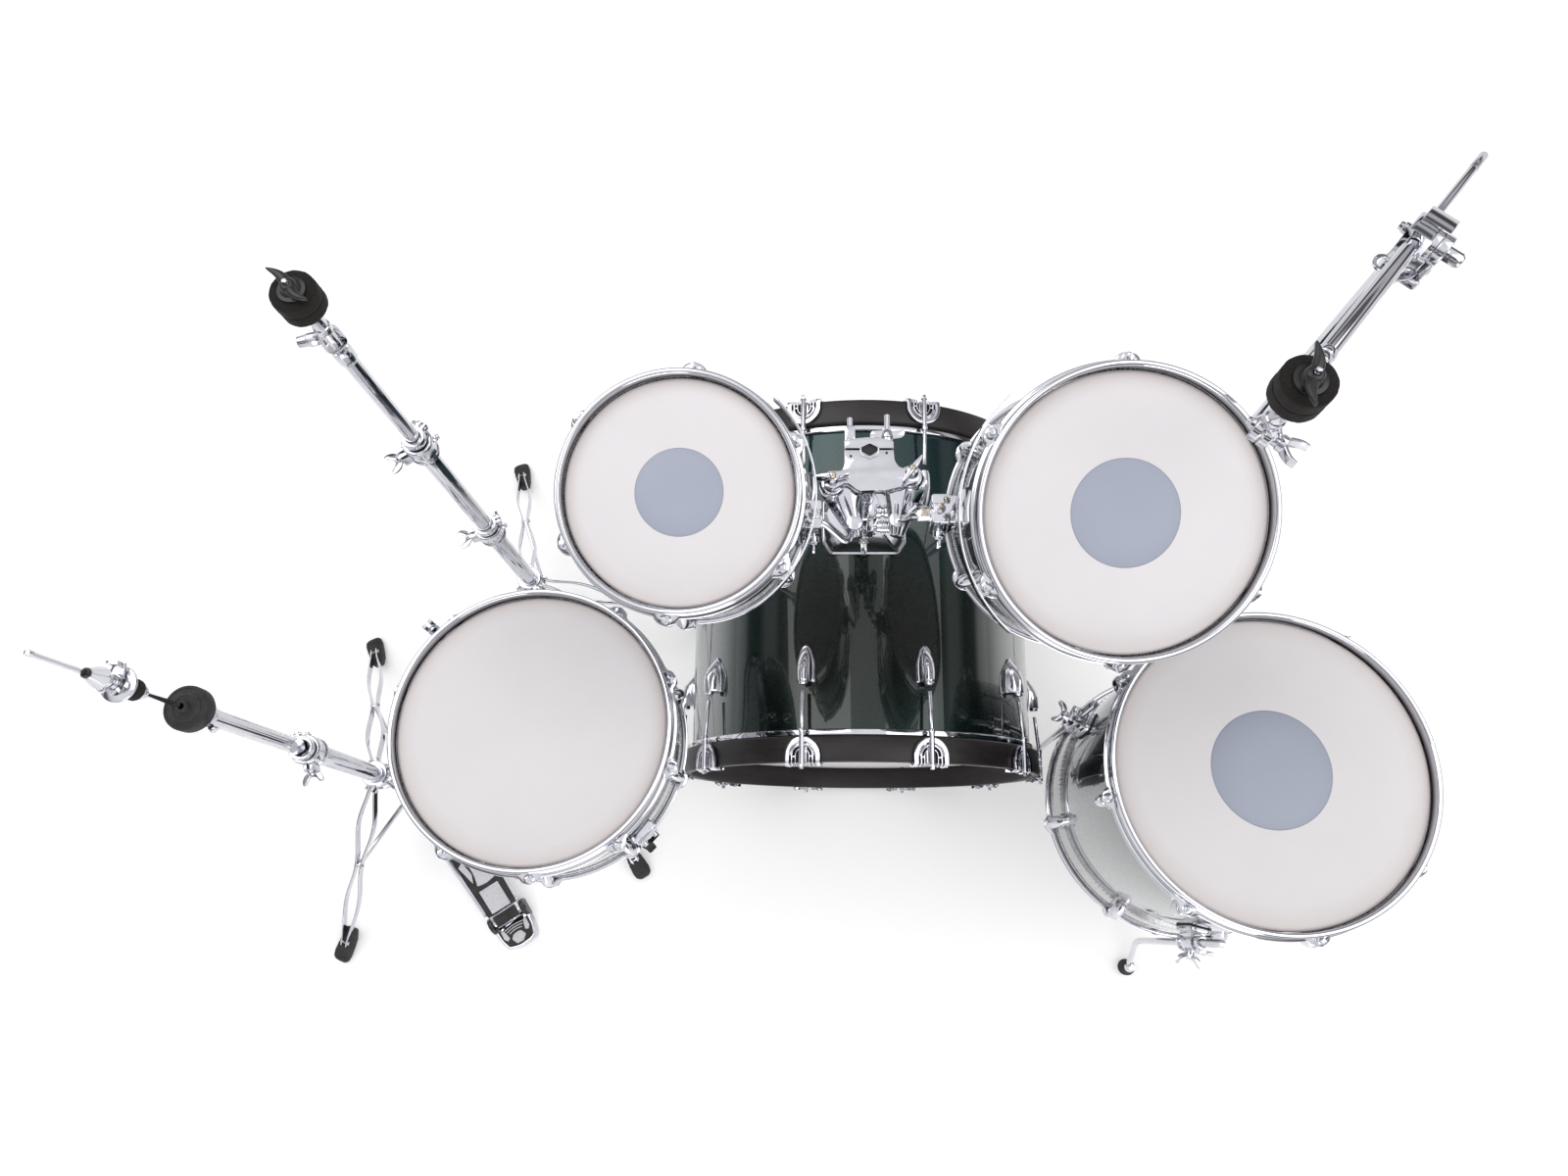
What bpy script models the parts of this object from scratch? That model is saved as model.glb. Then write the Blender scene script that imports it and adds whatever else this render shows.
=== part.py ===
"""Five-piece drum kit on its stands, seen from the player's side: +X to the player's right, +Y away from the player, +Z up.

Every length is in metres. Drums are turned rings and discs, stands are telescoping tubes, and each loose or moving
piece is an object of its own. Positions are given on the kit's floor plan, whose centre is KIT_CENTRE.
"""

import math

import bmesh
import bpy
from mathutils import Matrix, Vector

for old in list(bpy.data.objects):
    bpy.data.objects.remove(old)

# ---------------------------------------------------------------- driving dimensions
INCH = 0.0254
KIT_CENTRE = (-0.0161, 0.4758)  # middle of the kit's footprint on the floor plan
GAP = 0.0004  # running clearance between touching pieces

BASS_R, BASS_DEPTH = 11 * INCH, 0.457
BASS_EDGE = (0.0677, 0.2884, 0.2946)  # centre of the batter edge
BASS_LEAN = 0.059  # front end raised, radians
BASS_HOOP_W, BASS_HOOP_R = 0.038, BASS_R + 0.013
BASS_LUGS = 10

TOM1_R, TOM1_DEPTH, TOM1_AT, TOM1_N = 5 * INCH, 8 * INCH, (-0.1531, 0.4527, 1.0215), (-0.0019, -0.2517, 1)
TOM2_R, TOM2_DEPTH, TOM2_AT, TOM2_N = 6 * INCH, 9 * INCH, (0.3261, 0.4261, 1.0263), (0.0198, -0.3593, 1)
FLOOR_R, FLOOR_DEPTH, FLOOR_AT = 8 * INCH, 16 * INCH, (0.5923, 0.2056, 0.6706)
SNARE_R, SNARE_DEPTH, SNARE_AT = 7 * INCH, 5.5 * INCH, (-0.3748, 0.2461, 0.7205)
SHELL_T, FILM_T = 0.0060, 0.0016

POST_AT = (0.0632, 0.5760)
BRIDGE_Z = 0.8560
ROD_R = 0.0050  # tom arm L-rod
TOM1_PIVOT = (-0.0120, 0.4800, 0.8660)
TOM2_PIVOT = (0.1480, 0.4760, 0.8950)

HIHAT_AT = (-0.7637, 0.2457)
PEDAL_HINGE, PEDAL_DIR = (-0.5770, 0.0155, 0.0300), math.radians(-57)
LEFT_AT = (-0.5335, 0.6097)
RIGHT_AT = (0.6240, 0.6950)
BOOM_CLAMP = (0.6240, 0.6950, 1.1270)
BOOM_TILTER = (0.4060, 0.4380, 1.2000)
SNARE_STAND_AT = (-0.4500, 0.2900)

# ---------------------------------------------------------------- materials
MATERIALS = {}


def material(name, rgb, rough, metal):
    m = bpy.data.materials.new(name)
    m.use_nodes = True
    b = m.node_tree.nodes["Principled BSDF"]
    b.inputs["Base Color"].default_value = (*rgb, 1)
    b.inputs["Roughness"].default_value = rough
    b.inputs["Metallic"].default_value = metal
    MATERIALS[name] = m


material("green_lacquer", (0.012, 0.045, 0.040), 0.12, 0.35)
material("chrome", (0.78, 0.79, 0.80), 0.07, 1.0)
material("coated_film", (0.78, 0.76, 0.75), 0.55, 0.0)
material("black_wood", (0.025, 0.022, 0.022), 0.40, 0.0)
material("black_rubber", (0.018, 0.018, 0.018), 0.75, 0.0)
material("black_plastic", (0.016, 0.016, 0.017), 0.35, 0.0)
material("black_felt", (0.015, 0.015, 0.016), 0.95, 0.0)
material("spring_steel", (0.60, 0.60, 0.60), 0.25, 1.0)

# ---------------------------------------------------------------- shapes


def turned(profile, seg=28, at=None):
    """A solid turned about Z. A profile that starts and ends on the axis is a solid, any other is a closed ring section."""
    bm = bmesh.new()
    rings = []
    for r, z in profile:
        if r < 1e-7:
            rings.append([bm.verts.new((0, 0, z))])
        else:
            rings.append([bm.verts.new((r * math.cos(2 * math.pi * k / seg), r * math.sin(2 * math.pi * k / seg), z)) for k in range(seg)])
    closed = len(rings[0]) > 1
    n = len(rings)
    for i in range(n if closed else n - 1):
        a, b = rings[i], rings[(i + 1) % n]
        for k in range(seg):
            q = (k + 1) % seg
            if len(a) == 1 and len(b) == 1:
                continue
            if len(a) == 1:
                bm.faces.new((a[0], b[k], b[q]))
            elif len(b) == 1:
                bm.faces.new((a[k], b[0], a[q]))
            else:
                bm.faces.new((a[k], b[k], b[q], a[q]))
    bmesh.ops.recalc_face_normals(bm, faces=bm.faces)
    return moved(bm, at)


def moved(bm, matrix):
    if matrix is not None:
        if not isinstance(matrix, Matrix):
            matrix = Matrix.Translation(matrix)
        bmesh.ops.transform(bm, matrix=matrix, verts=bm.verts)
    return bm


def facing(at, normal, spin=0.0):
    """A frame at a point, with Z along the normal and X as near world X as it can be."""
    z = Vector(normal).normalized()
    x = Vector((1, 0, 0))
    if abs(z.dot(x)) > 0.95:
        x = Vector((0, 1, 0))
    x = (x - z * x.dot(z)).normalized()
    y = z.cross(x)
    return Matrix.Translation(at) @ Matrix((x, y, z)).transposed().to_4x4() @ Matrix.Rotation(spin, 4, "Z")


def rod(p, q, r, seg=8, r2=None):
    """A round bar from p to q."""
    p, q = Vector(p), Vector(q)
    r2 = r if r2 is None else r2
    return turned([(0, 0), (r, 0), (r2, (q - p).length), (0, (q - p).length)], seg, facing(p, q - p))


def pipe(p, q, r, bore, seg=16):
    """A tube from p to q, open at both ends."""
    p, q = Vector(p), Vector(q)
    n = (q - p).length
    return turned([(r, 0), (r, n), (bore, n), (bore, 0)], seg, facing(p, q - p))


def block(at, size, matrix=None, top=None):
    """A box centred on a point. top narrows its upper face by two factors."""
    bm = bmesh.new()
    bmesh.ops.create_cube(bm, size=1.0)
    if top:
        for v in bm.verts:
            if v.co.z > 0:
                v.co.x *= top[0]
                v.co.y *= top[1]
    bmesh.ops.transform(bm, matrix=Matrix.Translation(at) @ Matrix.Diagonal((*size, 1)), verts=bm.verts)
    return moved(bm, matrix)


def swept(path, section, side):
    """A closed section carried along a path of points, mitred at its bends. side is the section's first axis."""
    path = [Vector(p) for p in path]
    side = Vector(side)
    bm = bmesh.new()
    rings = []
    for i, p in enumerate(path):
        a = (path[i] - path[i - 1]).normalized() if i else (path[1] - path[0]).normalized()
        b = (path[i + 1] - path[i]).normalized() if i < len(path) - 1 else a
        t = (a + b).normalized()
        s = (side - t * side.dot(t)).normalized()
        n = t.cross(s)
        grow = 1 / max(0.5, t.dot(a))
        bend = (b - a)
        bend = bend.normalized() if bend.length > 1e-6 else n
        ring = []
        for u, v in section:
            off = s * u + n * v
            off += bend * (off.dot(bend) * (grow - 1))
            ring.append(bm.verts.new(p + off))
        rings.append(ring)
    m = len(section)
    for i in range(len(rings) - 1):
        for k in range(m):
            bm.faces.new((rings[i][k], rings[i][(k + 1) % m], rings[i + 1][(k + 1) % m], rings[i + 1][k]))
    bm.faces.new(rings[0])
    bm.faces.new(list(reversed(rings[-1])))
    bmesh.ops.recalc_face_normals(bm, faces=bm.faces)
    return bm


def flat(w, t):
    return [(-w / 2, -t / 2), (w / 2, -t / 2), (w / 2, t / 2), (-w / 2, t / 2)]


def round_section(r, seg=8):
    return [(r * math.cos(2 * math.pi * k / seg), r * math.sin(2 * math.pi * k / seg)) for k in range(seg)]


def plate(points, z0, z1):
    """A flat outline, extruded between two heights."""
    bm = bmesh.new()
    bottom = [bm.verts.new((x, y, z0)) for x, y in points]
    face = bm.faces.new(bottom)
    grown = bmesh.ops.extrude_face_region(bm, geom=[face])
    for v in grown["geom"]:
        if isinstance(v, bmesh.types.BMVert):
            v.co.z = z1
    bmesh.ops.recalc_face_normals(bm, faces=bm.faces)
    return bm


def together(parts):
    bm = bmesh.new()
    for part in parts:
        me = bpy.data.meshes.new("scrap")
        part.to_mesh(me)
        bm.from_mesh(me)
        bpy.data.meshes.remove(me)
    return bm


KIT = bpy.data.objects.new("kit", None)
bpy.context.scene.collection.objects.link(KIT)
KIT.location = (-KIT_CENTRE[0], -KIT_CENTRE[1], 0)


def as_object(name, bm, origin, mat=None):
    bm = bm.copy()
    bmesh.ops.translate(bm, vec=-Vector(origin), verts=bm.verts)
    me = bpy.data.meshes.new(name)
    bm.to_mesh(me)
    bm.free()
    if mat:
        me.materials.append(MATERIALS[mat])
    me.shade_smooth()
    me.set_sharp_from_angle(angle=math.radians(35))
    ob = bpy.data.objects.new(name, me)
    bpy.context.scene.collection.objects.link(ob)
    ob.location = origin
    ob.parent = KIT
    return ob


def solid(name, mat, base, add=(), cut=(), origin=(0, 0, 0)):
    """One named piece: a base shape, shapes joined to it and shapes cut from it. Each of add and cut lists groups of
    shapes, and the shapes in one group stand clear of each other."""
    ob = as_object(name, base, origin, mat)
    for kind, groups in (("UNION", add), ("DIFFERENCE", cut)):
        for i, group in enumerate(groups):
            other = as_object(f"{kind.lower()}_{name}_{i}", together(group) if isinstance(group, (list, tuple)) else group, origin, mat)
            other.hide_render = True
            other.display_type = "WIRE"
            mod = ob.modifiers.new(f"{kind.lower()}_{i}", "BOOLEAN")
            mod.operation = kind
            mod.solver = "EXACT"
            mod.object = other
    return ob


def around(matrix, angle, radius, z=0.0):
    """A frame on a drum's side: X points out of the drum, Z along it."""
    return matrix @ Matrix.Rotation(angle, 4, "Z") @ Matrix.Translation((radius, 0, z))


# ---------------------------------------------------------------- drums


def drum(name, r, depth, at, normal, lugs, phase, seg, lug_z=0.030, lug_h=0.028, shell_add=(), shell_cut=()):
    """Shell with its lugs, two hoops with their tension rods and two heads. Z = 0 is the batter film."""
    m = facing(at, normal)
    angles = [math.radians(phase + 360 / lugs * k) for k in range(lugs)]
    turn = Matrix.Rotation(math.pi, 4, "X")
    base = turned([(r, -FILM_T - GAP), (r, -depth + FILM_T + GAP), (r - SHELL_T, -depth + FILM_T + GAP), (r - SHELL_T, -FILM_T - GAP)], seg, m)
    lug_rows = []
    for a in angles:
        for zc in (-lug_z - lug_h / 2, -depth + lug_z + lug_h / 2):
            lug_rows.append(block((0.0080, 0, 0), (0.0220, 0.0130, lug_h), around(m, a, r, zc), top=(0.9, 0.7)))
    solid(name + "_shell", "green_lacquer", base, [lug_rows] + list(shell_add), shell_cut)
    film = [(0, 0), (r + 0.0004, 0), (r + 0.0004, -FILM_T), (0, -FILM_T)]
    hoop = [(r + 0.0009, -0.0125), (r + 0.0120, -0.0125), (r + 0.0060, -0.0090), (r + 0.0072, 0.0140), (r + 0.0009, 0.0125)]
    for end, mm in (("top", m), ("bottom", m @ Matrix.Translation((0, 0, -depth)) @ turn)):
        solid(f"{name}_{'batter' if end == 'top' else 'bottom'}_head", "coated_film", turned(film, seg, mm))
        rods = []
        for a in angles:
            a = a if end == "top" else -a
            rods.append(block((0.0130, 0, -(lug_z - GAP + 0.0040) / 2), (0.0076, 0.0066, lug_z - GAP - 0.0040), around(mm, a, r)))
        solid(f"{name}_{end}_hoop", "chrome", turned(hoop, seg, mm), [rods])
    return m


def wing_bolt(at, out, flat_dir, size=0.030, stem=0.012):
    """A wing bolt: a stem that points along out, then a flat wing."""
    at, out, fd = Vector(at), Vector(out).normalized(), Vector(flat_dir).normalized()
    wing = swept([at + out * (stem - 0.002), at + out * (stem + 0.014)], flat(size, 0.004), fd)
    return rod(at - out * 0.004, at + out * stem, 0.0045, 6), wing


# tom brackets are blocks on the shell's side, bored for the arm's rod
def tom_bracket(face, pivot, sign):
    """A block from inside the shell's wall to just past the pivot, and the bore that the rod turns in."""
    x, y, z = pivot
    outer = x + sign * 0.0160
    inner = face - sign * 0.0052
    cut = rod((x - sign * 0.0140, y, z), (x + sign * 0.0600, y, z), ROD_R + 0.0007, 10)
    return block(((outer + inner) / 2, y, z), (abs(outer - inner), 0.0340, 0.0420)), cut


tom1_bracket, tom1_bore = tom_bracket(-0.1528 + TOM1_R, TOM1_PIVOT, 1)
tom2_bracket, tom2_bore = tom_bracket(0.3235 - TOM2_R, TOM2_PIVOT, -1)
drum("tom1", TOM1_R, TOM1_DEPTH, TOM1_AT, TOM1_N, 6, 24, 20, shell_add=[[tom1_bracket]], shell_cut=[[tom1_bore]])
drum("tom2", TOM2_R, TOM2_DEPTH, TOM2_AT, TOM2_N, 6, 29, 22, shell_add=[[tom2_bracket]], shell_cut=[[tom2_bore]])

# floor tom: three bored leg brackets and three bent legs
LEG_R, LEG_OUT = 0.0052, FLOOR_R + 0.0220
LEG_ANGLES = (-104, 152, 24)
LEG_FOOT = ((0.559, -0.057), None, None)
brackets, leg_bores, leg_wings = [], [], []
for deg in LEG_ANGLES:
    a = math.radians(deg)
    fm = Matrix.Translation((FLOOR_AT[0], FLOOR_AT[1], 0)) @ Matrix.Rotation(a, 4, "Z")
    brackets.append(block((FLOOR_R + 0.0130, 0, 0.4500), (0.0340, 0.0300, 0.0700), fm))
    leg_bores.append(rod(fm @ Vector((LEG_OUT, 0, 0.36)), fm @ Vector((LEG_OUT, 0, 0.54)), LEG_R + 0.0008, 10))
    st, wi = wing_bolt(fm @ Vector((FLOOR_R + 0.0290, 0, 0.4500)), fm.to_3x3() @ Vector((1, 0, 0)), (0, 0, 1), 0.034, 0.010)
    leg_wings.append((st, wi))
drum("floor_tom", FLOOR_R, FLOOR_DEPTH, FLOOR_AT, (0, 0, 1), 8, 10, 24,
     shell_add=[brackets, [w[0] for w in leg_wings], [w[1] for w in leg_wings]],
     shell_cut=[leg_bores])
for i, deg in enumerate(LEG_ANGLES):
    a = math.radians(deg)
    c = Vector((FLOOR_AT[0], FLOOR_AT[1], 0))
    out = Vector((math.cos(a), math.sin(a), 0))
    top = c + out * LEG_OUT
    turn_a = a + math.radians(37 if i == 0 else 30)
    reach = Vector((math.cos(turn_a), math.sin(turn_a), 0))
    path = [top + Vector((0, 0, 0.575)), top + Vector((0, 0, 0.170)), top - reach * 0.004 + Vector((0, 0, 0.150)),
            top + reach * 0.044 + Vector((0, 0, 0.040)), top + reach * 0.051 + Vector((0, 0, 0.026))]
    tip = top + reach * 0.051
    foot = turned([(0, 0), (0.0100, 0.0), (0.0135, 0.006), (0.0135, 0.022), (0, 0.034)], 8, tip)
    solid(f"floor_tom_leg_{i + 1}", "chrome", swept(path, round_section(LEG_R, 8), (-math.sin(a), math.cos(a), 0)), [[foot]], origin=top + Vector((0, 0, 0.45)))

# snare drum: strainer body and butt on the shell, throw-off lever, wires under the bottom head
SM = facing(SNARE_AT, (0, 0, 1))
STR_A, BUTT_A = math.radians(138), math.radians(318)
strainer = block((0.0100, 0, 0), (0.0280, 0.0260, 0.0600), around(SM, STR_A, SNARE_R, -0.0700))
butt = block((0.0060, 0, 0), (0.0200, 0.0340, 0.0400), around(SM, BUTT_A, SNARE_R, -0.0850))
ears = [block((0.0290, sg * 0.0111, 0), (0.0180, 0.0040, 0.0160), around(SM, STR_A, SNARE_R, -0.0850)) for sg in (-1, 1)]
drum("snare", SNARE_R, SNARE_DEPTH, SNARE_AT, (0, 0, 1), 10, 21, 24, lug_z=0.026, lug_h=0.024, shell_add=[[strainer, butt], ears])
lever_m = around(SM, STR_A, SNARE_R + 0.0250, -0.0850)
LEVER_PIVOT = lever_m @ Vector((0.0065, 0, 0))
lever_body = swept([lever_m @ Vector(p) for p in ((0.0065, 0, -0.006), (0.0075, 0, 0.010), (0.0090, 0, 0.034), (0.0125, 0, 0.050), (0.0180, 0, 0.058))],
                   flat(0.016, 0.0055), lever_m.to_3x3() @ Vector((0, 1, 0)))
barrel = rod(lever_m @ Vector((0.0065, -0.0088, 0)), lever_m @ Vector((0.0065, 0.0088, 0)), 0.0050, 10)
solid("snare_throw_off_lever", "chrome", lever_body, [[barrel]], origin=LEVER_PIVOT)
wire_m = SM @ Matrix.Rotation(STR_A, 4, "Z") @ Matrix.Translation((0, 0, -SNARE_DEPTH - 0.0024))
solid("snare_wires", "spring_steel", block((0, 0, 0), (0.3000, 0.0400, 0.0030), wire_m),
      [[block((-0.1560, 0, 0.0), (0.0200, 0.0440, 0.0022), wire_m), block((0.1560, 0, 0.0), (0.0200, 0.0440, 0.0022), wire_m)]])

# ---------------------------------------------------------------- bass drum
BM = Matrix.Translation(BASS_EDGE) @ Matrix.Rotation(math.pi / 2 + BASS_LEAN, 4, "X")
# in this frame Z runs from the front of the drum to the player: s along the axis is -Z
BSEG = 28


def bass_frame(deg, radius, s):
    """A frame on the bass drum's side: X out of the drum, Z towards the player. deg is counted from the top, to +X."""
    return BM @ Matrix.Rotation(math.radians(90 - deg), 4, "Z") @ Matrix.Translation((radius, 0, -s))


S0, S1 = -0.0060, BASS_DEPTH + 0.0060
shell = turned([(BASS_R, -S0), (BASS_R, -S1), (BASS_R - 0.0070, -S1), (BASS_R - 0.0070, -S0)], BSEG, BM)
LUG_DEGS = [18 + 36 * k for k in range(BASS_LUGS)]
lugs = []
for deg in LUG_DEGS:
    for s in (0.0700, BASS_DEPTH - 0.0700):
        lugs.append(block((0.0100, 0, 0), (0.0260, 0.0230, 0.0500), bass_frame(deg, BASS_R, s), top=(0.8, 0.8)))
SPUR_S, SPUR_DEG = BASS_DEPTH - 0.1150, 110
spur_sockets, spur_bores = [], []
for sg in (-1, 1):
    spur_sockets.append(block((0.0120, 0, 0), (0.0300, 0.0440, 0.0500), bass_frame(sg * SPUR_DEG, BASS_R, SPUR_S)))
post_hole = rod((*POST_AT, 0.45), (*POST_AT, 0.75), 0.0140, 12)
solid("bass_shell", "green_lacquer", shell, [lugs, spur_sockets], [[post_hole]])

head = [(0, 0), (BASS_R + 0.0050, 0), (BASS_R + 0.0050, -0.0100), (BASS_R + 0.0008, -0.0100), (BASS_R + 0.0008, -FILM_T), (0, -FILM_T)]
solid("bass_batter_head", "coated_film", turned(head, BSEG, BM @ Matrix.Translation((0, 0, -S0 + FILM_T + GAP))))
solid("bass_front_head", "coated_film", turned(head, BSEG, BM @ Matrix.Translation((0, 0, -S1 - FILM_T - GAP)) @ Matrix.Rotation(math.pi, 4, "X")))

for end, mm, sign in (("batter", BM @ Matrix.Translation((0, 0, 0.0080 + GAP)), 1),
                      ("front", BM @ Matrix.Translation((0, 0, -BASS_DEPTH - 0.0080 - GAP)) @ Matrix.Rotation(math.pi, 4, "X"), -1)):
    ring = turned([(BASS_HOOP_R, 0), (BASS_HOOP_R, BASS_HOOP_W), (BASS_R + 0.0010, BASS_HOOP_W), (BASS_R + 0.0010, 0)], BSEG, mm)
    claws, rods = [], []
    for deg in LUG_DEGS:
        cm = mm @ Matrix.Rotation(math.radians(90 - deg) * (1 if sign > 0 else -1), 4, "Z")
        claws.append(block((BASS_HOOP_R - 0.0010, 0, BASS_HOOP_W / 2 + 0.0052), (0.0100, 0.0520, BASS_HOOP_W - 0.0040), cm))
        rods.append(block((BASS_R + 0.0190, 0, -0.0005), (0.0060, 0.0060, 0.0640), cm))
    solid(f"bass_{end}_hoop", "black_wood", ring, [claws, rods])

# spurs: a leg that swings on its socket, standing on the floor in front
for side, sg in (("left", -1), ("right", 1)):
    sm = bass_frame(sg * SPUR_DEG, BASS_R + 0.0275 + 0.0006, SPUR_S)
    pivot = sm @ Vector((0.0080, 0, 0))
    x_out = (sm.to_3x3() @ Vector((1, 0, 0))).normalized()
    tip = Vector((pivot.x + sg * 0.1150, pivot.y + 0.0950, 0.0060))
    hub = turned([(0, 0), (0.0200, 0), (0.0200, 0.0160), (0, 0.0160)], 12, facing(sm @ Vector((0, 0, 0)), x_out))
    leg = rod(pivot, tip, 0.0080, 8)
    rubber = rod(tip + (pivot - tip).normalized() * 0.030, tip, 0.0120, 8, 0.0100)
    floor_cut = block((tip.x, tip.y, -0.0500), (0.1, 0.1, 0.1))
    solid(f"bass_spur_{side}", "chrome", hub, [[leg], [rubber]], [[floor_cut]], origin=pivot)

# ---------------------------------------------------------------- tom mount
px, py = POST_AT
base = block((px + 0.0038, py + 0.0040, 0.6120), (0.1120, 0.0920, 0.0560), top=(0.48, 0.76))
collar = rod((px, py, 0.6200), (px, py, 0.6750), 0.0230, 14)
key_stem = rod((px, py - 0.020, 0.6570), (px, py - 0.038, 0.6570), 0.0055, 8)
key_head = block((px, py - 0.050, 0.6570), (0.0070, 0.0260, 0.0140))
saddle = turned([(0, -0.10), (BASS_R + GAP, -0.10), (BASS_R + GAP, -0.45), (0, -0.45)], BSEG, BM)
solid("tom_mount_base", "chrome", base, [[collar], [key_stem], [key_head]], [[saddle], [rod((px, py, 0.55), (px, py, 0.70), 0.0131, 12)]])
solid("tom_mount_post", "chrome", turned([(0, 0.864), (0.0127, 0.864), (0.0127, 0.500), (0.0105, 0.500), (0.0105, 0.860), (0, 0.860)], 12, (px, py, 0)),
      origin=(px, py, 0.6750))
ARM1, ARM2 = (0.0165, 0.5350), (0.1153, 0.5440)
outline = [(px - 0.0315, py + 0.012), (px - 0.0315, py - 0.018), (ARM1[0] + 0.006, ARM1[1] + 0.016), (ARM1[0] - 0.010, ARM1[1] + 0.014), (ARM1[0] - 0.016, ARM1[1]),
           (ARM1[0] - 0.008, ARM1[1] - 0.014), (px - 0.018, py - 0.056), (px + 0.022, py - 0.054), (ARM2[0] + 0.008, ARM2[1] - 0.014), (ARM2[0] + 0.014, ARM2[1]),
           (ARM2[0] + 0.008, ARM2[1] + 0.012), (ARM2[0] - 0.010, ARM2[1] + 0.012), (px + 0.0300, py - 0.018), (px + 0.0300, py + 0.012)]
bridge = plate(outline, BRIDGE_Z - 0.004, BRIDGE_Z + 0.008)
jaw = block((px - 0.0008, py + 0.0085, BRIDGE_Z - 0.003), (0.0620, 0.0150, 0.0260))
body = block((px - 0.0008, py - 0.0110, BRIDGE_Z - 0.010), (0.0520, 0.0300, 0.0300))
bolts = [rod((px + x, py + 0.012, BRIDGE_Z), (px + x, py + y, BRIDGE_Z), 0.0045, 8) for x, y in ((-0.0245, 0.047), (0.0228, 0.051))]
wing = block((px + 0.0228, py + 0.0235, BRIDGE_Z), (0.0440, 0.0070, 0.0120))
solid("tom_mount_bridge", "chrome", bridge, [[jaw], [body], bolts, [wing]], [[rod((px, py, 0.80), (px, py, 0.90), 0.0131, 12)],
      [rod((*ARM1, 0.83), (*ARM1, 0.88), 0.0046, 10), rod((*ARM2, 0.83), (*ARM2, 0.88), 0.0046, 10)]])


def tom_arm(name, at, tip, pivot, sign):
    """A cast arm under the bridge, its wing bolt through it, and the L-rod that the tom's bracket holds."""
    x, y = at
    z = BRIDGE_Z - 0.0045
    hub = turned([(0, 0), (0.0170, 0), (0.0190, -0.010), (0.0150, -0.024), (0, -0.026)], 12, (x, y, z))
    petal = swept([Vector((x, y, z - 0.014)), Vector((x * 0.55 + tip[0] * 0.45, y * 0.5 + tip[1] * 0.5, z - 0.018)), Vector((*tip, z - 0.026))],
                  [(-0.0150, -0.0100), (0.0150, -0.0100), (0.0110, 0.0080), (-0.0110, 0.0080)], (1, 0, 0))
    stem = rod((x, y, z - 0.010), (x, y, BRIDGE_Z + 0.0200), 0.0040, 8)
    wing = block((x, y, BRIDGE_Z + 0.0170), (0.0440, 0.0060, 0.0120), None)
    px_, py_, pz_ = pivot
    knee = Vector((tip[0] - sign * 0.006, py_, pz_))
    lrod = swept([Vector((px_ - sign * 0.010, py_, pz_)), knee, Vector((tip[0], tip[1] + 0.006, z - 0.026))], round_section(ROD_R, 8), (0, 1, 0))
    return solid(name, "chrome", hub, [[petal], [stem], [wing], [lrod]], origin=(x, y, z))


tom_arm("tom1_arm", ARM1, (0.0420, 0.4840), TOM1_PIVOT, 1)
tom_arm("tom2_arm", ARM2, (0.0980, 0.4880), TOM2_PIVOT, -1)

# ---------------------------------------------------------------- stands


def tripod(at, angles, reach, collar_z, hub_z, tube_r, bore, tube_top, tube_low=0.030):
    """Lower tube with its clamp, leg collar, hub, double-strip legs, stays and feet. Returns base and groups to join."""
    x, y = at
    tube = turned([(tube_r, tube_low), (tube_r, tube_top), (bore, tube_top), (bore, tube_low + 0.012), (0, tube_low + 0.012), (0, tube_low)], 12, (x, y, 0))
    collars = [rod((x, y, collar_z - 0.022), (x, y, collar_z + 0.020), tube_r + 0.0080, 10), rod((x, y, hub_z - 0.014), (x, y, hub_z + 0.014), tube_r + 0.0080, 10)]
    left, right, stays, ties, feet = [], [], [], [], []
    for deg in angles:
        a = math.radians(deg)
        o, s = Vector((math.cos(a), math.sin(a), 0)), Vector((-math.sin(a), math.cos(a), 0))
        p0 = Vector((x, y, 0))
        z0, z1, d0, d1 = collar_z, 0.024, tube_r + 0.003, reach - 0.030

        def along(t, off, lift=0.0):
            return p0 + o * (d0 + (d1 - d0) * t) + s * off + Vector((0, 0, z0 + (z1 - z0) * t + lift))

        w0, w1 = 0.0050, 0.0150
        shape = [(0.0, w0), (0.24, w1), (0.49, w0), (0.72, w1 * 0.85), (1.0, w0)]
        for sg, store in ((1, left), (-1, right)):
            store.append(swept([along(t, sg * w) for t, w in shape], flat(0.0120, 0.0024), Vector((0, 0, 1))))
        ties.append(rod(along(0.49, -0.0095), along(0.49, 0.0095), 0.0040, 4))
        stays.append(swept([p0 + o * (tube_r + 0.002) + Vector((0, 0, hub_z)), along(0.49, 0)], flat(0.0060, 0.0090), s))
        foot_m = Matrix.Translation(p0 + o * (reach - 0.028)) @ Matrix.Rotation(a, 4, "Z")
        feet.append(block((0, 0, 0.0130), (0.0600, 0.0340, 0.0260), foot_m, top=(0.80, 0.62)))
    return tube, [collars, left, right, ties, stays, feet]


def clamp(at, z, r, out_deg, wing=0.034):
    """A height clamp: a collar round the tube's mouth and its wing bolt."""
    x, y = at
    a = math.radians(out_deg)
    o = Vector((math.cos(a), math.sin(a), 0))
    st, wi = wing_bolt(Vector((x, y, z)) + o * (r + 0.007), o, (0, 0, 1), wing, 0.013)
    return rod((x, y, z - 0.018), (x, y, z + 0.018), r + 0.0080, 10), st, wi


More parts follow.
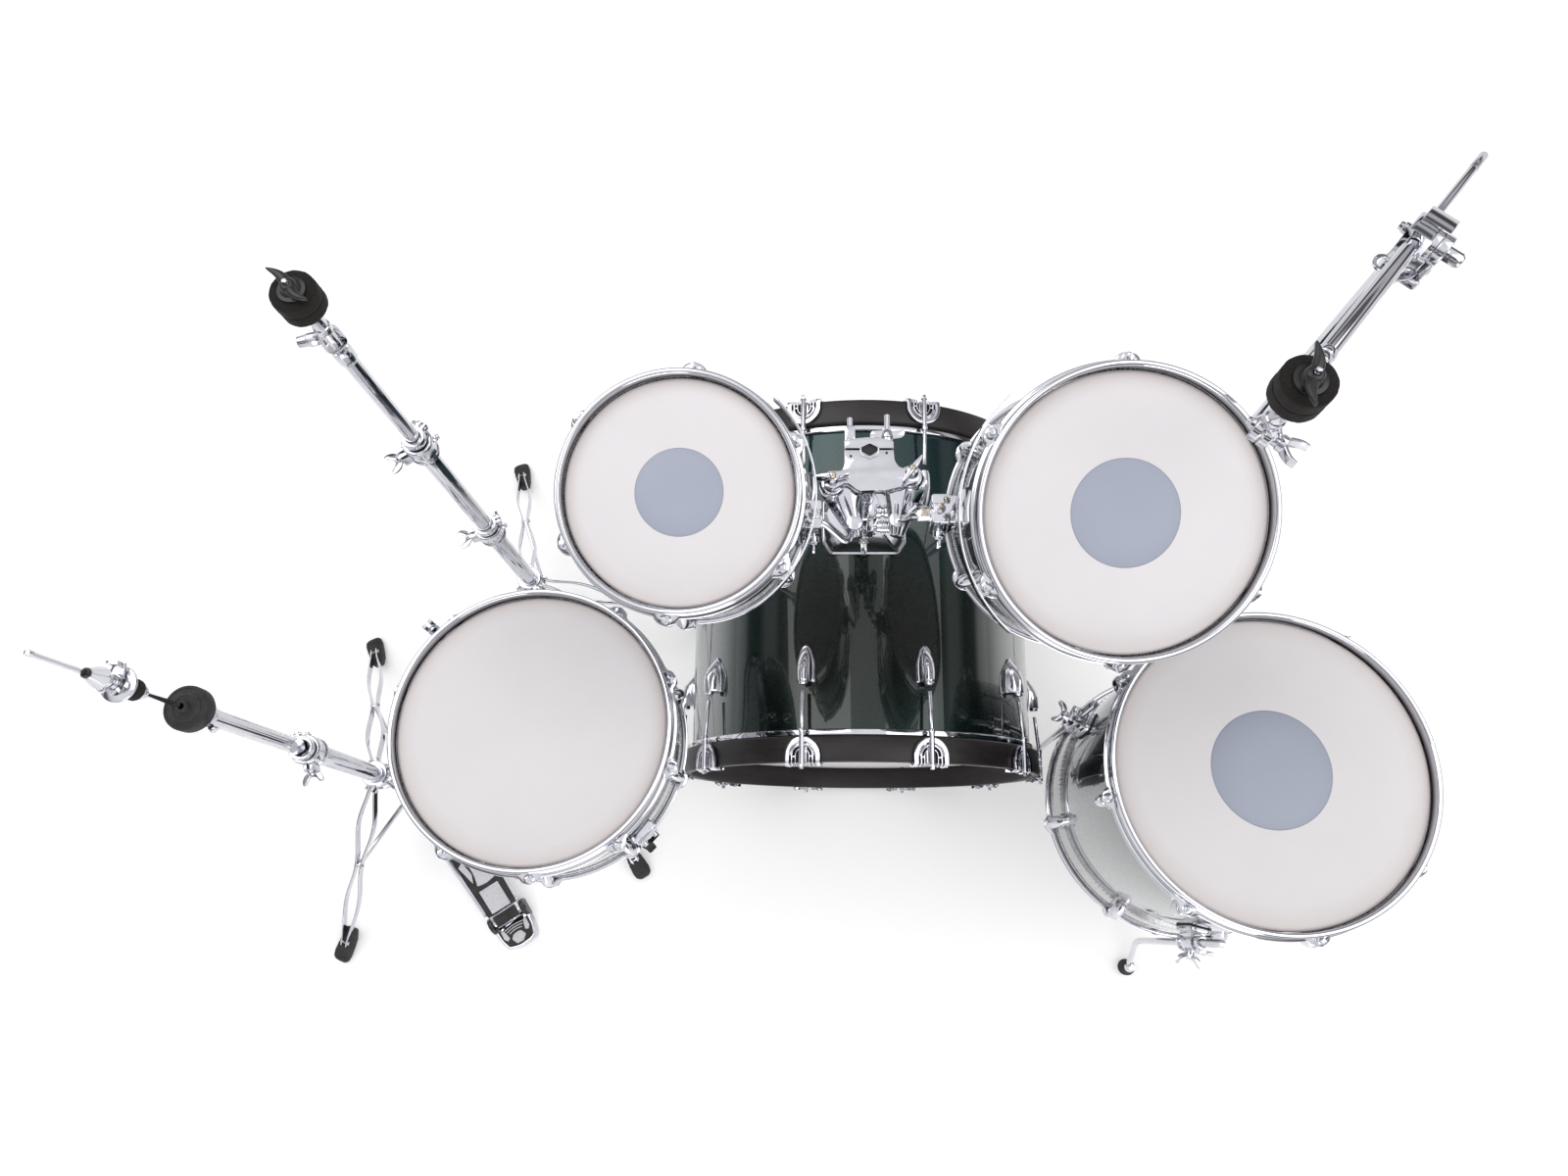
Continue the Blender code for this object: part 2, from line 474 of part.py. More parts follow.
def stand_base(name, at, angles, reach, collar_z, hub_z, tube_r, bore, top, wing_deg, extra=(), extra_cut=()):
    tube, groups = tripod(at, angles, reach, collar_z, hub_z, tube_r, bore, top)
    c, st, wi = clamp(at, top - 0.018, tube_r, wing_deg)
    st2, wi2 = wing_bolt(Vector((at[0], at[1], collar_z)) + Vector((math.cos(math.radians(wing_deg + 50)), math.sin(math.radians(wing_deg + 50)), 0)) * (tube_r + 0.007),
                         (math.cos(math.radians(wing_deg + 50)), math.sin(math.radians(wing_deg + 50)), 0), (0, 0, 1), 0.030, 0.012)
    bore_cut = rod((at[0], at[1], 0.0420), (at[0], at[1], top + 0.02), bore, 12)
    solid(name, "chrome", tube, groups + [[c], [st, st2], [wi, wi2]] + list(extra), [[bore_cut]] + list(extra_cut))


def tube_with_clamp(name, at, z0, z1, r, bore, wing_deg, origin_z):
    x, y = at
    c, st, wi = clamp(at, z1 - 0.018, r, wing_deg, 0.030)
    tube = turned([(r, z0), (r, z1), (bore, z1), (bore, z0)], 12, (x, y, 0))
    solid(name, "chrome", tube, [[c], [st], [wi]], [[rod((x, y, z0 - 0.02), (x, y, z1 + 0.02), bore, 12)]], origin=(x, y, origin_z))


def tilter(name_base, at, axis, up_z, top_z, name, cup_z, extra=()):
    """A tilter's swinging half: a clevis disc on the hinge axis, a threaded rod and its seat plate."""
    p = Vector((*at, up_z))
    ax = Vector((*axis, 0)).normalized()
    disc = turned([(0, 0), (0.0135, 0), (0.0135, 0.0100), (0, 0.0100)], 14, facing(p + ax * 0.0006, ax))
    neck = rod(p + ax * 0.0080, p + ax * 0.0080 + Vector((0, 0, 0.022)), 0.0070, 8)
    shaft = rod(p + Vector((0, 0, 0.018)), (*at, top_z), 0.0030, 8)
    seat = rod(p + Vector((0, 0, 0.016)), p + Vector((0, 0, cup_z - 0.002)), 0.0085, 10)
    cup = rod(p + Vector((0, 0, cup_z - 0.006)), p + Vector((0, 0, cup_z)), 0.0170, 14)
    return solid(name, "chrome", disc, [[neck], [seat], [cup], [shaft]] + list(extra), origin=p)


def felts(name, at, z0, h, r=0.0245):
    return solid(name, "black_felt", turned([(r * 0.86, z0), (r, z0 + 0.003), (r, z0 + h * 0.48), (r - 0.0015, z0 + h * 0.5), (r, z0 + h * 0.52), (r * 0.96, z0 + h),
                                             (0.0036, z0 + h), (0.0036, z0)], 18, (*at, 0)), origin=(*at, z0))


def wing_nut(name, at, z0, turn_deg):
    """A moulded wing nut, bored for the tilter's rod."""
    m = Matrix.Translation((*at, z0)) @ Matrix.Rotation(math.radians(turn_deg), 4, "Z")
    core = turned([(0.0090, 0), (0.0075, 0.014), (0.0034, 0.014), (0.0034, 0)], 12, m)
    ears = [block((sg * 0.0160, 0, 0.0110), (0.0220, 0.0065, 0.0130), m, top=(0.9, 0.6)) for sg in (-1, 1)]
    return solid(name, "black_plastic", core, [ears], origin=(*at, z0))


# left straight stand
stand_base("left_stand_base", LEFT_AT, (107.4, -5.0, 227.4), 0.340, 0.215, 0.085, 0.0143, 0.0131, 0.500, 200)
tube_with_clamp("left_stand_middle", LEFT_AT, 0.180, 0.820, 0.0127, 0.0100, 215, 0.500)
lx, ly = LEFT_AT
top_tube = turned([(0.0095, 0.480), (0.0095, 1.060), (0, 1.060), (0, 1.056), (0.0078, 1.056), (0.0078, 0.480)], 12, (lx, ly, 0))
LT = Vector((lx, ly, 1.0800))
TAX = Vector((0.66, -0.75, 0)).normalized()
ear = turned([(0, 0), (0.0135, 0), (0.0135, -0.0100), (0, -0.0100)], 14, facing(LT - TAX * 0.0006, TAX))
tilt_neck = rod((lx - TAX.x * 0.0085, ly - TAX.y * 0.0085, 1.045), (lx - TAX.x * 0.0085, ly - TAX.y * 0.0085, 1.074), 0.0075, 8)
KNOB_DIR = Vector((-0.97, -0.24, 0)).normalized()
knob = rod(LT - TAX * 0.0060 + KNOB_DIR * 0.0040, LT - TAX * 0.0060 + KNOB_DIR * 0.0340, 0.0078, 10)
solid("left_stand_top_tube", "chrome", top_tube, [[tilt_neck], [ear], [knob]], origin=(lx, ly, 0.820))
tilter("left", LEFT_AT, TAX[:2], 1.0800, 1.1930, "left_tilter", 0.0640)
felts("left_felts", LEFT_AT, 1.1444, 0.0300)
wing_nut("left_wing_nut", LEFT_AT, 1.1748, -46)

# right boom stand
stand_base("right_stand_base", RIGHT_AT, (80, 200, 320), 0.330, 0.215, 0.085, 0.0143, 0.0131, 0.560, 320)
rx, ry = RIGHT_AT
BOOM = (Vector(BOOM_TILTER) - Vector(BOOM_CLAMP)).normalized()
BAX = Vector((-BOOM.y, BOOM.x, 0)).normalized()
upper = turned([(0.0127, 0.260), (0.0127, 1.085), (0, 1.085), (0, 1.080), (0.0105, 1.080), (0.0105, 0.260)], 12, (rx, ry, 0))
PIV = Vector(BOOM_CLAMP)
fork = turned([(0, 0), (0.0170, 0), (0.0170, 0.0110), (0, 0.0110)], 14, facing(PIV + BAX * 0.0200, BAX))
fork_neck = block((0, 0, 0), (0.0110, 0.0220, 0.0500), Matrix.Translation(PIV + BAX * 0.0255 + Vector((0, 0, -0.027))) @ Matrix.Rotation(math.atan2(BAX.y, BAX.x), 4, "Z"))
foot_plate = block((0, 0, 0), (0.0460, 0.0230, 0.0140), Matrix.Translation(Vector((rx, ry, 1.080)) + BAX * 0.0100) @ Matrix.Rotation(math.atan2(BAX.y, BAX.x), 4, "Z"))
fork_knob = rod(PIV + BAX * 0.0290, PIV + BAX * 0.0500, 0.0076, 12)
solid("right_stand_tube", "chrome", upper, [[foot_plate], [fork_neck], [fork], [fork_knob]], origin=(rx, ry, 0.560))
bm_m = facing(PIV, BOOM)
clamp_body = block((0, 0, 0), (0.0270, 0.0300, 0.0340), Matrix.Translation(PIV) @ Matrix((BAX, BOOM.cross(BAX), BOOM)).transposed().to_4x4())
clamp_disc = turned([(0, 0), (0.0170, 0), (0.0170, 0.0080), (0, 0.0080)], 14, facing(PIV + BAX * 0.0115, BAX))
end_nut = rod(PIV - BAX * 0.0100, PIV - BAX * 0.0230, 0.0066, 6)
CUP = BOOM.cross(BAX) if BOOM.cross(BAX).z > 0 else BOOM.cross(BAX) * -1
CLAMP_M = Matrix((BAX, BOOM.cross(BAX), BOOM)).transposed().to_4x4()
bolt_bar = block((0, 0, 0), (0.0200, 0.0080, 0.0300), Matrix.Translation(PIV + BOOM * 0.0240 - CUP * 0.0160) @ CLAMP_M)
bolt_wing = block((0, 0, 0), (0.0400, 0.0080, 0.0060), Matrix.Translation(PIV + BOOM * 0.0330 - CUP * 0.0225) @ CLAMP_M)
solid("boom_clamp", "chrome", clamp_body, [[clamp_disc], [end_nut], [bolt_bar], [bolt_wing]], [[rod(PIV - BOOM * 0.05, PIV + BOOM * 0.05, 0.0054, 12)]], origin=PIV)
TAIL = PIV - BOOM * 0.1760
END = Vector(BOOM_TILTER) - BOOM * 0.0150
boom_thin = rod(TAIL, PIV + BOOM * 0.0240, 0.0048, 10)
boom_thick = rod(PIV + BOOM * 0.0200, END, 0.0088, 14)
RT = Vector(BOOM_TILTER)
RAX = BAX
ear2 = turned([(0, 0), (0.0135, 0), (0.0135, -0.0100), (0, -0.0100)], 14, facing(RT - RAX * 0.0006, RAX))
link = rod(END - BOOM * 0.0200 - RAX * 0.0010, RT - RAX * 0.0086 - BOOM * 0.004, 0.0070, 8)
hinge_nut = rod(RT - RAX * 0.0096, RT - RAX * 0.0180, 0.0064, 6)
solid("boom_arm", "chrome", boom_thick, [[boom_thin], [link], [ear2], [hinge_nut]], origin=PIV)
st, wi = wing_bolt(RT + RAX * 0.0100, RAX, BOOM, 0.036, 0.014)
tilter("right", BOOM_TILTER[:2], RAX[:2], BOOM_TILTER[2], 1.3160, "right_tilter", 0.0660, [[st], [wi]])
felts("right_felts", BOOM_TILTER[:2], 1.2664, 0.0300)
wing_nut("right_wing_nut", BOOM_TILTER[:2], 1.2968, 62)

# snare stand: tripod, height tube, offset basket
stand_base("snare_stand_base", SNARE_STAND_AT, (-58.6, 61.4, 181.4), 0.232, 0.185, 0.075, 0.0137, 0.0121, 0.330, 130)
sx, sy = SNARE_STAND_AT
cx, cy = SNARE_AT[:2]
column = turned([(0, 0.4580), (0.0117, 0.4580), (0.0117, 0.110), (0.0095, 0.110), (0.0095, 0.450), (0, 0.450)], 12, (sx, sy, 0))
SA = Vector((cx - sx, cy - sy, 0)).normalized()
SAX = Vector((-SA.y, SA.x, 0))
SP = Vector((sx, sy, 0.4680)) + SA * 0.0250
lug_arm = block((0, 0, 0), (0.0300, 0.0140, 0.0240), Matrix.Translation(Vector((sx, sy, 0.4570)) + SA * 0.0070 - SAX * 0.0080) @ Matrix.Rotation(math.atan2(SA.y, SA.x), 4, "Z"))
tdisc = turned([(0, 0), (0.0150, 0), (0.0150, -0.0090), (0, -0.0090)], 14, facing(SP - SAX * 0.0006, SAX))
st, wi = wing_bolt(SP - SAX * 0.0090, -SAX, (0, 0, 1), 0.034, 0.012)
solid("snare_stand_tube", "chrome", column, [[lug_arm], [tdisc], [st], [wi]], origin=(sx, sy, 0.330))
HUB = Vector((cx, cy, 0.4900))
bdisc = turned([(0, 0), (0.0150, 0), (0.0150, 0.0090), (0, 0.0090)], 14, facing(SP + SAX * 0.0006, SAX))
bneck = rod(SP + SAX * 0.0081, HUB + Vector((0, 0, 0.006)), 0.0070, 8)
hubb = rod(HUB, HUB + Vector((0, 0, 0.034)), 0.0200, 14)
HOOP_LOW = SNARE_AT[2] - SNARE_DEPTH - 0.0140
arms, tips, seats = [], [], []
for deg in (75, 195, 315):
    a = math.radians(deg)
    o, s = Vector((math.cos(a), math.sin(a), 0)), Vector((-math.sin(a), math.cos(a), 0))
    rr = SNARE_R + 0.0120
    arms.append(swept([HUB + o * 0.012 + Vector((0, 0, 0.016)), Vector((cx, cy, 0)) + o * (rr - 0.030) + Vector((0, 0, HOOP_LOW - 0.030)),
                       Vector((cx, cy, 0)) + o * (rr + 0.004) + Vector((0, 0, HOOP_LOW - 0.010))], flat(0.0120, 0.0060), s))
    seats.append(block((0, 0, 0), (0.0320, 0.0120, 0.0100), Matrix.Translation(Vector((cx, cy, HOOP_LOW - 0.0056)) + o * (rr - 0.002)) @ Matrix.Rotation(a, 4, "Z")))
    tips.append(block((0, 0, 0), (0.0090, 0.0120, 0.0460), Matrix.Translation(Vector((cx, cy, HOOP_LOW + 0.0124)) + o * (rr + 0.0052)) @ Matrix.Rotation(a, 4, "Z")))
solid("snare_basket", "chrome", hubb, [[bdisc], [bneck], arms, seats, tips], origin=SP)

# ---------------------------------------------------------------- hi-hat
hx, hy = HIHAT_AT
PD = Vector((math.cos(PEDAL_DIR), math.sin(PEDAL_DIR), 0))
PS = Vector((-PD.y, PD.x, 0))
HG = Vector(PEDAL_HINGE)
pole = Vector((hx, hy, 0))
# the pedal frame: a flat bar from the tube's foot to the heel, under the footboard
near = HG - PD * 0.250
frame_bar = swept([pole + Vector((0, 0, 0.0080)) + (near - pole).normalized() * 0.0, Vector((near.x, near.y, 0.0080)), Vector((HG.x, HG.y, 0.0080)) - PD * 0.012], flat(0.0300, 0.0060), PS)
foot_block = rod(pole + Vector((0, 0, 0.0040)), pole + Vector((0, 0, 0.0500)), 0.0190, 14)
tube, groups = tripod(HIHAT_AT, (-112, 115, 20), 0.335, 0.245, 0.075, 0.0143, 0.0121, 0.530)
c, st, wi = clamp(HIHAT_AT, 0.512, 0.0143, 285)
YOKE = Vector((HG.x, HG.y, 0)) - PD * 0.2460  # where the pull rod's yoke lies over the toe
slot = block((0, 0, 0), (0.0110, 0.0500, 0.0630), Matrix.Translation(pole + Vector((YOKE.x - hx, YOKE.y - hy, 0)).normalized() * 0.0150 + Vector((0, 0, 0.0855))) @ Matrix.Rotation(math.atan2(YOKE.y - hy, YOKE.x - hx) + math.pi / 2, 4, "Z"))
solid("hihat_base", "chrome", tube, [[foot_block], [frame_bar]] + groups + [[c], [st], [wi]],
      [[rod((hx, hy, 0.0420), (hx, hy, 0.56), 0.0121, 12)], [slot]])
solid("hihat_tube", "chrome", turned([(0, 0.820), (0.0117, 0.820), (0.0117, 0.300), (0.0100, 0.300), (0.0100, 0.815), (0, 0.815)], 12, pole),
      [[rod((hx, hy, 0.795), (hx, hy, 0.8200), 0.0150, 14)]], [[rod((hx, hy, 0.79), (hx, hy, 0.85), 0.0042, 12)]], origin=(hx, hy, 0.530))
solid("hihat_seat", "black_felt", turned([(0.0130, 0.8204), (0.0280, 0.8310), (0.0280, 0.8450), (0.0250, 0.8480), (0.0042, 0.8480), (0.0042, 0.8204)], 18, pole), origin=(hx, hy, 0.8204))
# pull rod, with the yoke that reaches out of the tube's slot to the toe of the footboard
TOE_Z = 0.1060
YOKE_Z = 0.1115
yoke_end = YOKE + Vector((0, 0, YOKE_Z))
yoke_in = pole + Vector((0, 0, YOKE_Z))
solid("hihat_pull_rod", "chrome", rod(pole + Vector((0, 0, 0.0900)), pole + Vector((0, 0, 1.1218)), 0.0030, 8),
      [[swept([yoke_in - (yoke_end - yoke_in).normalized() * 0.002, yoke_end], flat(0.0060, 0.0080), (0, 0, 1))]], origin=pole + Vector((0, 0, 0.8480)))
clutch = turned([(0.0034, 0.9330), (0.0085, 0.9330), (0.0085, 0.9470), (0.0125, 0.9480), (0.0125, 0.9744), (0.0205, 0.9750), (0.0205, 0.9800), (0.0088, 0.9850),
                 (0.0080, 1.0080), (0.0122, 1.0090), (0.0122, 1.0140), (0.0062, 1.0320), (0.0034, 1.0320)], 14, pole)
ca = math.radians(85)
st, wi = wing_bolt(pole + Vector((math.cos(ca) * 0.0080, math.sin(ca) * 0.0080, 0.9900)), (math.cos(ca), math.sin(ca), 0), (0, 0, 1), 0.022, 0.006)
solid("hihat_clutch", "chrome", clutch, [[st], [wi]], origin=pole + Vector((0, 0, 0.9200)))
# footboard: a plate hinged at the heel, rising to the toe
rise = math.atan2(TOE_Z - 0.002 - HG.z, 0.262)
board_m = Matrix.Translation(HG) @ Matrix((-PD, -PS, Vector((0, 0, 1)))).transposed().to_4x4() @ Matrix.Rotation(-rise, 4, "Y")
board = plate([(0.004, -0.0280), (0.0190, -0.0280), (0.0200, -0.0345), (0.170, -0.041), (0.235, -0.036), (0.262, -0.016), (0.262, 0.016), (0.235, 0.036), (0.170, 0.041),
               (0.0200, 0.0345), (0.0190, 0.0280), (0.004, 0.0280)], -0.0010, 0.0060)
moved(board, board_m)
barrel = rod(HG - PS * 0.0280, HG + PS * 0.0280, 0.0070, 12)
solid("hihat_footboard", "chrome", board, [[barrel]], origin=HG)
heel_pts = [(-0.014, -0.0350), (-0.014, 0.0350), (-0.045, 0.0340), (-0.056, 0.0250), (-0.062, 0.0080), (-0.062, -0.0080), (-0.056, -0.0250), (-0.045, -0.0340)]
heel_m = Matrix.Translation((HG.x, HG.y, 0)) @ Matrix((-PD, -PS, Vector((0, 0, 1)))).transposed().to_4x4()
heel = moved(plate(heel_pts, 0.0, 0.0220), heel_m)
cheeks = [block((0, sg * 0.0330, 0.0190), (0.0300, 0.0076, 0.0380), heel_m) for sg in (-1, 1)]
sole = block((-0.0092, 0, 0.0050), (0.0416, 0.0720, 0.0100), heel_m)
solid("hihat_heel_plate", "black_rubber", heel, [[sole], cheeks], origin=HG)
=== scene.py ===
"""The looks of the drum kit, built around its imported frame.

Lengths are in metres.
"""

import math

import bmesh
import bpy
from mathutils import Matrix, Vector


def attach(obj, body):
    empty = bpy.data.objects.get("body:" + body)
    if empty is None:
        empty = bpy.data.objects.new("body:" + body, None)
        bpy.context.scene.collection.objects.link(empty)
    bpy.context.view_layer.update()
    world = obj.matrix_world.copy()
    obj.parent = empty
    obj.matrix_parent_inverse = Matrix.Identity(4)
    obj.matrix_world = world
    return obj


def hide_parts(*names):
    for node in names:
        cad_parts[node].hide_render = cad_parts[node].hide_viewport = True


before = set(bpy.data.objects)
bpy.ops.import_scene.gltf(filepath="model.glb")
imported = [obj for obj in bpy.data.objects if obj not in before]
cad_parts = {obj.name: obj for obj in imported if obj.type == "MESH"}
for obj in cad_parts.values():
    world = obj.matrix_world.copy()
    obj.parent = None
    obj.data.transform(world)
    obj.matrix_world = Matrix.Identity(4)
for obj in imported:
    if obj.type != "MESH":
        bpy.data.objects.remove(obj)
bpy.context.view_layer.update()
scene = bpy.context.scene

KIT_CENTRE = Vector((-0.0161, 0.4758, 0))
SHIFT = Matrix.Translation(-KIT_CENTRE)
INCH = 0.0254
PI = math.pi

# ---------------------------------------------------------------- camera
eye = Vector((0, 0, 2.1138)) - KIT_CENTRE
right = Vector((0.99947105, 0.01131976, -0.03048752))
down = Vector((0.00165652, -0.95397056, -0.2998957))
ahead = Vector((-0.03247894, 0.29968657, -0.9534847))
cam_data = bpy.data.cameras.new("camera")
cam_data.lens = 24.876
cam_data.sensor_width = 36.0
cam_data.clip_start = 0.05
cam_data.clip_end = 60
camera = bpy.data.objects.new("camera", cam_data)
scene.collection.objects.link(camera)
camera.matrix_world = Matrix.Translation(eye) @ Matrix((right, -down, -ahead)).transposed().to_4x4()
scene.camera = camera

# ---------------------------------------------------------------- materials
MAT = {}


class Shader:
    """A Principled material with short ways to add nodes to it."""

    def __init__(self, name, colour, rough, metal=0.0, **plain):
        m = bpy.data.materials.new(name)
        m.use_nodes = True
        self.m, self.nt = m, m.node_tree
        self.b = m.node_tree.nodes["Principled BSDF"]
        self.b.inputs["Base Color"].default_value = (*colour, 1)
        self.b.inputs["Roughness"].default_value = rough
        self.b.inputs["Metallic"].default_value = metal
        for k, v in plain.items():
            self.b.inputs[k.replace("_", " ")].default_value = v
        self.coords = self.nt.nodes.new("ShaderNodeTexCoord")
        MAT[name] = m

    def node(self, kind, links=None, **values):
        n = self.nt.nodes.new("ShaderNode" + kind)
        for k, v in values.items():
            if hasattr(n, k):
                setattr(n, k, v)
            else:
                n.inputs[k.replace("_", " ")].default_value = v
        for k, out in (links or {}).items():
            self.nt.links.new(out, n.inputs[k])
        return n

    def noise(self, scale, detail=2.0, rough=0.5, vector=None):
        return self.node("TexNoise", {"Vector": vector or self.coords.outputs["Object"]}, Scale=scale, Detail=detail, Roughness=rough)

    def cells(self, scale, feature="F1"):
        return self.node("TexVoronoi", {"Vector": self.coords.outputs["Object"]}, Scale=scale, feature=feature)

    def ramp(self, fac, stops, mode="LINEAR"):
        r = self.node("ValToRGB", {"Fac": fac})
        r.color_ramp.interpolation = mode
        e = r.color_ramp.elements
        while len(e) < len(stops):
            e.new(0.5)
        for el, (pos, col) in zip(e, stops):
            el.position = pos
            el.color = (*col, 1) if isinstance(col, tuple) else (col, col, col, 1)
        return r.outputs["Color"]

    def mix(self, fac, a, b, blend="MIX"):
        n = self.nt.nodes.new("ShaderNodeMix")
        n.data_type = "RGBA"
        n.blend_type = blend
        for sock, val in (("Factor", fac), ("A", a), ("B", b)):
            i = [s for s in n.inputs if s.name == sock and (s.type == "RGBA" or sock == "Factor" and s.type == "VALUE")][0]
            if isinstance(val, bpy.types.NodeSocket):
                self.nt.links.new(val, i)
            elif sock == "Factor":
                i.default_value = val
            else:
                i.default_value = (*val, 1)
        return [s for s in n.outputs if s.type == "RGBA"][0]

    def span(self, value, lo, hi, to_lo, to_hi):
        n = self.node("MapRange", {"Value": value})
        for k, v in (("From Min", lo), ("From Max", hi), ("To Min", to_lo), ("To Max", to_hi)):
            n.inputs[k].default_value = v
        return n.outputs["Result"]

    def to(self, socket, out):
        self.nt.links.new(out, self.b.inputs[socket])

    def bump(self, *heights):
        """Each height is (output, strength, distance), the finest last."""
        last = None
        for out, strength, distance in heights:
            n = self.node("Bump", {"Height": out}, Strength=strength, Distance=distance)
            if last:
                self.nt.links.new(last.outputs["Normal"], n.inputs["Normal"])
            last = n
        self.nt.links.new(last.outputs["Normal"], self.b.inputs["Normal"])


# glossy dark green lacquer with a fine metal flake, deeper at some places and teal at others
s = Shader("green_lacquer", (0.008, 0.030, 0.026), 0.24, 0.75, Coat_Weight=1.0, Coat_Roughness=0.025, Coat_IOR=1.42)
big = s.noise(2.2, 2.0)
tint = s.ramp(big.outputs["Fac"], [(0.34, (0.0080, 0.0125, 0.0085)), (0.52, (0.0050, 0.0195, 0.0170)), (0.70, (0.0020, 0.0285, 0.0380))])
flake = s.cells(2600)
spark = s.ramp(flake.outputs["Color"], [(0.30, (0.55, 0.55, 0.55)), (0.75, (1.0, 1.0, 1.0)), (0.97, (3.4, 3.6, 3.0))])
s.to("Base Color", s.mix(1.0, tint, spark, "MULTIPLY"))
s.to("Roughness", s.span(s.noise(900, 1.0).outputs["Fac"], 0.3, 0.7, 0.20, 0.34))
s.to("Coat IOR", s.span(s.node("LayerWeight", Blend=0.5).outputs["Facing"], 0.30, 0.80, 1.42, 3.4))
s.bump((s.noise(14, 2.0).outputs["Fac"], 0.05, 0.0015), (flake.outputs["Distance"], 0.06, 0.0002))

# bright chrome, with the slight haze, ripple and handling marks of plated castings
s = Shader("chrome", (0.60, 0.60, 0.64), 0.06, 1.0)
haze = s.noise(38, 4.0, 0.6)
s.to("Base Color", s.ramp(haze.outputs["Fac"], [(0.25, (0.555, 0.555, 0.595)), (0.75, (0.640, 0.642, 0.690))]))
s.to("Roughness", s.span(s.noise(120, 5.0, 0.65).outputs["Fac"], 0.35, 0.75, 0.035, 0.105))
s.bump((s.noise(60, 2.0).outputs["Fac"], 0.05, 0.0006), (s.noise(1400, 2.0).outputs["Fac"], 0.03, 0.00006))

# spun or rolled metal: the hoops' and tubes' chrome, a little softer
s = Shader("spring_steel", (0.56, 0.56, 0.57), 0.24, 1.0)
s.to("Base Color", s.ramp(s.noise(210, 3.0).outputs["Fac"], [(0.3, (0.46, 0.46, 0.47)), (0.7, (0.64, 0.64, 0.65))]))
s.to("Roughness", s.span(s.noise(700, 3.0).outputs["Fac"], 0.3, 0.7, 0.18, 0.36))
s.bump((s.noise(1600, 2.0).outputs["Fac"], 0.06, 0.0001))

s = Shader("brass_screw", (0.48, 0.42, 0.36), 0.22, 1.0)
s.to("Base Color", s.ramp(s.noise(420, 3.0).outputs["Fac"], [(0.3, (0.38, 0.33, 0.28)), (0.7, (0.56, 0.50, 0.43))]))
s.to("Roughness", s.span(s.noise(900, 2.0).outputs["Fac"], 0.3, 0.7, 0.14, 0.34))


def film(name, centre, edge, coat_rough):
    """Sprayed plastic film: a fine dry texture, a warmer band near the hoop, and a darker rim at the very edge that is
    painted shade from the hoop.
    """
    s = Shader(name, centre, coat_rough, 0.0, Specular_IOR_Level=0.35)
    gen = s.node("VectorMath", {0: s.coords.outputs["Generated"]}, operation="SUBTRACT")
    gen.inputs[1].default_value = (0.5, 0.5, 0.5)
    flat = s.node("VectorMath", {0: gen.outputs["Vector"]}, operation="MULTIPLY")
    flat.inputs[1].default_value = (2, 2, 0)
    rad = s.node("VectorMath", {0: flat.outputs["Vector"]}, operation="LENGTH")
    # the last stop darkens the very rim: painted shade where the hoop shades the film; the dot film gets the same
    # darkening at its own rim
    base = s.ramp(rad.outputs["Value"], [(0.0, centre), (0.86, centre), (0.972, edge), (0.992, tuple(c * 0.82 for c in edge))])
    cloud = s.ramp(s.noise(9, 4.0, 0.6).outputs["Fac"], [(0.3, 0.965), (0.7, 1.0)])
    grit = s.noise(2400, 2.0)
    fine = s.ramp(grit.outputs["Fac"], [(0.36, 0.93), (0.64, 1.0)])
    s.to("Base Color", s.mix(1.0, s.mix(1.0, base, cloud, "MULTIPLY"), fine, "MULTIPLY"))
    s.to("Roughness", s.span(s.noise(600, 2.0).outputs["Fac"], 0.3, 0.7, coat_rough - 0.07, coat_rough + 0.10))
    s.bump((s.noise(700, 3.0).outputs["Fac"], 0.10, 0.00012), (grit.outputs["Fac"], 0.22, 0.00010))


film("coated_film", (0.680, 0.655, 0.668), (0.640, 0.590, 0.580), 0.52)
film("dot_film", (0.335, 0.362, 0.440), (0.328, 0.354, 0.432), 0.42)

# satin black hoops: a close wood grain under a thin lacquer
s = Shader("black_wood", (0.016, 0.013, 0.014), 0.42, 0.0, Specular_IOR_Level=0.34, Coat_Weight=0.10, Coat_Roughness=0.30)
stretch = s.node("Mapping", {"Vector": s.coords.outputs["Object"]})
stretch.inputs["Scale"].default_value = (1.0, 1.0, 9.0)
grain = s.noise(42, 6.0, 0.62, stretch.outputs["Vector"])
s.to("Base Color", s.ramp(grain.outputs["Fac"], [(0.30, (0.009, 0.007, 0.008)), (0.62, (0.019, 0.015, 0.016)), (0.80, (0.027, 0.022, 0.023))]))
s.to("Roughness", s.span(grain.outputs["Fac"], 0.3, 0.7, 0.34, 0.50))
s.bump((grain.outputs["Fac"], 0.12, 0.0003), (s.noise(1500, 2.0).outputs["Fac"], 0.08, 0.0001))

s = Shader("black_rubber", (0.020, 0.020, 0.021), 0.72, 0.0, Specular_IOR_Level=0.4)
s.to("Base Color", s.ramp(s.noise(60, 4.0).outputs["Fac"], [(0.3, (0.014, 0.014, 0.015)), (0.7, (0.032, 0.032, 0.033))]))
s.to("Roughness", s.span(s.noise(240, 3.0).outputs["Fac"], 0.3, 0.7, 0.60, 0.84))
s.bump((s.noise(1200, 3.0).outputs["Fac"], 0.20, 0.0002))

s = Shader("black_plastic", (0.009, 0.009, 0.010), 0.30, 0.0, Specular_IOR_Level=0.38, Coat_Weight=0.1, Coat_Roughness=0.12)
s.to("Base Color", s.ramp(s.noise(110, 3.0).outputs["Fac"], [(0.3, (0.006, 0.006, 0.007)), (0.7, (0.013, 0.013, 0.014))]))
s.to("Roughness", s.span(s.noise(500, 2.0).outputs["Fac"], 0.3, 0.7, 0.26, 0.42))
s.bump((s.noise(1800, 2.0).outputs["Fac"], 0.10, 0.0001))

